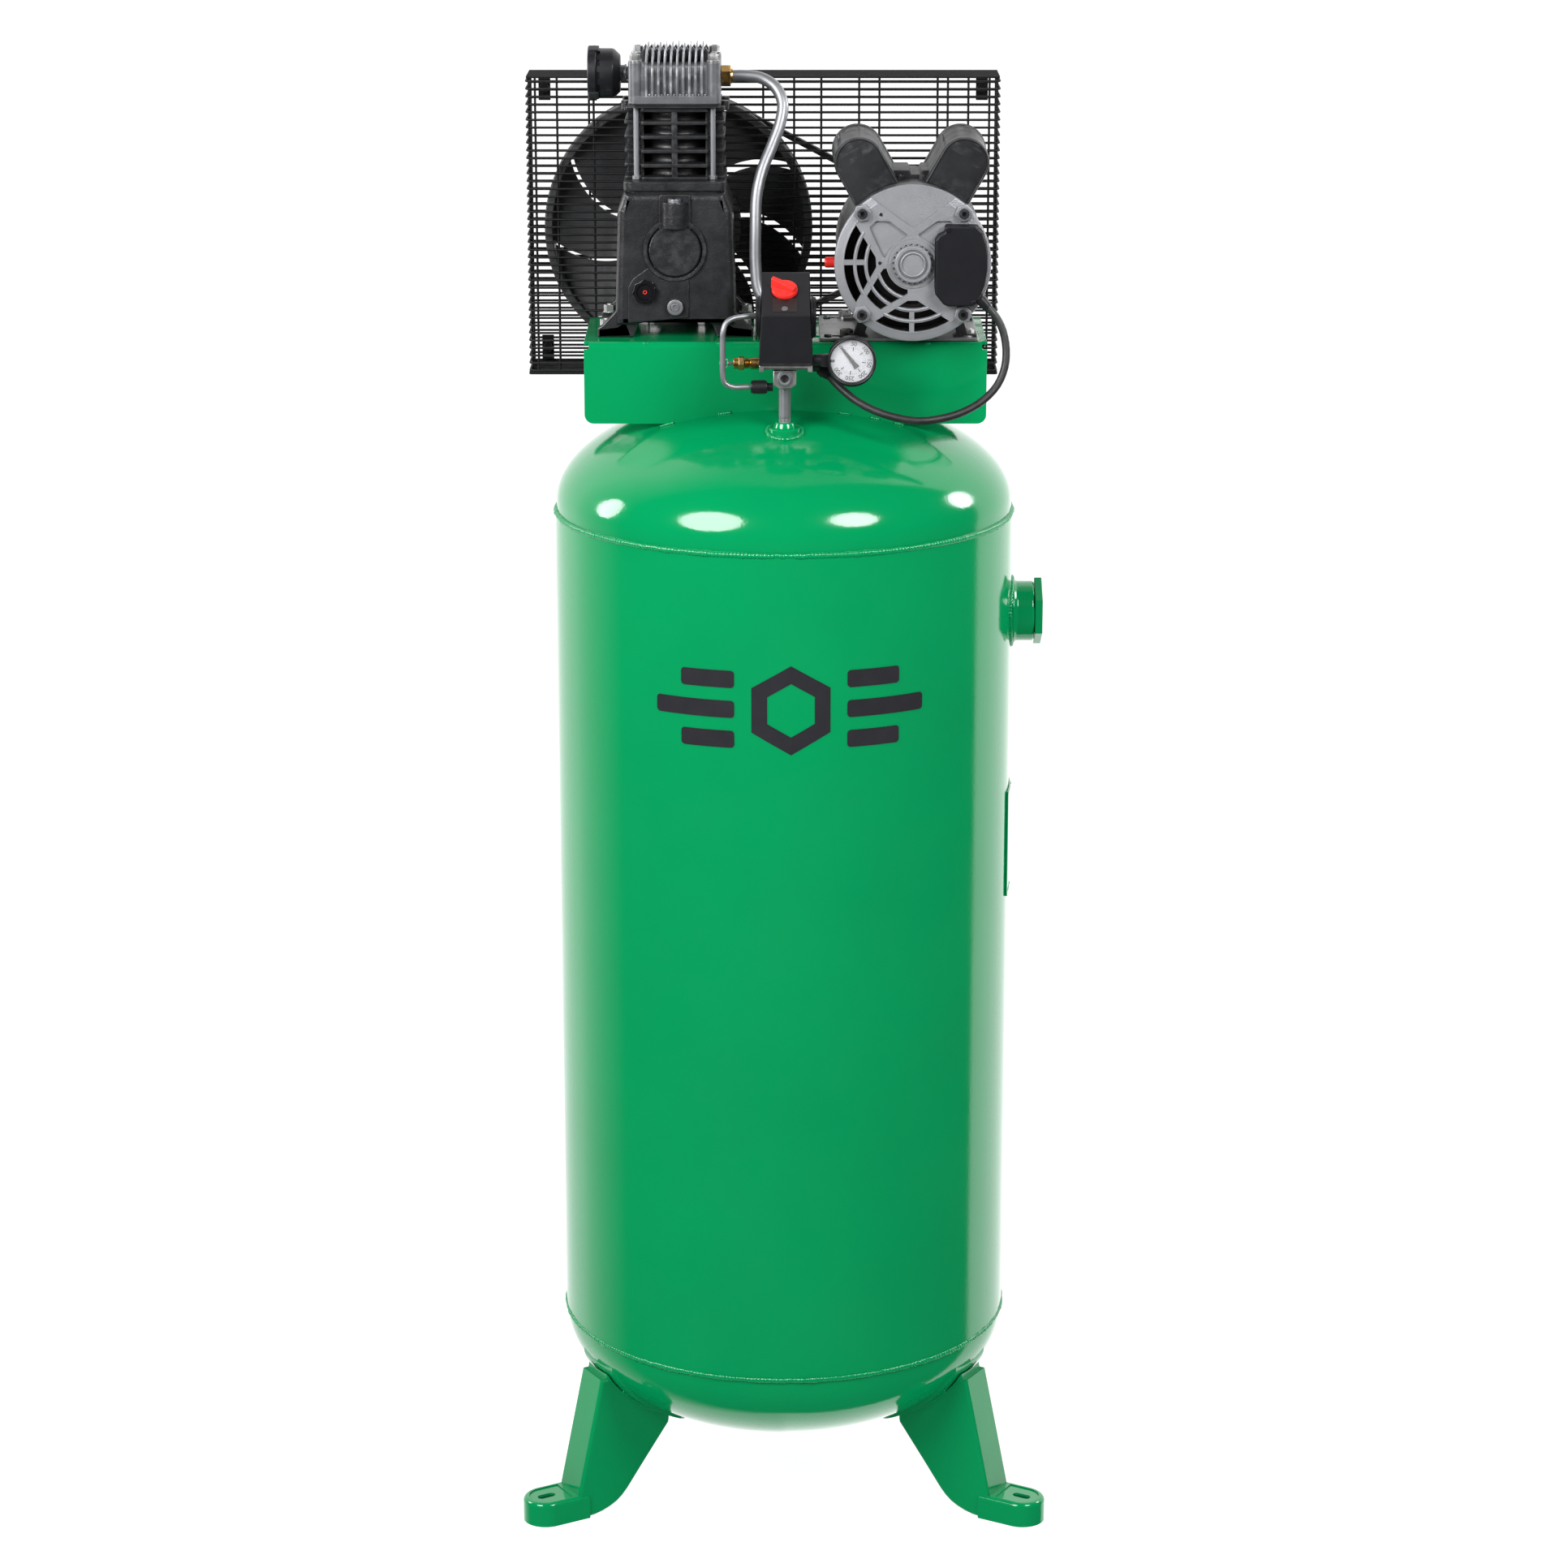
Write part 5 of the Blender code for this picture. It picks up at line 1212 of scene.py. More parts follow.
def sector(inner, outer, start, end):
    """Outline of a slot between two radii round the motor's axis."""
    count = max(4, int((end - start) / 4.0))
    return arc(MOTOR, outer, start, end, count) + arc(MOTOR, inner, end, start, count)


def make_bell():
    """Die-cast front bell: rim, spokes round a toothed hub, shallow fields, vent slots and a skirt."""
    front = BELL_Y0
    left = [(-39.8, 6.8), (-70.0, 56.0), (-95.0, 56.0), (-95.0, -58.0), (-69.7, -58.0), (-39.1, -4.1)]
    lower = [
        (-31.3, -5.4), (-34.6, -10.2), (-60.0, -53.5), (-40.9, -53.5), (-5.2, -32.5), (-5.2, -20.0),
        (-20.0, -5.4)
    ]
    bottom = [(-5.2, -39.9), (-55.0, -71.6), (-55.0, -95.0), (55.0, -95.0), (55.0, -71.6), (5.2, -39.9)]
    far = ((52.2, 60.3), (64.0, 73.7))
    tools = []
    for window, slots in (
        (left, ((38.0, 48.5), *far)), (lower, ((28.4, 36.2), (39.8, 48.5), far[0])),
        (bottom, ((39.0, 48.5), *far))
    ):
        for inner, outer in slots:
            rings = [ring_of(MOTOR, r / 1000.0, 144) for r in (outer, inner)]
            slot = slab(rings, "XZ", front - 0.01, front + 0.02)
            slot = combined(slot, [slab([at_motor(window)], "XZ", front - 0.02, front + 0.03)], "INTERSECT")
            if inner > 50.0 and window is not lower:
                box = ((-90.0, -1.4), (-50.0, 4.0)) if window is left else ((-3.3, -90.0), (2.0, -50.0))
                (x0, z0), (x1, z1) = (at_motor([corner])[0] for corner in box)
                slot = cut(slot, block((x0, front - 0.03, z0), (x1, front + 0.04, z1)))
            tools.append(slot)
    tip = at_motor([(-2.0, 39.4), (2.0, 39.4)])
    top = arc(MOTOR, 0.0868, 56.5, 123.5, 24) + tip
    floor = slab([arc(MOTOR, 0.0836, 56.5, 123.5, 24) + tip], "XZ", front + 0.0034, front + 0.0060)
    pocket = [(-40.0, 45.9), (-25.3, 45.6), (-5.0, 31.1), (-6.9, 28.9), (-20.8, 20.9), (-26.9, 12.2)]
    pocket += [(-29.4, 6.6), (-32.3, 7.3), (-46.9, 38.5)]
    crown = slab([top], "XZ", front - 0.01, front + 0.0036)
    tools.append(crown.copy())
    for outline in (pocket, [(-x, z) for x, z in reversed(pocket)]):
        tools.append(slab([filleted(at_motor(outline), 0.003)], "XZ", front - 0.01, front + 0.0036))
    for x, z in ((-35.2, 0.5), (-34.2, 52.5)):
        tools.append(slab([ring_of(at_motor([(x, z)])[0], 0.0020, 20)], "XZ", front - 0.01, front + 0.0050))
    face = cut(slab([ring_of(MOTOR, 0.0752, 144)], "XZ", front, front + 0.0060), *tools)
    ribs = []
    for r, start, end in (
        (62.2, 147.0, 212.0), (50.3, 156.0, 204.0), (50.3, 208.0, 236.0), (38.0, 197.0, 253.0),
        (62.2, 240.0, 300.0), (50.3, 250.0, 290.0)
    ):
        route = [(x, front + 0.0012, z) for x, z in arc(MOTOR, r / 1000.0, start, end, 24)]
        ribs.append(swept([Vector(point) for point in route], 0.0019, 10))
    at = (MOTOR_X, 0.0, MOTOR_Z)
    back = shell_box[0].y - 0.0002
    profile = [
        (0.0737, front + 0.0008), (0.0746, front - 0.0002), (0.0762, front + 0.0004),
        (0.0818, front + 0.0008)
    ]
    profile += [
        (0.0836, front + 0.0016), (0.0842, front + 0.0032), (0.0842, front + 0.0060),
        (0.0770, front + 0.0062)
    ]
    profile += [(0.0765, front + 0.006), (0.0737, front + 0.006)]
    rim = cut(lathe(profile, at, "Y", 180, ring=True), crown)
    profile = [(0.0772, front + 0.0064), (0.0832, front + 0.0064), (0.0834, back), (0.0772, back)]
    piece("bell_skirt", lathe(profile, at, "Y", 144, ring=True), MOTOR_PAINT)
    bosses = []
    for angle in BOLT_ANGLES:
        x, z = polar(MOTOR, 0.0768, angle)
        bosses.append(slab([hexagon((x, z), 0.0172, 12.0)], "XZ", front - 0.0035, front + 0.004, 0.0012))
    teeth = []
    for index in range(44):
        size = 0.0218 if index % 2 else 0.0198
        teeth += arc(MOTOR, size, index * 360 / 44 - 2.4, index * 360 / 44 + 2.4, 1)
    gear = slab([teeth], "XZ", front - 0.0040, front + 0.002, 0.0004)
    collar = lathe(
        [(0.0, front + 0.003), (0.0268, front + 0.003), (0.0262, front - 0.0012), (0.0, front - 0.0016)], at,
        "Y", 72
    )
    profile = [(0.0198, front), (0.0196, front - 0.0070), (0.0186, front - 0.0078), (0.0160, front - 0.0078)]
    profile += [
        (0.0152, front - 0.0060), (0.0142, front - 0.0060), (0.0136, front - 0.0082),
        (0.0126, front - 0.0088)
    ]
    profile += [(0.0116, front - 0.0082), (0.0110, front - 0.0070), (0.0, front - 0.0072)]
    hub = lathe([*profile, (0.0, front)], at, "Y", 96)
    bell = joined(face, floor, rim, gear, collar, hub, *bosses, *ribs)
    piece("front_bell", bell, ALUMINIUM, replaces=("motor_front_endbell",))
    screws = []
    for angle in BOLT_ANGLES:
        x, z = polar(MOTOR, 0.0768, angle)
        screw = socket_head(0.0056, 0.0055, 0.0050)
        screws.append(moved(screw, facing(x, front - 0.0035, z)))
    for index in range(22):
        turn = turned(at, index * 360 / 22 + 4.0, "Y")
        screws.append(
            moved(block((0.0206, front - 0.0043, -0.0009), (0.0219, front - 0.0030, 0.0009)), turn)
        )
    piece("bell_screws", joined(*screws), CAST)


def make_motor_shell():
    """Rolled shell with its edges, a seam bracket on top, and the rear bell."""
    low, high = shell_box[0].y, shell_box[1].y
    at = (MOTOR_X, 0.0, MOTOR_Z)
    profile = [
        (MOTOR_R - 0.003, low), (MOTOR_R - 0.0004, low), (MOTOR_R, low + 0.0006), (MOTOR_R, high - 0.0006)
    ]
    profile += [(MOTOR_R - 0.0004, high), (MOTOR_R - 0.003, high)]
    shell = lathe(profile, at, "Y", 144, ring=True)
    button = middle("reset_button")
    shell = cut(shell, rod((0.0, button.y, button.z), "X", 0.0066, 0.050, 0.070))
    boss = lathe([(0.0067, 0.0565), (0.0092, 0.0565), (0.0086, 0.0538), (0.0067, 0.0538)],
                 (0.0, button.y, button.z), "X", 40, ring=True)
    shell = joined(shell, moved(boss, Matrix.Translation((0.0030, 0.0, 0.0))))
    piece("motor_case", shell, MOTOR_PAINT, replaces=("motor_shell",))
    top = MOTOR_Z + MOTOR_R
    outline = filleted([(-0.026, top - 0.006), (-0.020, top + 0.0085), (-0.002, top + 0.0085),
        (0.000, top + 0.004),
                        (0.010, top + 0.004), (0.012, top + 0.0085), (0.022, top + 0.0085),
                        (0.027, top - 0.006)], 0.002)
    outline = [(MOTOR_X + x, z) for x, z in outline]
    bracket = slab([outline], "XZ", -0.020, 0.050, 0.0012)
    studs = []
    for x, y in ((-0.012, -0.026), (0.013, -0.026), (-0.012, 0.056), (0.013, 0.056)):
        studs.append(
            moved(
                hex_head(0.0080, 0.0055, washer=0.0060, dome=0.0025),
                Matrix.Translation((MOTOR_X + x, y, top - 0.002))
            )
        )
    piece("motor_bracket", joined(bracket, *studs), MOTOR_PAINT)
    low, high = span("motor_rear_endbell")
    profile = [(0.0085, high.y), (0.0200, high.y), (0.0215, high.y - 0.001), (0.0235, high.y - 0.006)]
    profile += [
        (0.0700, high.y - 0.007), (0.0770, high.y - 0.009), (0.0800, high.y - 0.012), (MOTOR_R, low.y)
    ]
    profile += [(0.0765, low.y), (0.0765, low.y + 0.008), (0.0085, low.y + 0.008)]
    rear = lathe(profile, at, "Y", 144, ring=True)
    vents = []
    for index in range(8):
        start = 45.0 * index + 6.0
        for inner, outer in ((0.034, 0.046), (0.052, 0.066)):
            vents.append(sector(inner, outer, start, start + 33.0))
    rear = cut(rear, slab(vents, "XZ", low.y + 0.004, high.y + 0.02))
    bolts = []
    for angle in BOLT_ANGLES:
        x, z = polar(MOTOR, 0.0715, angle)
        bolts.append(moved(hex_head(0.0080, 0.0045), facing(x, high.y - 0.0085, z, "Y", 1)))
    piece(
        "rear_bell", joined(rear, *bolts), ALUMINIUM, replaces=("motor_rear_endbell",)
    )


def make_ears():
    """Pressed capacitor covers with a rolled front edge, leaning out from the shell."""
    for label, side in (("left", -1), ("right", 1)):
        turn = turned((MOTOR_X, 0.0, MOTOR_Z), side * 29.5, "Y")
        radius, reach = 0.027, 0.1155

        def ear(size, foot):
            return [(size, foot), *arc((0.0, reach), size, 0.0, 180.0, 24), (-size, foot)]

        cover = slab([ear(radius, 0.045)], "XZ", -0.045, 0.075, 0.0035, turn, rounds=4)
        step = slab([ear(radius + 0.0012, 0.045)], "XZ", 0.062, 0.0745, 0.0012, turn)
        edge = slab(
            [ear(radius - 0.0008, 0.045), ear(radius - 0.0030, 0.0451)], "XZ", -0.0462, -0.040, 0.0009, turn
        )
        saddle = rod((MOTOR_X, 0.0, MOTOR_Z), "Y", MOTOR_R + 0.0003, -0.08, 0.09, steps=144)
        shape = cut(fused(cover, step, edge), saddle)
        piece(
            "capacitor_shell_" + label, shape, MOTOR_PAINT, replaces=("capacitor_cover_" + label,),
        )


def make_terminal_cover():
    """Moulded cover over the terminals, its right side following the bell."""
    outline = [(0.1721, 1.4807), (0.1721, 1.4741), (0.1650, 1.4705), (0.1620, 1.4654), (0.1620, 1.4150)]
    outline += [(0.1630, 1.4071), (0.1713, 1.3965), (0.1760, 1.3945), (0.2044, 1.3945), (0.2100, 1.4047)]
    outline += [(0.2147, 1.4165), (0.2175, 1.4331), (0.2175, 1.4489), (0.2155, 1.4623), (0.2116, 1.4741)]
    outline += [(0.2052, 1.4807)]
    low, high = span("terminal_cover")
    cover = slab([filleted(outline, 0.004)], "XZ", low.y, high.y, 0.0022, rounds=4)
    rest = slab([filleted(outline, 0.004)], "XZ", low.y + 0.008, high.y, 0.0004)
    rest.transform(
        Matrix.Translation((0.19, 0.0, 1.4376)) @ Matrix.Diagonal(
            (1.03, 1.0, 1.02, 1.0)
        ) @ Matrix.Translation((-0.19, 0.0, -1.4376))
    )
    screws = []
    for x, z in ((0.1752, 1.4772), (0.2030, 1.3985)):
        head = cut(
            rod((0, 0, 0), "Z", 0.0030, 0.0, 0.0022, 0.0008),
            block((-0.004, -0.0005, 0.0012), (0.004, 0.0005, 0.003))
        )
        screws.append(moved(head, facing(x, low.y + 0.0006, z, spin=35.0)))
    piece(
        "terminal_lid", joined(cover, rest, *screws), PLASTIC, replaces=("terminal_cover",),
    )
    grip = [(0.0, -0.0105), (0.0068, -0.0105), (0.0072, -0.008), (0.0066, -0.0065), (0.0070, -0.005)]
    grip += [(0.0062, -0.0035), (0.0064, -0.002), (0.0052, 0.0095), (0.0, 0.0095)]
    ahead = (Vector(CABLE[1]) - Vector(CABLE[0])).normalized()
    turn = Matrix.Translation(CABLE[0]) @ ahead.to_track_quat("Z", "Y").to_matrix().to_4x4()
    piece("cable_grip", moved(lathe(grip, steps=32), turn), PLASTIC)


def make_button():
    low, high = span("reset_button")
    centre = (0.0, (low.y + high.y) / 2.0, (low.z + high.z) / 2.0)
    profile = [(0.0, low.x), (0.0046, low.x), (0.0056, low.x + 0.0008), (0.0059, low.x + 0.002)]
    profile += [(0.0060, high.x), (0.0, high.x)]
    button = lathe(profile, centre, "X", 48)
    piece("reset_cap", button, RED, "reset_button", replaces=("reset_button",))


make_bell()
make_motor_shell()
make_ears()
make_terminal_cover()
make_button()


# Belt drive and guard

BELT_Y = middle("drive_belt").y
WHEEL_R = (span("flywheel")[1].z - span("flywheel")[0].z) / 2.0
GUARD_LOW = Vector(
    (
        min(span(n)[0].x for n in ("guard_front", "guard_rear")), span("guard_front")[0].y,
        span("guard_front")[0].z
    )
)
GUARD_HIGH = Vector((span("guard_rear")[1].x, span("guard_rear")[1].y, span("guard_rear")[1].z))


def gap_angle(r):
    """Angle of a gap between two blades, at a distance from the hub."""
    return 147.8 + 22.3 * (1.0 - max(0.0, (r - 0.070) / 0.072) ** 1.25)


def fan_blade(index, near=0.066, far=0.1425, rows=14, columns=10):
    """One broad swept blade between two gaps, pitched so that it moves air."""
    bm = bmesh.new()
    layers = []
    for drop in (0.0, 0.0036):
        grid = []
        for i in range(rows + 1):
            r = near + (far - near) * i / rows
            half = math.degrees(0.0036 / r)
            low = gap_angle(r) + 40.0 * index + half
            line = []
            for j in range(columns + 1):
                t = j / columns
                angle = math.radians(low + (40.0 - 2.0 * half) * t)
                y = BELT_Y + 0.0085 - 0.0170 * t + drop
                line.append(bm.verts.new((PUMP_X + r * math.cos(angle), y, CRANK_Z + r * math.sin(angle))))
            grid.append(line)
        layers.append(grid)
    return plate_between(bm, layers)


def make_flywheel():
    """Grooved rim, nine swept fan blades, a dished centre and a keyed hub."""
    at = (PUMP_X, 0.0, CRANK_Z)
    y0, y1 = span("flywheel")[0].y, span("flywheel")[1].y
    rim0, rim1 = BELT_Y - 0.020, BELT_Y + 0.020
    r = WHEEL_R
    profile = [
        (0.1415, rim0 + 0.001), (0.1425, rim0), (r - 0.0015, rim0), (r, rim0 + 0.0015), (r, BELT_Y - 0.0075)
    ]
    profile += [
        (0.1420, BELT_Y - 0.0045), (0.1420, BELT_Y + 0.0045), (r, BELT_Y + 0.0075), (r, rim1 - 0.0015)
    ]
    profile += [(r - 0.0015, rim1), (0.1425, rim1), (0.1415, rim1 - 0.001)]
    rim = lathe(profile, at, "Y", 192, ring=True)
    profile = [
        (0.0122, y0), (0.0260, y0), (0.0270, y0 + 0.001), (0.0285, 0.1360), (0.0320, 0.1400),
        (0.0690, 0.1420)
    ]
    profile += [
        (0.0705, 0.1440), (0.0705, 0.1560), (0.0690, 0.1580), (0.0320, 0.1600), (0.0270, 0.1690),
        (0.0260, y1)
    ]
    hub = lathe([*profile, (0.0122, y1)], at, "Y", 96, ring=True)
    blades = [fan_blade(index) for index in range(9)]
    wheel = joined(rim, hub, *blades)
    piece("fan_wheel", wheel, WHEEL, "flywheel", replaces=("flywheel",))
    bolt = hex_head(0.0130, 0.0060, washer=0.0150, dome=0.0045)
    end = moved(bolt, facing(PUMP_X, y1, CRANK_Z, "Y", 1))
    key = block(
        (PUMP_X - 0.003, 0.150, CRANK_Z + 0.0100), (PUMP_X + 0.003, y1 + 0.0005, CRANK_Z + 0.0150), 0.0004
    )
    piece("fan_wheel_bolt", joined(end, key), ZINC, "flywheel")


def make_belt():
    """V-belt round both wheels."""
    big, small, deep = 0.1435, 0.0285, 0.0068
    reach = Vector((MOTOR_X - PUMP_X, MOTOR_Z - CRANK_Z))
    lean = math.atan2(reach.y, reach.x)
    half = math.acos((big - small) / reach.length)
    stations = []
    for index in range(121):
        angle = lean + half + (2.0 * math.pi - 2.0 * half) * index / 120
        stations.append((PUMP_X, CRANK_Z, big, angle))
    for index in range(33):
        angle = lean - half + 2.0 * half * index / 32
        stations.append((MOTOR_X, MOTOR_Z, small, angle))
    section = [
        (0.0, -0.0030), (0.0003, -0.0035), (deep - 0.0012, -0.0055), (deep - 0.0003, -0.0055),
        (deep, -0.0050)
    ]
    section += [(out, -across) for out, across in reversed(section)]
    bm = bmesh.new()
    rings = []
    for x, z, radius, angle in stations:
        ring = []
        for out, across in section:
            r = radius + out
            ring.append(bm.verts.new((x + r * math.cos(angle), BELT_Y + across, z + r * math.sin(angle))))
        rings.append(ring)
    for one, two in zip(rings, rings[1:] + rings[:1]):
        for a in range(len(section)):
            b = (a + 1) % len(section)
            bm.faces.new((one[a], one[b], two[b], two[a]))
    piece("v_belt", to_mesh(bm), RUBBER, replaces=("drive_belt",))
    at = (MOTOR_X, 0.0, MOTOR_Z)
    y0, y1 = span("motor_pulley")[0].y, span("motor_pulley")[1].y
    profile = [
        (0.0081, y0), (0.0172, y0), (0.0180, y0 + 0.0008), (0.0180, 0.1415), (0.0345, 0.1422),
        (0.0355, 0.1430)
    ]
    profile += [
        (0.0270, 0.1458), (0.0270, 0.1542), (0.0355, 0.1570), (0.0355, 0.1592), (0.0345, y1), (0.0081, y1)
    ]
    pulley = lathe(profile, at, "Y", 96, ring=True)
    screw = moved(socket_head(0.0035, 0.0015, 0.0030), facing(MOTOR_X, 0.1385, MOTOR_Z + 0.0176, "Z", 1))
    piece(
        "drive_pulley", joined(pulley, screw), CAST, "motor_drive", replaces=("motor_pulley",),
    )


def make_guard():
    """Welded wire cage: level loops, uprights on the front and back, a plain top and bottom rail."""
    x0, x1 = GUARD_LOW.x + 0.00125, GUARD_HIGH.x - 0.00125
    y0, y1 = GUARD_LOW.y + 0.00125, GUARD_HIGH.y - 0.00125
    z0, z1 = GUARD_LOW.z, GUARD_HIGH.z
    holes = [(PUMP_X, CRANK_Z, 0.046), (MOTOR_X, MOTOR_Z, 0.026)]
    corner = 0.005
    turns = [
        arc((x1 - corner, y0 + corner), corner, -90, 0, 4), arc((x1 - corner, y1 - corner), corner, 0, 90, 4)
    ]
    turns += [
        arc((x0 + corner, y1 - corner), corner, 90, 180, 4),
        arc((x0 + corner, y0 + corner), corner, 180, 270, 4)
    ]
    routes, loops = [], []
    levels = 39
    for index in range(levels):
        z = z0 + 0.0045 + 0.00855 * index
        around = [(x, y, z) for turn in turns for x, y in turn]
        gaps = []
        for x, height, radius in holes:
            if abs(z - height) < radius:
                half = math.sqrt(radius**2 - (z - height) ** 2)
                gaps.append((x - half, x + half))
        if not gaps:
            loops.append(around)
            continue
        routes.append([(gaps[-1][1], y0, z), *around, (gaps[0][0], y0, z)])
        if len(gaps) == 2:
            routes.append([(gaps[0][1], y0, z), (gaps[1][0], y0, z)])
    rings = [[(x, y0, z) for x, z in ring_of((px, pz), radius, 48)] for px, pz, radius in holes]
    wires(
        "guard_loops", loops + rings, 0.00130, WIRE, closed=True, replaces=("guard_front", "guard_rear"),
    )
    uprights = []
    for index in range(9):
        x = x0 + 0.0012 + (x1 - x0 - 0.0024) * index / 8
        uprights.append([(x, y1 - 0.0020, z0 + 0.003), (x, y1 - 0.0020, z1 - 0.002)])
    for x in (-0.2773, -0.2529, -0.2121, 0.0113, 0.0837, 0.1824, 0.2053, 0.2287):
        cuts = [(z - math.sqrt(r**2 - (x - px) ** 2), z + math.sqrt(r**2 - (x - px) ** 2))
                for px, z, r in holes if abs(x - px) < r]
        low = z0 + 0.003
        for start, end in cuts:
            uprights.append([(x, y0 + 0.0020, low), (x, y0 + 0.0020, start)])
            low = end
        uprights.append([(x, y0 + 0.0020, low), (x, y0 + 0.0020, z1 - 0.002)])
    for index in range(9):
        y = y0 + 0.0042 + (y1 - y0 - 0.0084) * index / 8
        for z in (z0 + 0.0014, z1 - 0.0014):
            uprights.append([(x0, y, z), (x1, y, z)])
    for x in (x0 + 0.002, x1 - 0.002):
        for y in (y0 + 0.022, y0 + 0.046):
            uprights.append([(x, y, z0 + 0.003), (x, y, z1 - 0.002)])
    wires("guard_uprights", routes + uprights, 0.00130, WIRE)
    plates = []
    for x in (x0 + 0.017, x1 - 0.017):
        for low in (z1 - 0.034, z0 + 0.006):
            plates.append(
                block((x - 0.0068, y1 - 0.0058, low), (x + 0.0068, y1 - 0.0032, low + 0.028), 0.0008)
            )
            plates.append(moved(hex_head(0.0100, 0.0050), facing(x, y1 - 0.0060, low + 0.014)))
    base = []
    for y in (y0, y1):
        base.append(block((x0, y - 0.0012, z0), (x1, y + 0.0012, z0 + 0.0036), 0.0008))
    for x in (x0, x1):
        base.append(block((x - 0.0012, y0, z0), (x + 0.0012, y1, z0 + 0.0036), 0.0008))
    straps = []
    for x in (-0.205, 0.195):
        straps.append(block((x - 0.009, 0.1035, 1.2850), (x + 0.009, 0.1075, 1.3400), 0.001))
        straps.append(block((x - 0.009, 0.1035, 1.3320), (x + 0.009, y0 + 0.003, 1.3345), 0.001))
    piece("guard_plates", joined(*plates, *base, *straps), WIRE)


make_flywheel()
make_belt()
make_guard()


# Bench, motor base and the receiver's fittings

bench_low, bench_high = span("bench")


def make_bench():
    """Folded plate: rounded bends, corner notches, pressed darts and stitch welds where it meets the head."""
    x0, x1, y0, y1 = bench_low.x, bench_high.x, bench_low.y, bench_high.y
    z0, z1, t, bend = bench_low.z, bench_high.z, 0.004, 0.007
    outline = [(y0, z0), (y0 + t, z0), (y0 + t, z1 - bend)]
    outline += arc((y0 + bend, z1 - bend), bend - t, 180, 90, 5)
    outline += arc((y1 - bend, z1 - bend), bend - t, 90, 0, 5)
    outline += [(y1 - t, z0), (y1, z0), *arc((y1 - bend, z1 - bend), bend, 0, 90, 8)]
    outline += arc((y0 + bend, z1 - bend), bend, 90, 180, 8)
    bench = slab([outline], "YZ", x0, x1, 0.0005)
    tools = [head_mesh(True, -0.0004, solid=True, rings=32, steps=128)]
    for x, side in ((x0, 1), (x1, -1)):
        notch = [(x - side * 0.01, z0 - 0.01), (x - side * 0.01, z0 + 0.010)]
        start = 180 if side > 0 else 0
        notch += arc((x + side * 0.010, z0 + 0.010), 0.010, start, 270 if side > 0 else -90, 8)
        tools.append(slab([[*notch, (x + side * 0.010, z0 - 0.01)]], "XZ", y0 - 0.01, y1 + 0.01))
        low, high = sorted((x - side * 0.01, x + side * 0.0055))
        tools.append(block((low, y0 - 0.01, z1 - 0.0085), (high, y0 + 0.0085, z1 + 0.01), 0.0025))
        tools.append(block((low, y1 - 0.0085, z1 - 0.0085), (high, y1 + 0.01, z1 + 0.01), 0.0025))
    tools.append(rod((CHECK.x, CHECK.y, 0.0), "Z", 0.020, 1.33, 1.36, steps=64))
    for x, y in ((0.034, -0.030), (0.034, 0.060), (-0.010, 0.060)):
        tools.append(rod((x, y, 0.0), "Z", 0.0075, 1.33, 1.36, steps=40))
    bench = cut(bench, *tools)
    darts = []
    for x in (-0.1506, -0.0696, 0.1560):
        for y, side in ((y0, 1), (y1, -1)):
            bm = bmesh.new()
            corners = [
                (x - 0.0042, y + side * 0.0020, z1 - 0.0015), (x + 0.0042, y + side * 0.0020, z1 - 0.0015)
            ]
            corners += [
                (x, y + side * 0.0120, z1 + 0.0001), (x, y - side * 0.0001, z1 - 0.0110),
                (x, y + side * 0.0008, z1 - 0.0002)
            ]
            a, b, c, d, e = (bm.verts.new(p) for p in corners)
            for face in ((a, c, e), (c, b, e), (b, d, e), (d, a, e), (a, b, c), (b, a, d)):
                bm.faces.new(face)
            darts.append(softened(to_mesh(bm), 0.0004, 2, 10.0))
    stitches = []
    for y, ends in ((y0 - 0.0006,
        ((-0.072, -0.058), (0.060, 0.072), (0.094, 0.104), (0.120, 0.130), (-0.135, -0.120))),
                    (y1 + 0.0006, ((-0.075, -0.055), (0.055, 0.075), (0.110, 0.130), (-0.130, -0.110)))):
        for seed, (start, end) in enumerate(ends):
            route = []
            for k in range(9):
                x = start + (end - start) * k / 8
                route.append((x, y, head_z(math.hypot(x, y)) + 0.0006))
            stitches.append(bead(route, 0.0017, 0.0026, seed=3.0 * seed + y))
    piece("bench_plate", joined(bench, *darts), ENAMEL, replaces=("bench",))
    piece("bench_welds", joined(*stitches), ENAMEL, angle=180.0)


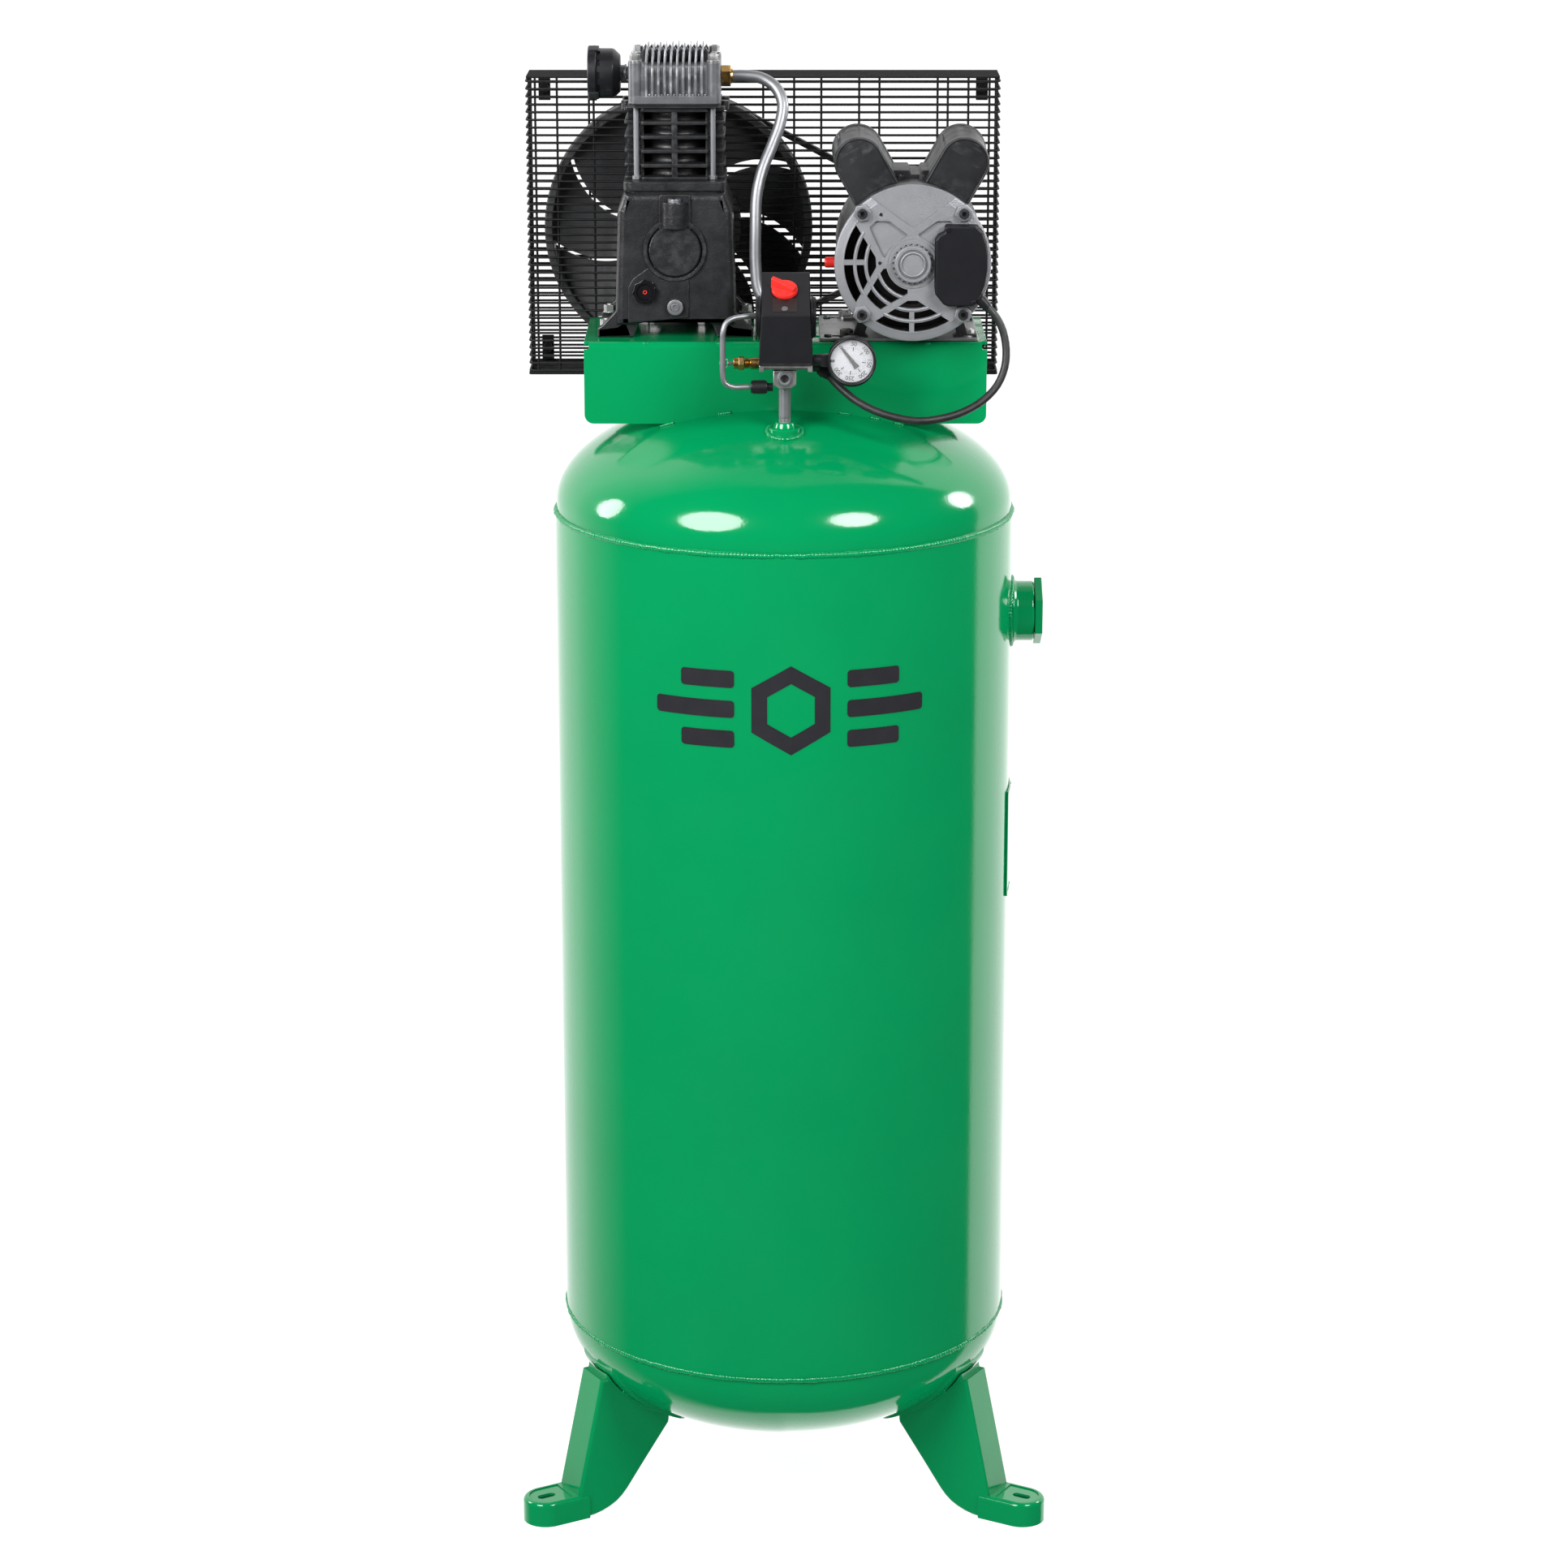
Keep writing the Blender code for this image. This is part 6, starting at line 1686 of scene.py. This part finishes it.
def make_motor_base():
    """Plated slide base with its slots, bolts and the pressed cradle under the motor."""
    low, high = span("motor_slide_base")
    outline = [rounded_box((low.x, low.y), (high.x, high.y), 0.004)]
    bolts = []
    for x in (0.068, 0.200):
        for y in (-0.045, 0.078):
            outline.append(rounded_box((x - 0.016, y - 0.0042), (x + 0.006, y + 0.0042), 0.0040))
            bolt = hex_head(0.0125, 0.0075, washer=0.0085, dome=0.0050)
            bolts.append(moved(bolt, Matrix.Translation((x, y, high.z))))
    for y in (-0.045, 0.078):
        outline.append(rounded_box((low.x + 0.005, y - 0.012), (low.x + 0.013, y + 0.012), 0.0038))
    base = slab(outline, "XY", low.z, high.z, 0.0006)
    piece("slide_plate", base, ZINC, replaces=("motor_slide_base",))
    piece("slide_bolts", joined(*bolts), ZINC)
    floor = high.z
    half = [
        (-0.072, floor), (-0.072, floor + 0.0035), (-0.062, floor + 0.0040), (-0.052, 1.3860),
        (-0.040, 1.3860)
    ]
    half += [(-0.050, floor + 0.0040), (-0.046, floor)]
    for label, y in (("front", -0.052), ("rear", 0.058)):
        parts = []
        for side in (-1, 1):
            outline = [(MOTOR_X - side * x, z) for x, z in half]
            parts.append(slab([outline], "XZ", y, y + 0.016, 0.0012))
        band = arc(MOTOR, MOTOR_R + 0.0030, 226, 314, 24) + arc(MOTOR, MOTOR_R + 0.0003, 314, 226, 24)
        parts.append(slab([band], "XZ", y, y + 0.016, 0.0006))
        replaced = ("motor_cradle",) if label == "front" else ()
        piece("cradle_" + label, joined(*parts), CAST, replaces=replaced)


def make_fittings():
    """Bung and its weld, the threaded riser and the check valve."""
    x, y = RISER
    base = head_z(abs(y) - 0.020) + 0.0006
    profile = [
        (0.0064, base - 0.010), (0.0175, base - 0.014), (0.0175, base - 0.0020), (0.0165, base - 0.0008)
    ]
    profile += [
        (0.0120, base - 0.0002), (0.0108, base + 0.0040), (0.0098, base + 0.0052), (0.0064, base + 0.0054)
    ]
    bung = lathe(profile, (x, y, 0.0), "Z", 72, ring=True)
    bung = cut(bung, head_mesh(True, -0.0006, solid=True, rings=24, steps=96))
    route = [
        (x + a, y + b, head_z(math.hypot(x + a, y + b)) + 0.0008) for a, b in ring_of((0.0, 0.0), 0.0187, 72)
    ]
    weld = bead(route, 0.0024, 0.0030, closed=True, seed=4.0)
    piece("bung", bung, ENAMEL, replaces=("switch_bung",))
    piece("bung_weld", weld, ENAMEL, angle=180.0)
    low, high = span("riser_nipple")
    top = high.z + 0.0045
    profile = [(0.0, low.z), (0.0065, low.z)]
    z = base + 0.0056
    for index in range(4):
        profile += [(0.0065, z + 0.0012 * index), (0.0060, z + 0.0006 + 0.0012 * index)]
    profile += [(0.0065, z + 0.0060), (0.0065, top - 0.006)]
    for index in range(4):
        profile += [(0.0060, top - 0.0054 + 0.0012 * index), (0.0065, top - 0.0048 + 0.0012 * index)]
    nipple = lathe([*profile, (0.0, top)], (x, y, 0.0), "Z", 48)
    piece("riser", nipple, STEEL, replaces=("riser_nipple",))
    base = head_z(CHECK.length) + 0.0002
    hexes = slab([hexagon((CHECK.x, CHECK.y), 0.026)], "XY", base + 0.006, base + 0.022, 0.0008)
    profile = [
        (0.0, base), (0.0135, base), (0.0125, base + 0.006), (0.0100, base + 0.022), (0.0100, 1.352),
        (0.0, 1.352)
    ]
    body = lathe(profile, (CHECK.x, CHECK.y, 0.0), "Z", 48)
    nut = slab([hexagon((CHECK.x, CHECK.y), 0.0215, 15.0)], "XY", 1.3545, 1.3715, 0.0008)
    neck = lathe([(0.0, 1.351), (0.0085, 1.351), (0.0085, 1.3720), (0.0072, 1.3745), (0.0, 1.3745)],
                 (CHECK.x, CHECK.y, 0.0), "Z", 40)
    piece("check_valve_body", joined(hexes, body, nut, neck), BRASS, replaces=("check_valve",))


def make_outlet():
    """Side coupling with its weld and hexagonal plug, and the data plate's holder."""
    low, high = span("side_coupling")
    centre = (0.0, 0.0, OUTLET_Z)
    profile = [
        (0.0262, low.x), (0.0300, low.x), (0.0300, 0.2530), (0.0372, 0.2545), (0.0374, 0.2556),
        (0.0368, 0.2570)
    ]
    profile += [(0.0345, 0.2585), (0.0336, 0.2610), (0.0336, high.x - 0.0025), (0.0330, high.x - 0.0008)]
    profile += [(0.0318, high.x), (0.0275, high.x), (0.0262, high.x - 0.0010)]
    coupling = lathe(profile, centre, "X", 96, ring=True)
    piece("coupling", coupling, ENAMEL, replaces=("side_coupling",))
    route = []
    for y, z in ring_of((0.0, 0.0), 0.0378, 96):
        route.append((math.sqrt(TANK_R**2 - y**2) + 0.0004, y, OUTLET_Z + z))
    weld = bead(route, 0.0026, 0.0036, closed=True, seed=7.0)
    piece("coupling_weld", weld, ENAMEL, angle=180.0)
    low, high = span("side_coupling_plug")
    hexes = slab([hexagon((0.0, OUTLET_Z), 0.0655, 30.0)], "YZ", high.x - 0.0086, high.x, 0.0010)
    thread = [(0.0, low.x), (0.0255, low.x)]
    for index in range(5):
        thread += [(0.0255, low.x + 0.0035 * index + 0.001), (0.0245, low.x + 0.0035 * index + 0.002)]
    body = lathe([*thread, (0.0255, high.x - 0.0060), (0.0, high.x - 0.0060)], centre, "X", 64)
    piece("coupling_plug", joined(hexes, body), ENAMEL, replaces=("side_coupling_plug",))
    low, high = span("data_plate")
    turn = Matrix.Rotation(math.radians(90.0), 4, "Z")
    half = (high.y - low.y) / 2.0
    frame_out = rounded_box((-half, low.z), (half, high.z), 0.004)
    frame_in = rounded_box((-half + 0.005, low.z + 0.005), (half - 0.005, high.z - 0.005), 0.002)
    holder = moved(
        wrapped(slab([frame_out, frame_in], "XZ", -0.0012, 0.0010, 0.0004), TANK_R + 0.0012), turn
    )
    inner = rounded_box((-half + 0.003, low.z + 0.003), (half - 0.003, high.z - 0.003), 0.002)
    sheet = moved(wrapped(slab([inner], "XZ", -0.0004, 0.0006), TANK_R + 0.0012), turn)
    pins = []
    for z in (low.z + 0.0025, high.z - 0.0025):
        pins.append(rod((0.0, 0.0, z), "X", 0.0016, TANK_R + 0.001, TANK_R + 0.0032, 0.0005, 20))
    piece("plate_holder", joined(holder, sheet, *pins), ENAMEL, replaces=("data_plate",))


LEG_HALF, LEG_SHEET, LEG_BEND = 0.0245, 0.004, 0.285
FOOT_Z, FOOT_R, FOOT_NOSE = 0.0285, 0.315, 0.0262


def pad_mesh(rows=20, columns=28):
    """Doubler plate bent to the bottom head where a leg is welded on, lying along +X."""
    near, far, half, thick = 0.152, 0.246, 0.045, 0.0052
    bm = bmesh.new()
    layers = []
    for drop in (-0.0005, thick):
        grid = []
        for i in range(columns + 1):
            r = near + (far - near) * i / columns
            end = abs(2.0 * i / columns - 1.0)
            line = []
            for j in range(rows + 1):
                t = half * (1.0 - 0.24 * end**5) * (2.0 * j / rows - 1.0)
                line.append(bm.verts.new((r, t, head_z(math.hypot(r, t), top=False) - drop)))
            grid.append(line)
        layers.append(grid)
    return plate_between(bm, layers)


def leg_mesh():
    """Pressed leg along +X: a channel trimmed to the pad, and a foot with a rolled rim and a slot."""
    lower = [
        (0.274, 0.0), (0.264, 0.0008), (0.254, 0.0030), (0.244, 0.0066), (0.2355, 0.0110), (0.2280, 0.0170)
    ]
    lower += [
        (0.2215, 0.0240), (0.199, 0.0535), (0.1715, 0.0890), (0.1668, 0.0950), (0.1660, 0.1000),
        (0.1660, 0.130)
    ]
    outline = [
        (0.254, 0.165), (LEG_BEND, FOOT_Z - 0.001), (LEG_BEND, 0.0), *lower, (0.2445, 0.1800),
        (0.2475, 0.165)
    ]
    leg = slab([outline], "XZ", -LEG_HALF, LEG_HALF, 0.0040, rounds=4)
    plan = [(0.272, -FOOT_NOSE), *arc((FOOT_R, 0.0), FOOT_NOSE, -90, 90, 32), (0.272, FOOT_NOSE)]
    slot = arc((FOOT_R + 0.006, 0.0), 0.005, -90, 90, 8) + arc((FOOT_R - 0.006, 0.0), 0.005, 90, 270, 8)
    foot = slab([plan], "XY", -0.0150, FOOT_Z, 0.0055, rounds=6)
    foot = cut(foot, block((0.10, -0.10, -0.05), (0.40, 0.10, 0.0)))
    dish = [
        (LEG_BEND + 0.006, -0.0195), *arc((FOOT_R, 0.0), 0.0195, -90, 90, 24), (LEG_BEND + 0.006, 0.0195)
    ]
    dish = slab([dish], "XY", FOOT_Z - 0.0014, FOOT_Z + 0.01)
    leg = cut(fused(leg, foot), dish)
    inside = LEG_HALF - LEG_SHEET
    back = [
        (0.10, -0.02), (LEG_BEND - LEG_SHEET, -0.02), (LEG_BEND - LEG_SHEET, FOOT_Z - 0.002), (0.253, 0.150)
    ]
    channel = slab([[*back, (0.10, 0.150)]], "XZ", -inside, inside)
    pocket = [
        (LEG_BEND - 0.015, -FOOT_NOSE + LEG_SHEET), *arc((FOOT_R, 0.0), FOOT_NOSE - LEG_SHEET, -90, 90, 24)
    ]
    pocket = slab([[*pocket, (LEG_BEND - 0.015, FOOT_NOSE - LEG_SHEET)]], "XY", -0.01, FOOT_Z - LEG_SHEET)
    hole = slab([slot], "XY", -0.02, 0.05)
    return cut(leg, channel, pocket, hole, head_mesh(False, 0.0045, solid=True, rings=32, steps=160))


def make_legs():
    leg, pad = leg_mesh(), pad_mesh()
    stitches = []
    for side in (-1, 1):
        route = []
        for index in range(13):
            r = 0.176 + 0.052 * index / 12
            t = side * (LEG_HALF + 0.0003)
            route.append((r, t, head_z(math.hypot(r, t), top=False) - 0.0060))
        stitches.append(bead(route, 0.0016, 0.0030, seed=5.0 + side))
    weld = joined(*stitches)
    for place, angle in (("front_left", 210.0), ("front_right", -30.0), ("rear", 90.0)):
        turn = Matrix.Rotation(math.radians(angle), 4, "Z")
        named = "leg_" + place
        piece(named + "_sheet", moved(leg.copy(), turn), ENAMEL, replaces=(named,))
        named = "leg_pad_" + place
        piece(named + "_plate", moved(pad.copy(), turn), ENAMEL, replaces=(named,))
        piece(named + "_weld", moved(weld.copy(), turn), ENAMEL, angle=180.0)
    for mesh in (leg, pad, weld):
        bpy.data.meshes.remove(mesh)


CHECK = Vector((middle("check_valve").x, middle("check_valve").y))
RISER = (middle("riser_nipple").x, middle("riser_nipple").y)
make_legs()
make_bench()
make_motor_base()
make_fittings()
make_outlet()


# Control group

SWITCH_X0, SWITCH_X1 = -0.0260, 0.0300
SWITCH_Y0, SWITCH_Y1 = -0.165, -0.098
SWITCH_LOW, SWITCH_LIP, SWITCH_TOP = 1.3388, 1.3924, 1.4290
SLOPE_Y = -0.103
SLOPE = math.atan2(SWITCH_TOP - SWITCH_LIP, SLOPE_Y - SWITCH_Y0)


def on_slope(x, along):
    """Places what stands on z = 0 on the switch's sloping face, a distance up from its lip."""
    spot = (x, SWITCH_Y0 + along * math.cos(SLOPE), SWITCH_LIP + along * math.sin(SLOPE))
    return Matrix.Translation(spot) @ Matrix.Rotation(SLOPE, 4, "X")


def make_switch():
    """Pressure switch: a tapered cover with a sloping face, end caps, label patch, screw and base."""
    outline = [
        (SWITCH_Y0, SWITCH_LOW), (SWITCH_Y0, SWITCH_LIP), (SLOPE_Y, SWITCH_TOP), (SWITCH_Y1, SWITCH_TOP)
    ]
    outline = filleted([*outline, (SWITCH_Y1, SWITCH_LOW)], [0.0012, 0.0016, 0.004, 0.003, 0.0012])
    cover = slab([outline], "YZ", SWITCH_X0, SWITCH_X1, 0.0012, rounds=4)
    centre = (SWITCH_X0 + SWITCH_X1) / 2.0
    for v in cover.vertices:
        rise = min(1.0, (v.co.z - SWITCH_LOW) / (SWITCH_LIP - SWITCH_LOW))
        v.co.x = centre + (v.co.x - centre) * (1.04 - 0.12 * rise)
    caps = []
    for side, face in ((-1, SWITCH_X0), (1, SWITCH_X1)):
        profile = [
            (0.0, 0.0), (0.0230, 0.0), (0.0230, 0.0022), (0.0215, 0.0026), (0.0215, 0.0046), (0.0195, 0.0056)
        ]
        cap = lathe([*profile, (0.0, 0.0050)], steps=72)
        cap = moved(cap, facing(face - side * 0.0012, -0.1290, 1.3850, "X", side))
        caps.append(cut(cap, block((-0.1, -0.2, 1.30), (0.1, -0.05, SWITCH_LOW + 0.002))))
    seam = block(
        (SWITCH_X0 + 0.001, SWITCH_Y0 - 0.0004, SWITCH_LOW),
        (SWITCH_X1 - 0.001, SWITCH_Y0 + 0.002, SWITCH_LOW + 0.0025), 0.0004
    )
    piece(
        "switch_shell", joined(cover, seam, *caps), PLASTIC, replaces=("switch_cover",)
    )
    patch = rounded_box((-0.0130, 0.0060), (0.0130, 0.0285), 0.0012)
    label = moved(slab([patch], "XY", -0.0002, 0.00025), on_slope(RISER[0], 0.0))
    piece("switch_label", label, LABEL)
    head = cut(
        rod((0, 0, 0), "Z", 0.0034, 0.0, 0.0014, 0.0005, 40),
        block((-0.005, -0.0005, 0.0007), (0.005, 0.0005, 0.003))
    )
    piece("switch_screw", moved(head, on_slope(RISER[0], 0.0105)), STEEL)
    low, high = span("switch_base")
    plate = block((low.x, low.y, high.z - 0.0030), (high.x, high.y, high.z), 0.0006)
    rims = []
    for x in (low.x, high.x - 0.0050):
        rims.append(block((x, low.y - 0.0002, low.z), (x + 0.0050, high.y, high.z - 0.0005), 0.0008))
    rims.append(
        block(
            (low.x + 0.004, low.y + 0.006, low.z + 0.0015), (high.x - 0.004, high.y - 0.006, high.z - 0.001),
            0.0008
        )
    )
    piece("switch_plate", joined(plate, *rims), ZINC, replaces=("switch_base",))


def make_knob():
    along = 0.5 * (SLOPE_Y - SWITCH_Y0) / math.cos(SLOPE) + 0.004 / math.cos(SLOPE)
    place = on_slope(RISER[0], along)
    profile = [(0.0, 0.0006), (0.0140, 0.0006), (0.0140, 0.0034), (0.0132, 0.0046), (0.0, 0.0048)]
    disc = lathe(profile, steps=72)
    outline = [
        (-0.0150, -0.0034), (0.0105, -0.0052), (0.0122, -0.0030), (0.0122, 0.0030), (0.0105, 0.0052),
        (-0.0150, 0.0034)
    ]
    grip = slab([filleted(outline, 0.0010)], "XY", 0.0020, 0.0140, 0.0005, rounds=3)
    for v in grip.vertices:
        if v.co.z > 0.006:
            v.co.z -= (v.co.x + 0.0150) / 0.0272 * 0.0052
            v.co.y *= 0.72
    grip.transform(Matrix.Rotation(math.radians(-25.0), 4, "Z"))
    knob = moved(joined(disc, grip), place)
    piece("selector_knob", knob, RED, "switch_knob", replaces=("switch_knob",))


def make_manifold():
    """Block under the switch, its plug, the relief valve, the unloader line and the lead's elbow."""
    low, high = span("manifold_block")
    low = low + Vector((0.0, 0.0, 0.0035))
    x = RISER[0]
    middle_z = (low.z + high.z) / 2.0 + 0.0010
    outline = [
        (low.x, high.z), (low.x, low.z + 0.0040), (x - 0.0062, low.z), (x + 0.0062, low.z),
        (high.x, low.z + 0.0040)
    ]
    body = slab(
        [filleted([*outline, (high.x, high.z)], [0.0, 0.001, 0.001, 0.001, 0.001, 0.0])], "XZ", low.y,
        high.y, 0.0009
    )
    body = cut(body, rod((x, 0.0, middle_z), "Y", 0.0044, low.y - 0.01, low.y + 0.006))
    collar = lathe([(0.0, high.z - 0.001), (0.0100, high.z - 0.001), (0.0100, high.z + 0.0080),
        (0.0, high.z + 0.0080)],
                   (x, RISER[1], 0.0), "Z", 40)
    piece("manifold", joined(body, collar), ZINC, replaces=("manifold_block",))
    profile = [
        (0.0044, -0.0004), (0.0072, -0.0004), (0.0072, 0.0016), (0.0066, 0.0022), (0.0050, 0.0022),
        (0.0044, 0.0016)
    ]
    plug = moved(lathe(profile, steps=40, ring=True), facing(x, low.y, middle_z))
    rim = lathe(
        [(0.0074, -0.0005), (0.0088, -0.0005), (0.0086, 0.0008), (0.0074, 0.0010)], steps=40, ring=True
    )
    rim = moved(rim, facing(x, low.y, middle_z))
    piece("manifold_plug", joined(plug, rim), STEEL)
    # A black disc at the bottom of the plug's socket: painted shade in the recess.
    plug_socket_shade = moved(rod((0, 0, 0), "Z", 0.0043, -0.0050, -0.0045), facing(x, low.y, middle_z))
    piece("manifold_plug_painted_shade", plug_socket_shade, CAST)
    y, z = middle("safety_valve_body").y, middle("safety_valve_body").z
    left, right = span("safety_valve_body")[0].x, span("safety_valve_body")[1].x
    profile = [
        (0.0, right), (0.0062, right), (0.0062, right - 0.0090), (0.0048, right - 0.0094),
        (0.0048, right - 0.0106)
    ]
    for index in range(4):
        step = right - 0.0110 - 0.0012 * index
        profile += [(0.0058, step), (0.0051, step - 0.0006)]
    profile += [(0.0060, right - 0.0225), (0.0060, left + 0.0010), (0.0052, left), (0.0, left)]
    body = lathe(profile[::-1], (0.0, y, z), "X", 48)
    hexes = slab([hexagon((y, z), 0.0136)], "YZ", right - 0.0220, right - 0.0160, 0.0006)
    piece("relief_valve", joined(body, hexes), BRASS, replaces=("safety_valve_body",))
    low, high = span("safety_valve_stem")
    profile = [
        (0.0, high.x), (0.0018, high.x), (0.0018, low.x + 0.0022), (0.0030, low.x + 0.0020),
        (0.0030, low.x + 0.0006)
    ]
    stem = lathe([*profile, (0.0024, low.x), (0.0, low.x)], (0.0, y, z), "X", 32)
    loop = swept(
        [Vector((low.x - 0.0002 + 0.0048 * a, y, z + 0.0048 * b)) for a, b in ring_of((0, 0), 1.0, 28)],
        0.0006, 8, True
    )
    piece("relief_stem", joined(stem, moved(loop, Matrix.Translation((-0.0030, 0.0, 0.0)))), STEEL,
        "relief_stem",
          replaces=("safety_valve_stem",))
    route = [
        (-0.0278, -0.1260, 1.3865),
        (-0.0420, -0.1320, 1.3862),
        (-0.0560, -0.1385, 1.3845),
        (-0.0620, -0.1410, 1.3800),
        (-0.0648, -0.1430, 1.3720),
        (-0.0655, -0.1430, 1.3600),
        (-0.0655, -0.1430, 1.3420),
        (-0.0655, -0.1430, 1.3270),
        (-0.0630, -0.1430, 1.3160),
        (-0.0545, -0.1420, 1.3115),
        (-0.0440, -0.1400, 1.3112),
        (-0.0364, -0.1390, 1.3112),
    ]
    wires("unloader_line", [smooth_route(route, 6)], 0.0030, STEEL, sides=4,
          replaces=("unloader_tube",))
    low, high = span("unloader_fitting")
    y, z = (low.y + high.y) / 2.0, (low.z + high.z) / 2.0
    profile = [(0.0, high.x), (0.0045, high.x), (0.0045, high.x - 0.0060), (0.0066, high.x - 0.0064)]
    profile += [(0.0070, high.x - 0.0080), (0.0070, low.x + 0.0020), (0.0064, low.x + 0.0004), (0.0, low.x)]
    fitting = lathe(profile[::-1], (0.0, y, z), "X", 48)
    ribs = []
    for index in range(12):
        turn = turned((0.0, y, z), 30.0 * index, "X")
        ribs.append(
            moved(block((low.x + 0.0025, -0.0006, 0.0062), (high.x - 0.0085, 0.0006, 0.0075), 0.0003), turn)
        )
    piece(
        "unloader_nut", joined(fitting, *ribs), PLASTIC, replaces=("unloader_fitting",)
    )
    end = Vector(CABLE[-1])
    back = (Vector(CABLE[-2]) - end).normalized()
    turn = Matrix.Translation(end) @ back.to_track_quat("Z", "Y").to_matrix().to_4x4()
    neck = [
        (0.0, -0.0110), (0.0064, -0.0110), (0.0066, -0.0040), (0.0074, -0.0036), (0.0074, 0.0020),
        (0.0062, 0.0030)
    ]
    neck = lathe([*neck, (0.0048, 0.0075), (0.0, 0.0075)], steps=40)
    elbow = rod((0.0, end.y, end.z + 0.0080), "X", 0.0085, SWITCH_X1 - 0.002, 0.0385, 0.0010, 40)
    piece(
        "cable_elbow", joined(moved(neck, turn), elbow), PLASTIC, replaces=("cable_connector",),
    )


def numeral(text, size, place):
    """A number on the dial, as a flat mesh."""
    curve = bpy.data.curves.new("numeral", "FONT")
    curve.body = text
    curve.size = size
    curve.align_x = "CENTER"
    curve.align_y = "CENTER"
    curve.extrude = 0.00005
    curve.offset = 0.00008
    return moved(baked(linked("numeral", curve)), place)


def make_gauge():
    """Dial gauge: case with a rolled rim, white dial, ticks, numbers, pointer, glass and stem."""
    x, z = GAUGE_X, GAUGE_Z
    front, r = span("gauge_case")[0].y, GAUGE_R
    profile = [(0.0, 0.0240), (r - 0.0030, 0.0240), (r - 0.0008, 0.0225), (r - 0.0004, 0.0060), (r, 0.0040)]
    profile += [
        (r, 0.0012), (r - 0.0006, 0.0003), (r - 0.0014, 0.0), (r - 0.0024, 0.0004), (r - 0.0030, 0.0018)
    ]
    case = lathe([*profile, (r - 0.0030, 0.0066), (0.0, 0.0066)], (x, front, z), "Y", 96)
    stem = rod((0.0, front + 0.012, z), "X", 0.0062, 0.0312, x - 0.018, 0.0006, 40)
    square = slab(
        [rounded_box((front + 0.0055, z - 0.0065), (front + 0.0185, z + 0.0065), 0.001)], "YZ", x - 0.0330,
        x - 0.0230, 0.0008
    )
    rear = rod((x, 0.0, z - 0.0030), "Y", r - 0.0004, front + 0.0090, front + 0.0235, 0.0012, 96)
    piece(
        "gauge_body", joined(case, rear, stem, square), PLASTIC, replaces=("gauge_case",),
    )
    dial = lathe(
        [(0.0, 0.0060), (r - 0.0032, 0.0060), (r - 0.0032, 0.0064), (0.0, 0.0064)], (x, front, z), "Y", 72
    )
    piece("gauge_dial", dial, DIAL)
    marks = []
    for index in range(31):
        angle = math.radians(128.0 - 9.0 * index)
        major = index % 5 == 0
        inner, outer = (0.0108, 0.0148) if major else (0.0134, 0.0148)
        width = 0.00050 if major else 0.00014
        turn = facing(x, front + 0.0059, z) @ Matrix.Rotation(angle, 4, "Z")
        marks.append(moved(block((inner, -width, -0.00008), (outer, width, 0.00008)), turn))
        if major:
            spot = Matrix.Translation((0.0184 * math.cos(angle), 0.0184 * math.sin(angle), 0.0))
            spin = Matrix.Rotation(angle - math.radians(90.0), 4, "Z")
            place = facing(x, front + 0.0059, z) @ spot @ spin
            marks.append(numeral(str(10 * index), 0.0064, place))
    piece("gauge_marks", joined(*marks), WIRE)
    outline = [
        (-0.0090, -0.0032), (-0.0030, -0.0020), (0.0174, -0.0012), (0.0186, 0.0), (0.0174, 0.0012),
        (-0.0030, 0.0020)
    ]
    turn = Matrix.Translation((x, front + 0.0046, z)) @ Matrix.Rotation(-math.radians(128.0), 4, "Y")
    needle = slab([[*outline, (-0.0090, 0.0032)]], "XZ", 0.0, 0.0006, 0.0001, turn)
    hub = lathe(
        [(0.0, 0.0038), (0.0016, 0.0039), (0.0022, 0.0044), (0.0022, 0.0057), (0.0, 0.0057)], (x, front, z),
        "Y", 32
    )
    piece(
        "needle", joined(needle, hub), WIRE, "gauge_pointer", replaces=("gauge_pointer",),
    )


GAUGE_X, GAUGE_Z = middle("gauge_lens").x, middle("gauge_lens").z
GAUGE_R = 0.0260
LABEL = surface(
    "label_patch", (0.012, 0.0060, 0.0065), 0.35, tone=0.15, patch=60.0, grain=0.02, grain_scale=900.0
)
DIAL = surface("dial_enamel", (0.36, 0.36, 0.385), 0.6, tone=0.02, patch=60.0, grain=0.02, grain_scale=900.0)
make_switch()
make_knob()
make_manifold()
make_gauge()


# Everything that keeps its CAD shape

KEPT = {
    "drain_cock_body": (BRASS, 0.0004),
    "drain_cock_handle": (BRASS, 0.0006),
    "crankshaft": (STEEL, 0.0004),
    "piston": (ALUMINIUM, 0.0003),
    "motor_rotor": (LAMINATION, 0.0005),
    "motor_stator": (LAMINATION, 0.0),
    "gauge_lens": (GLASS, 0.0),
}

for node, (material, width) in KEPT.items():
    carry(node, material, width)
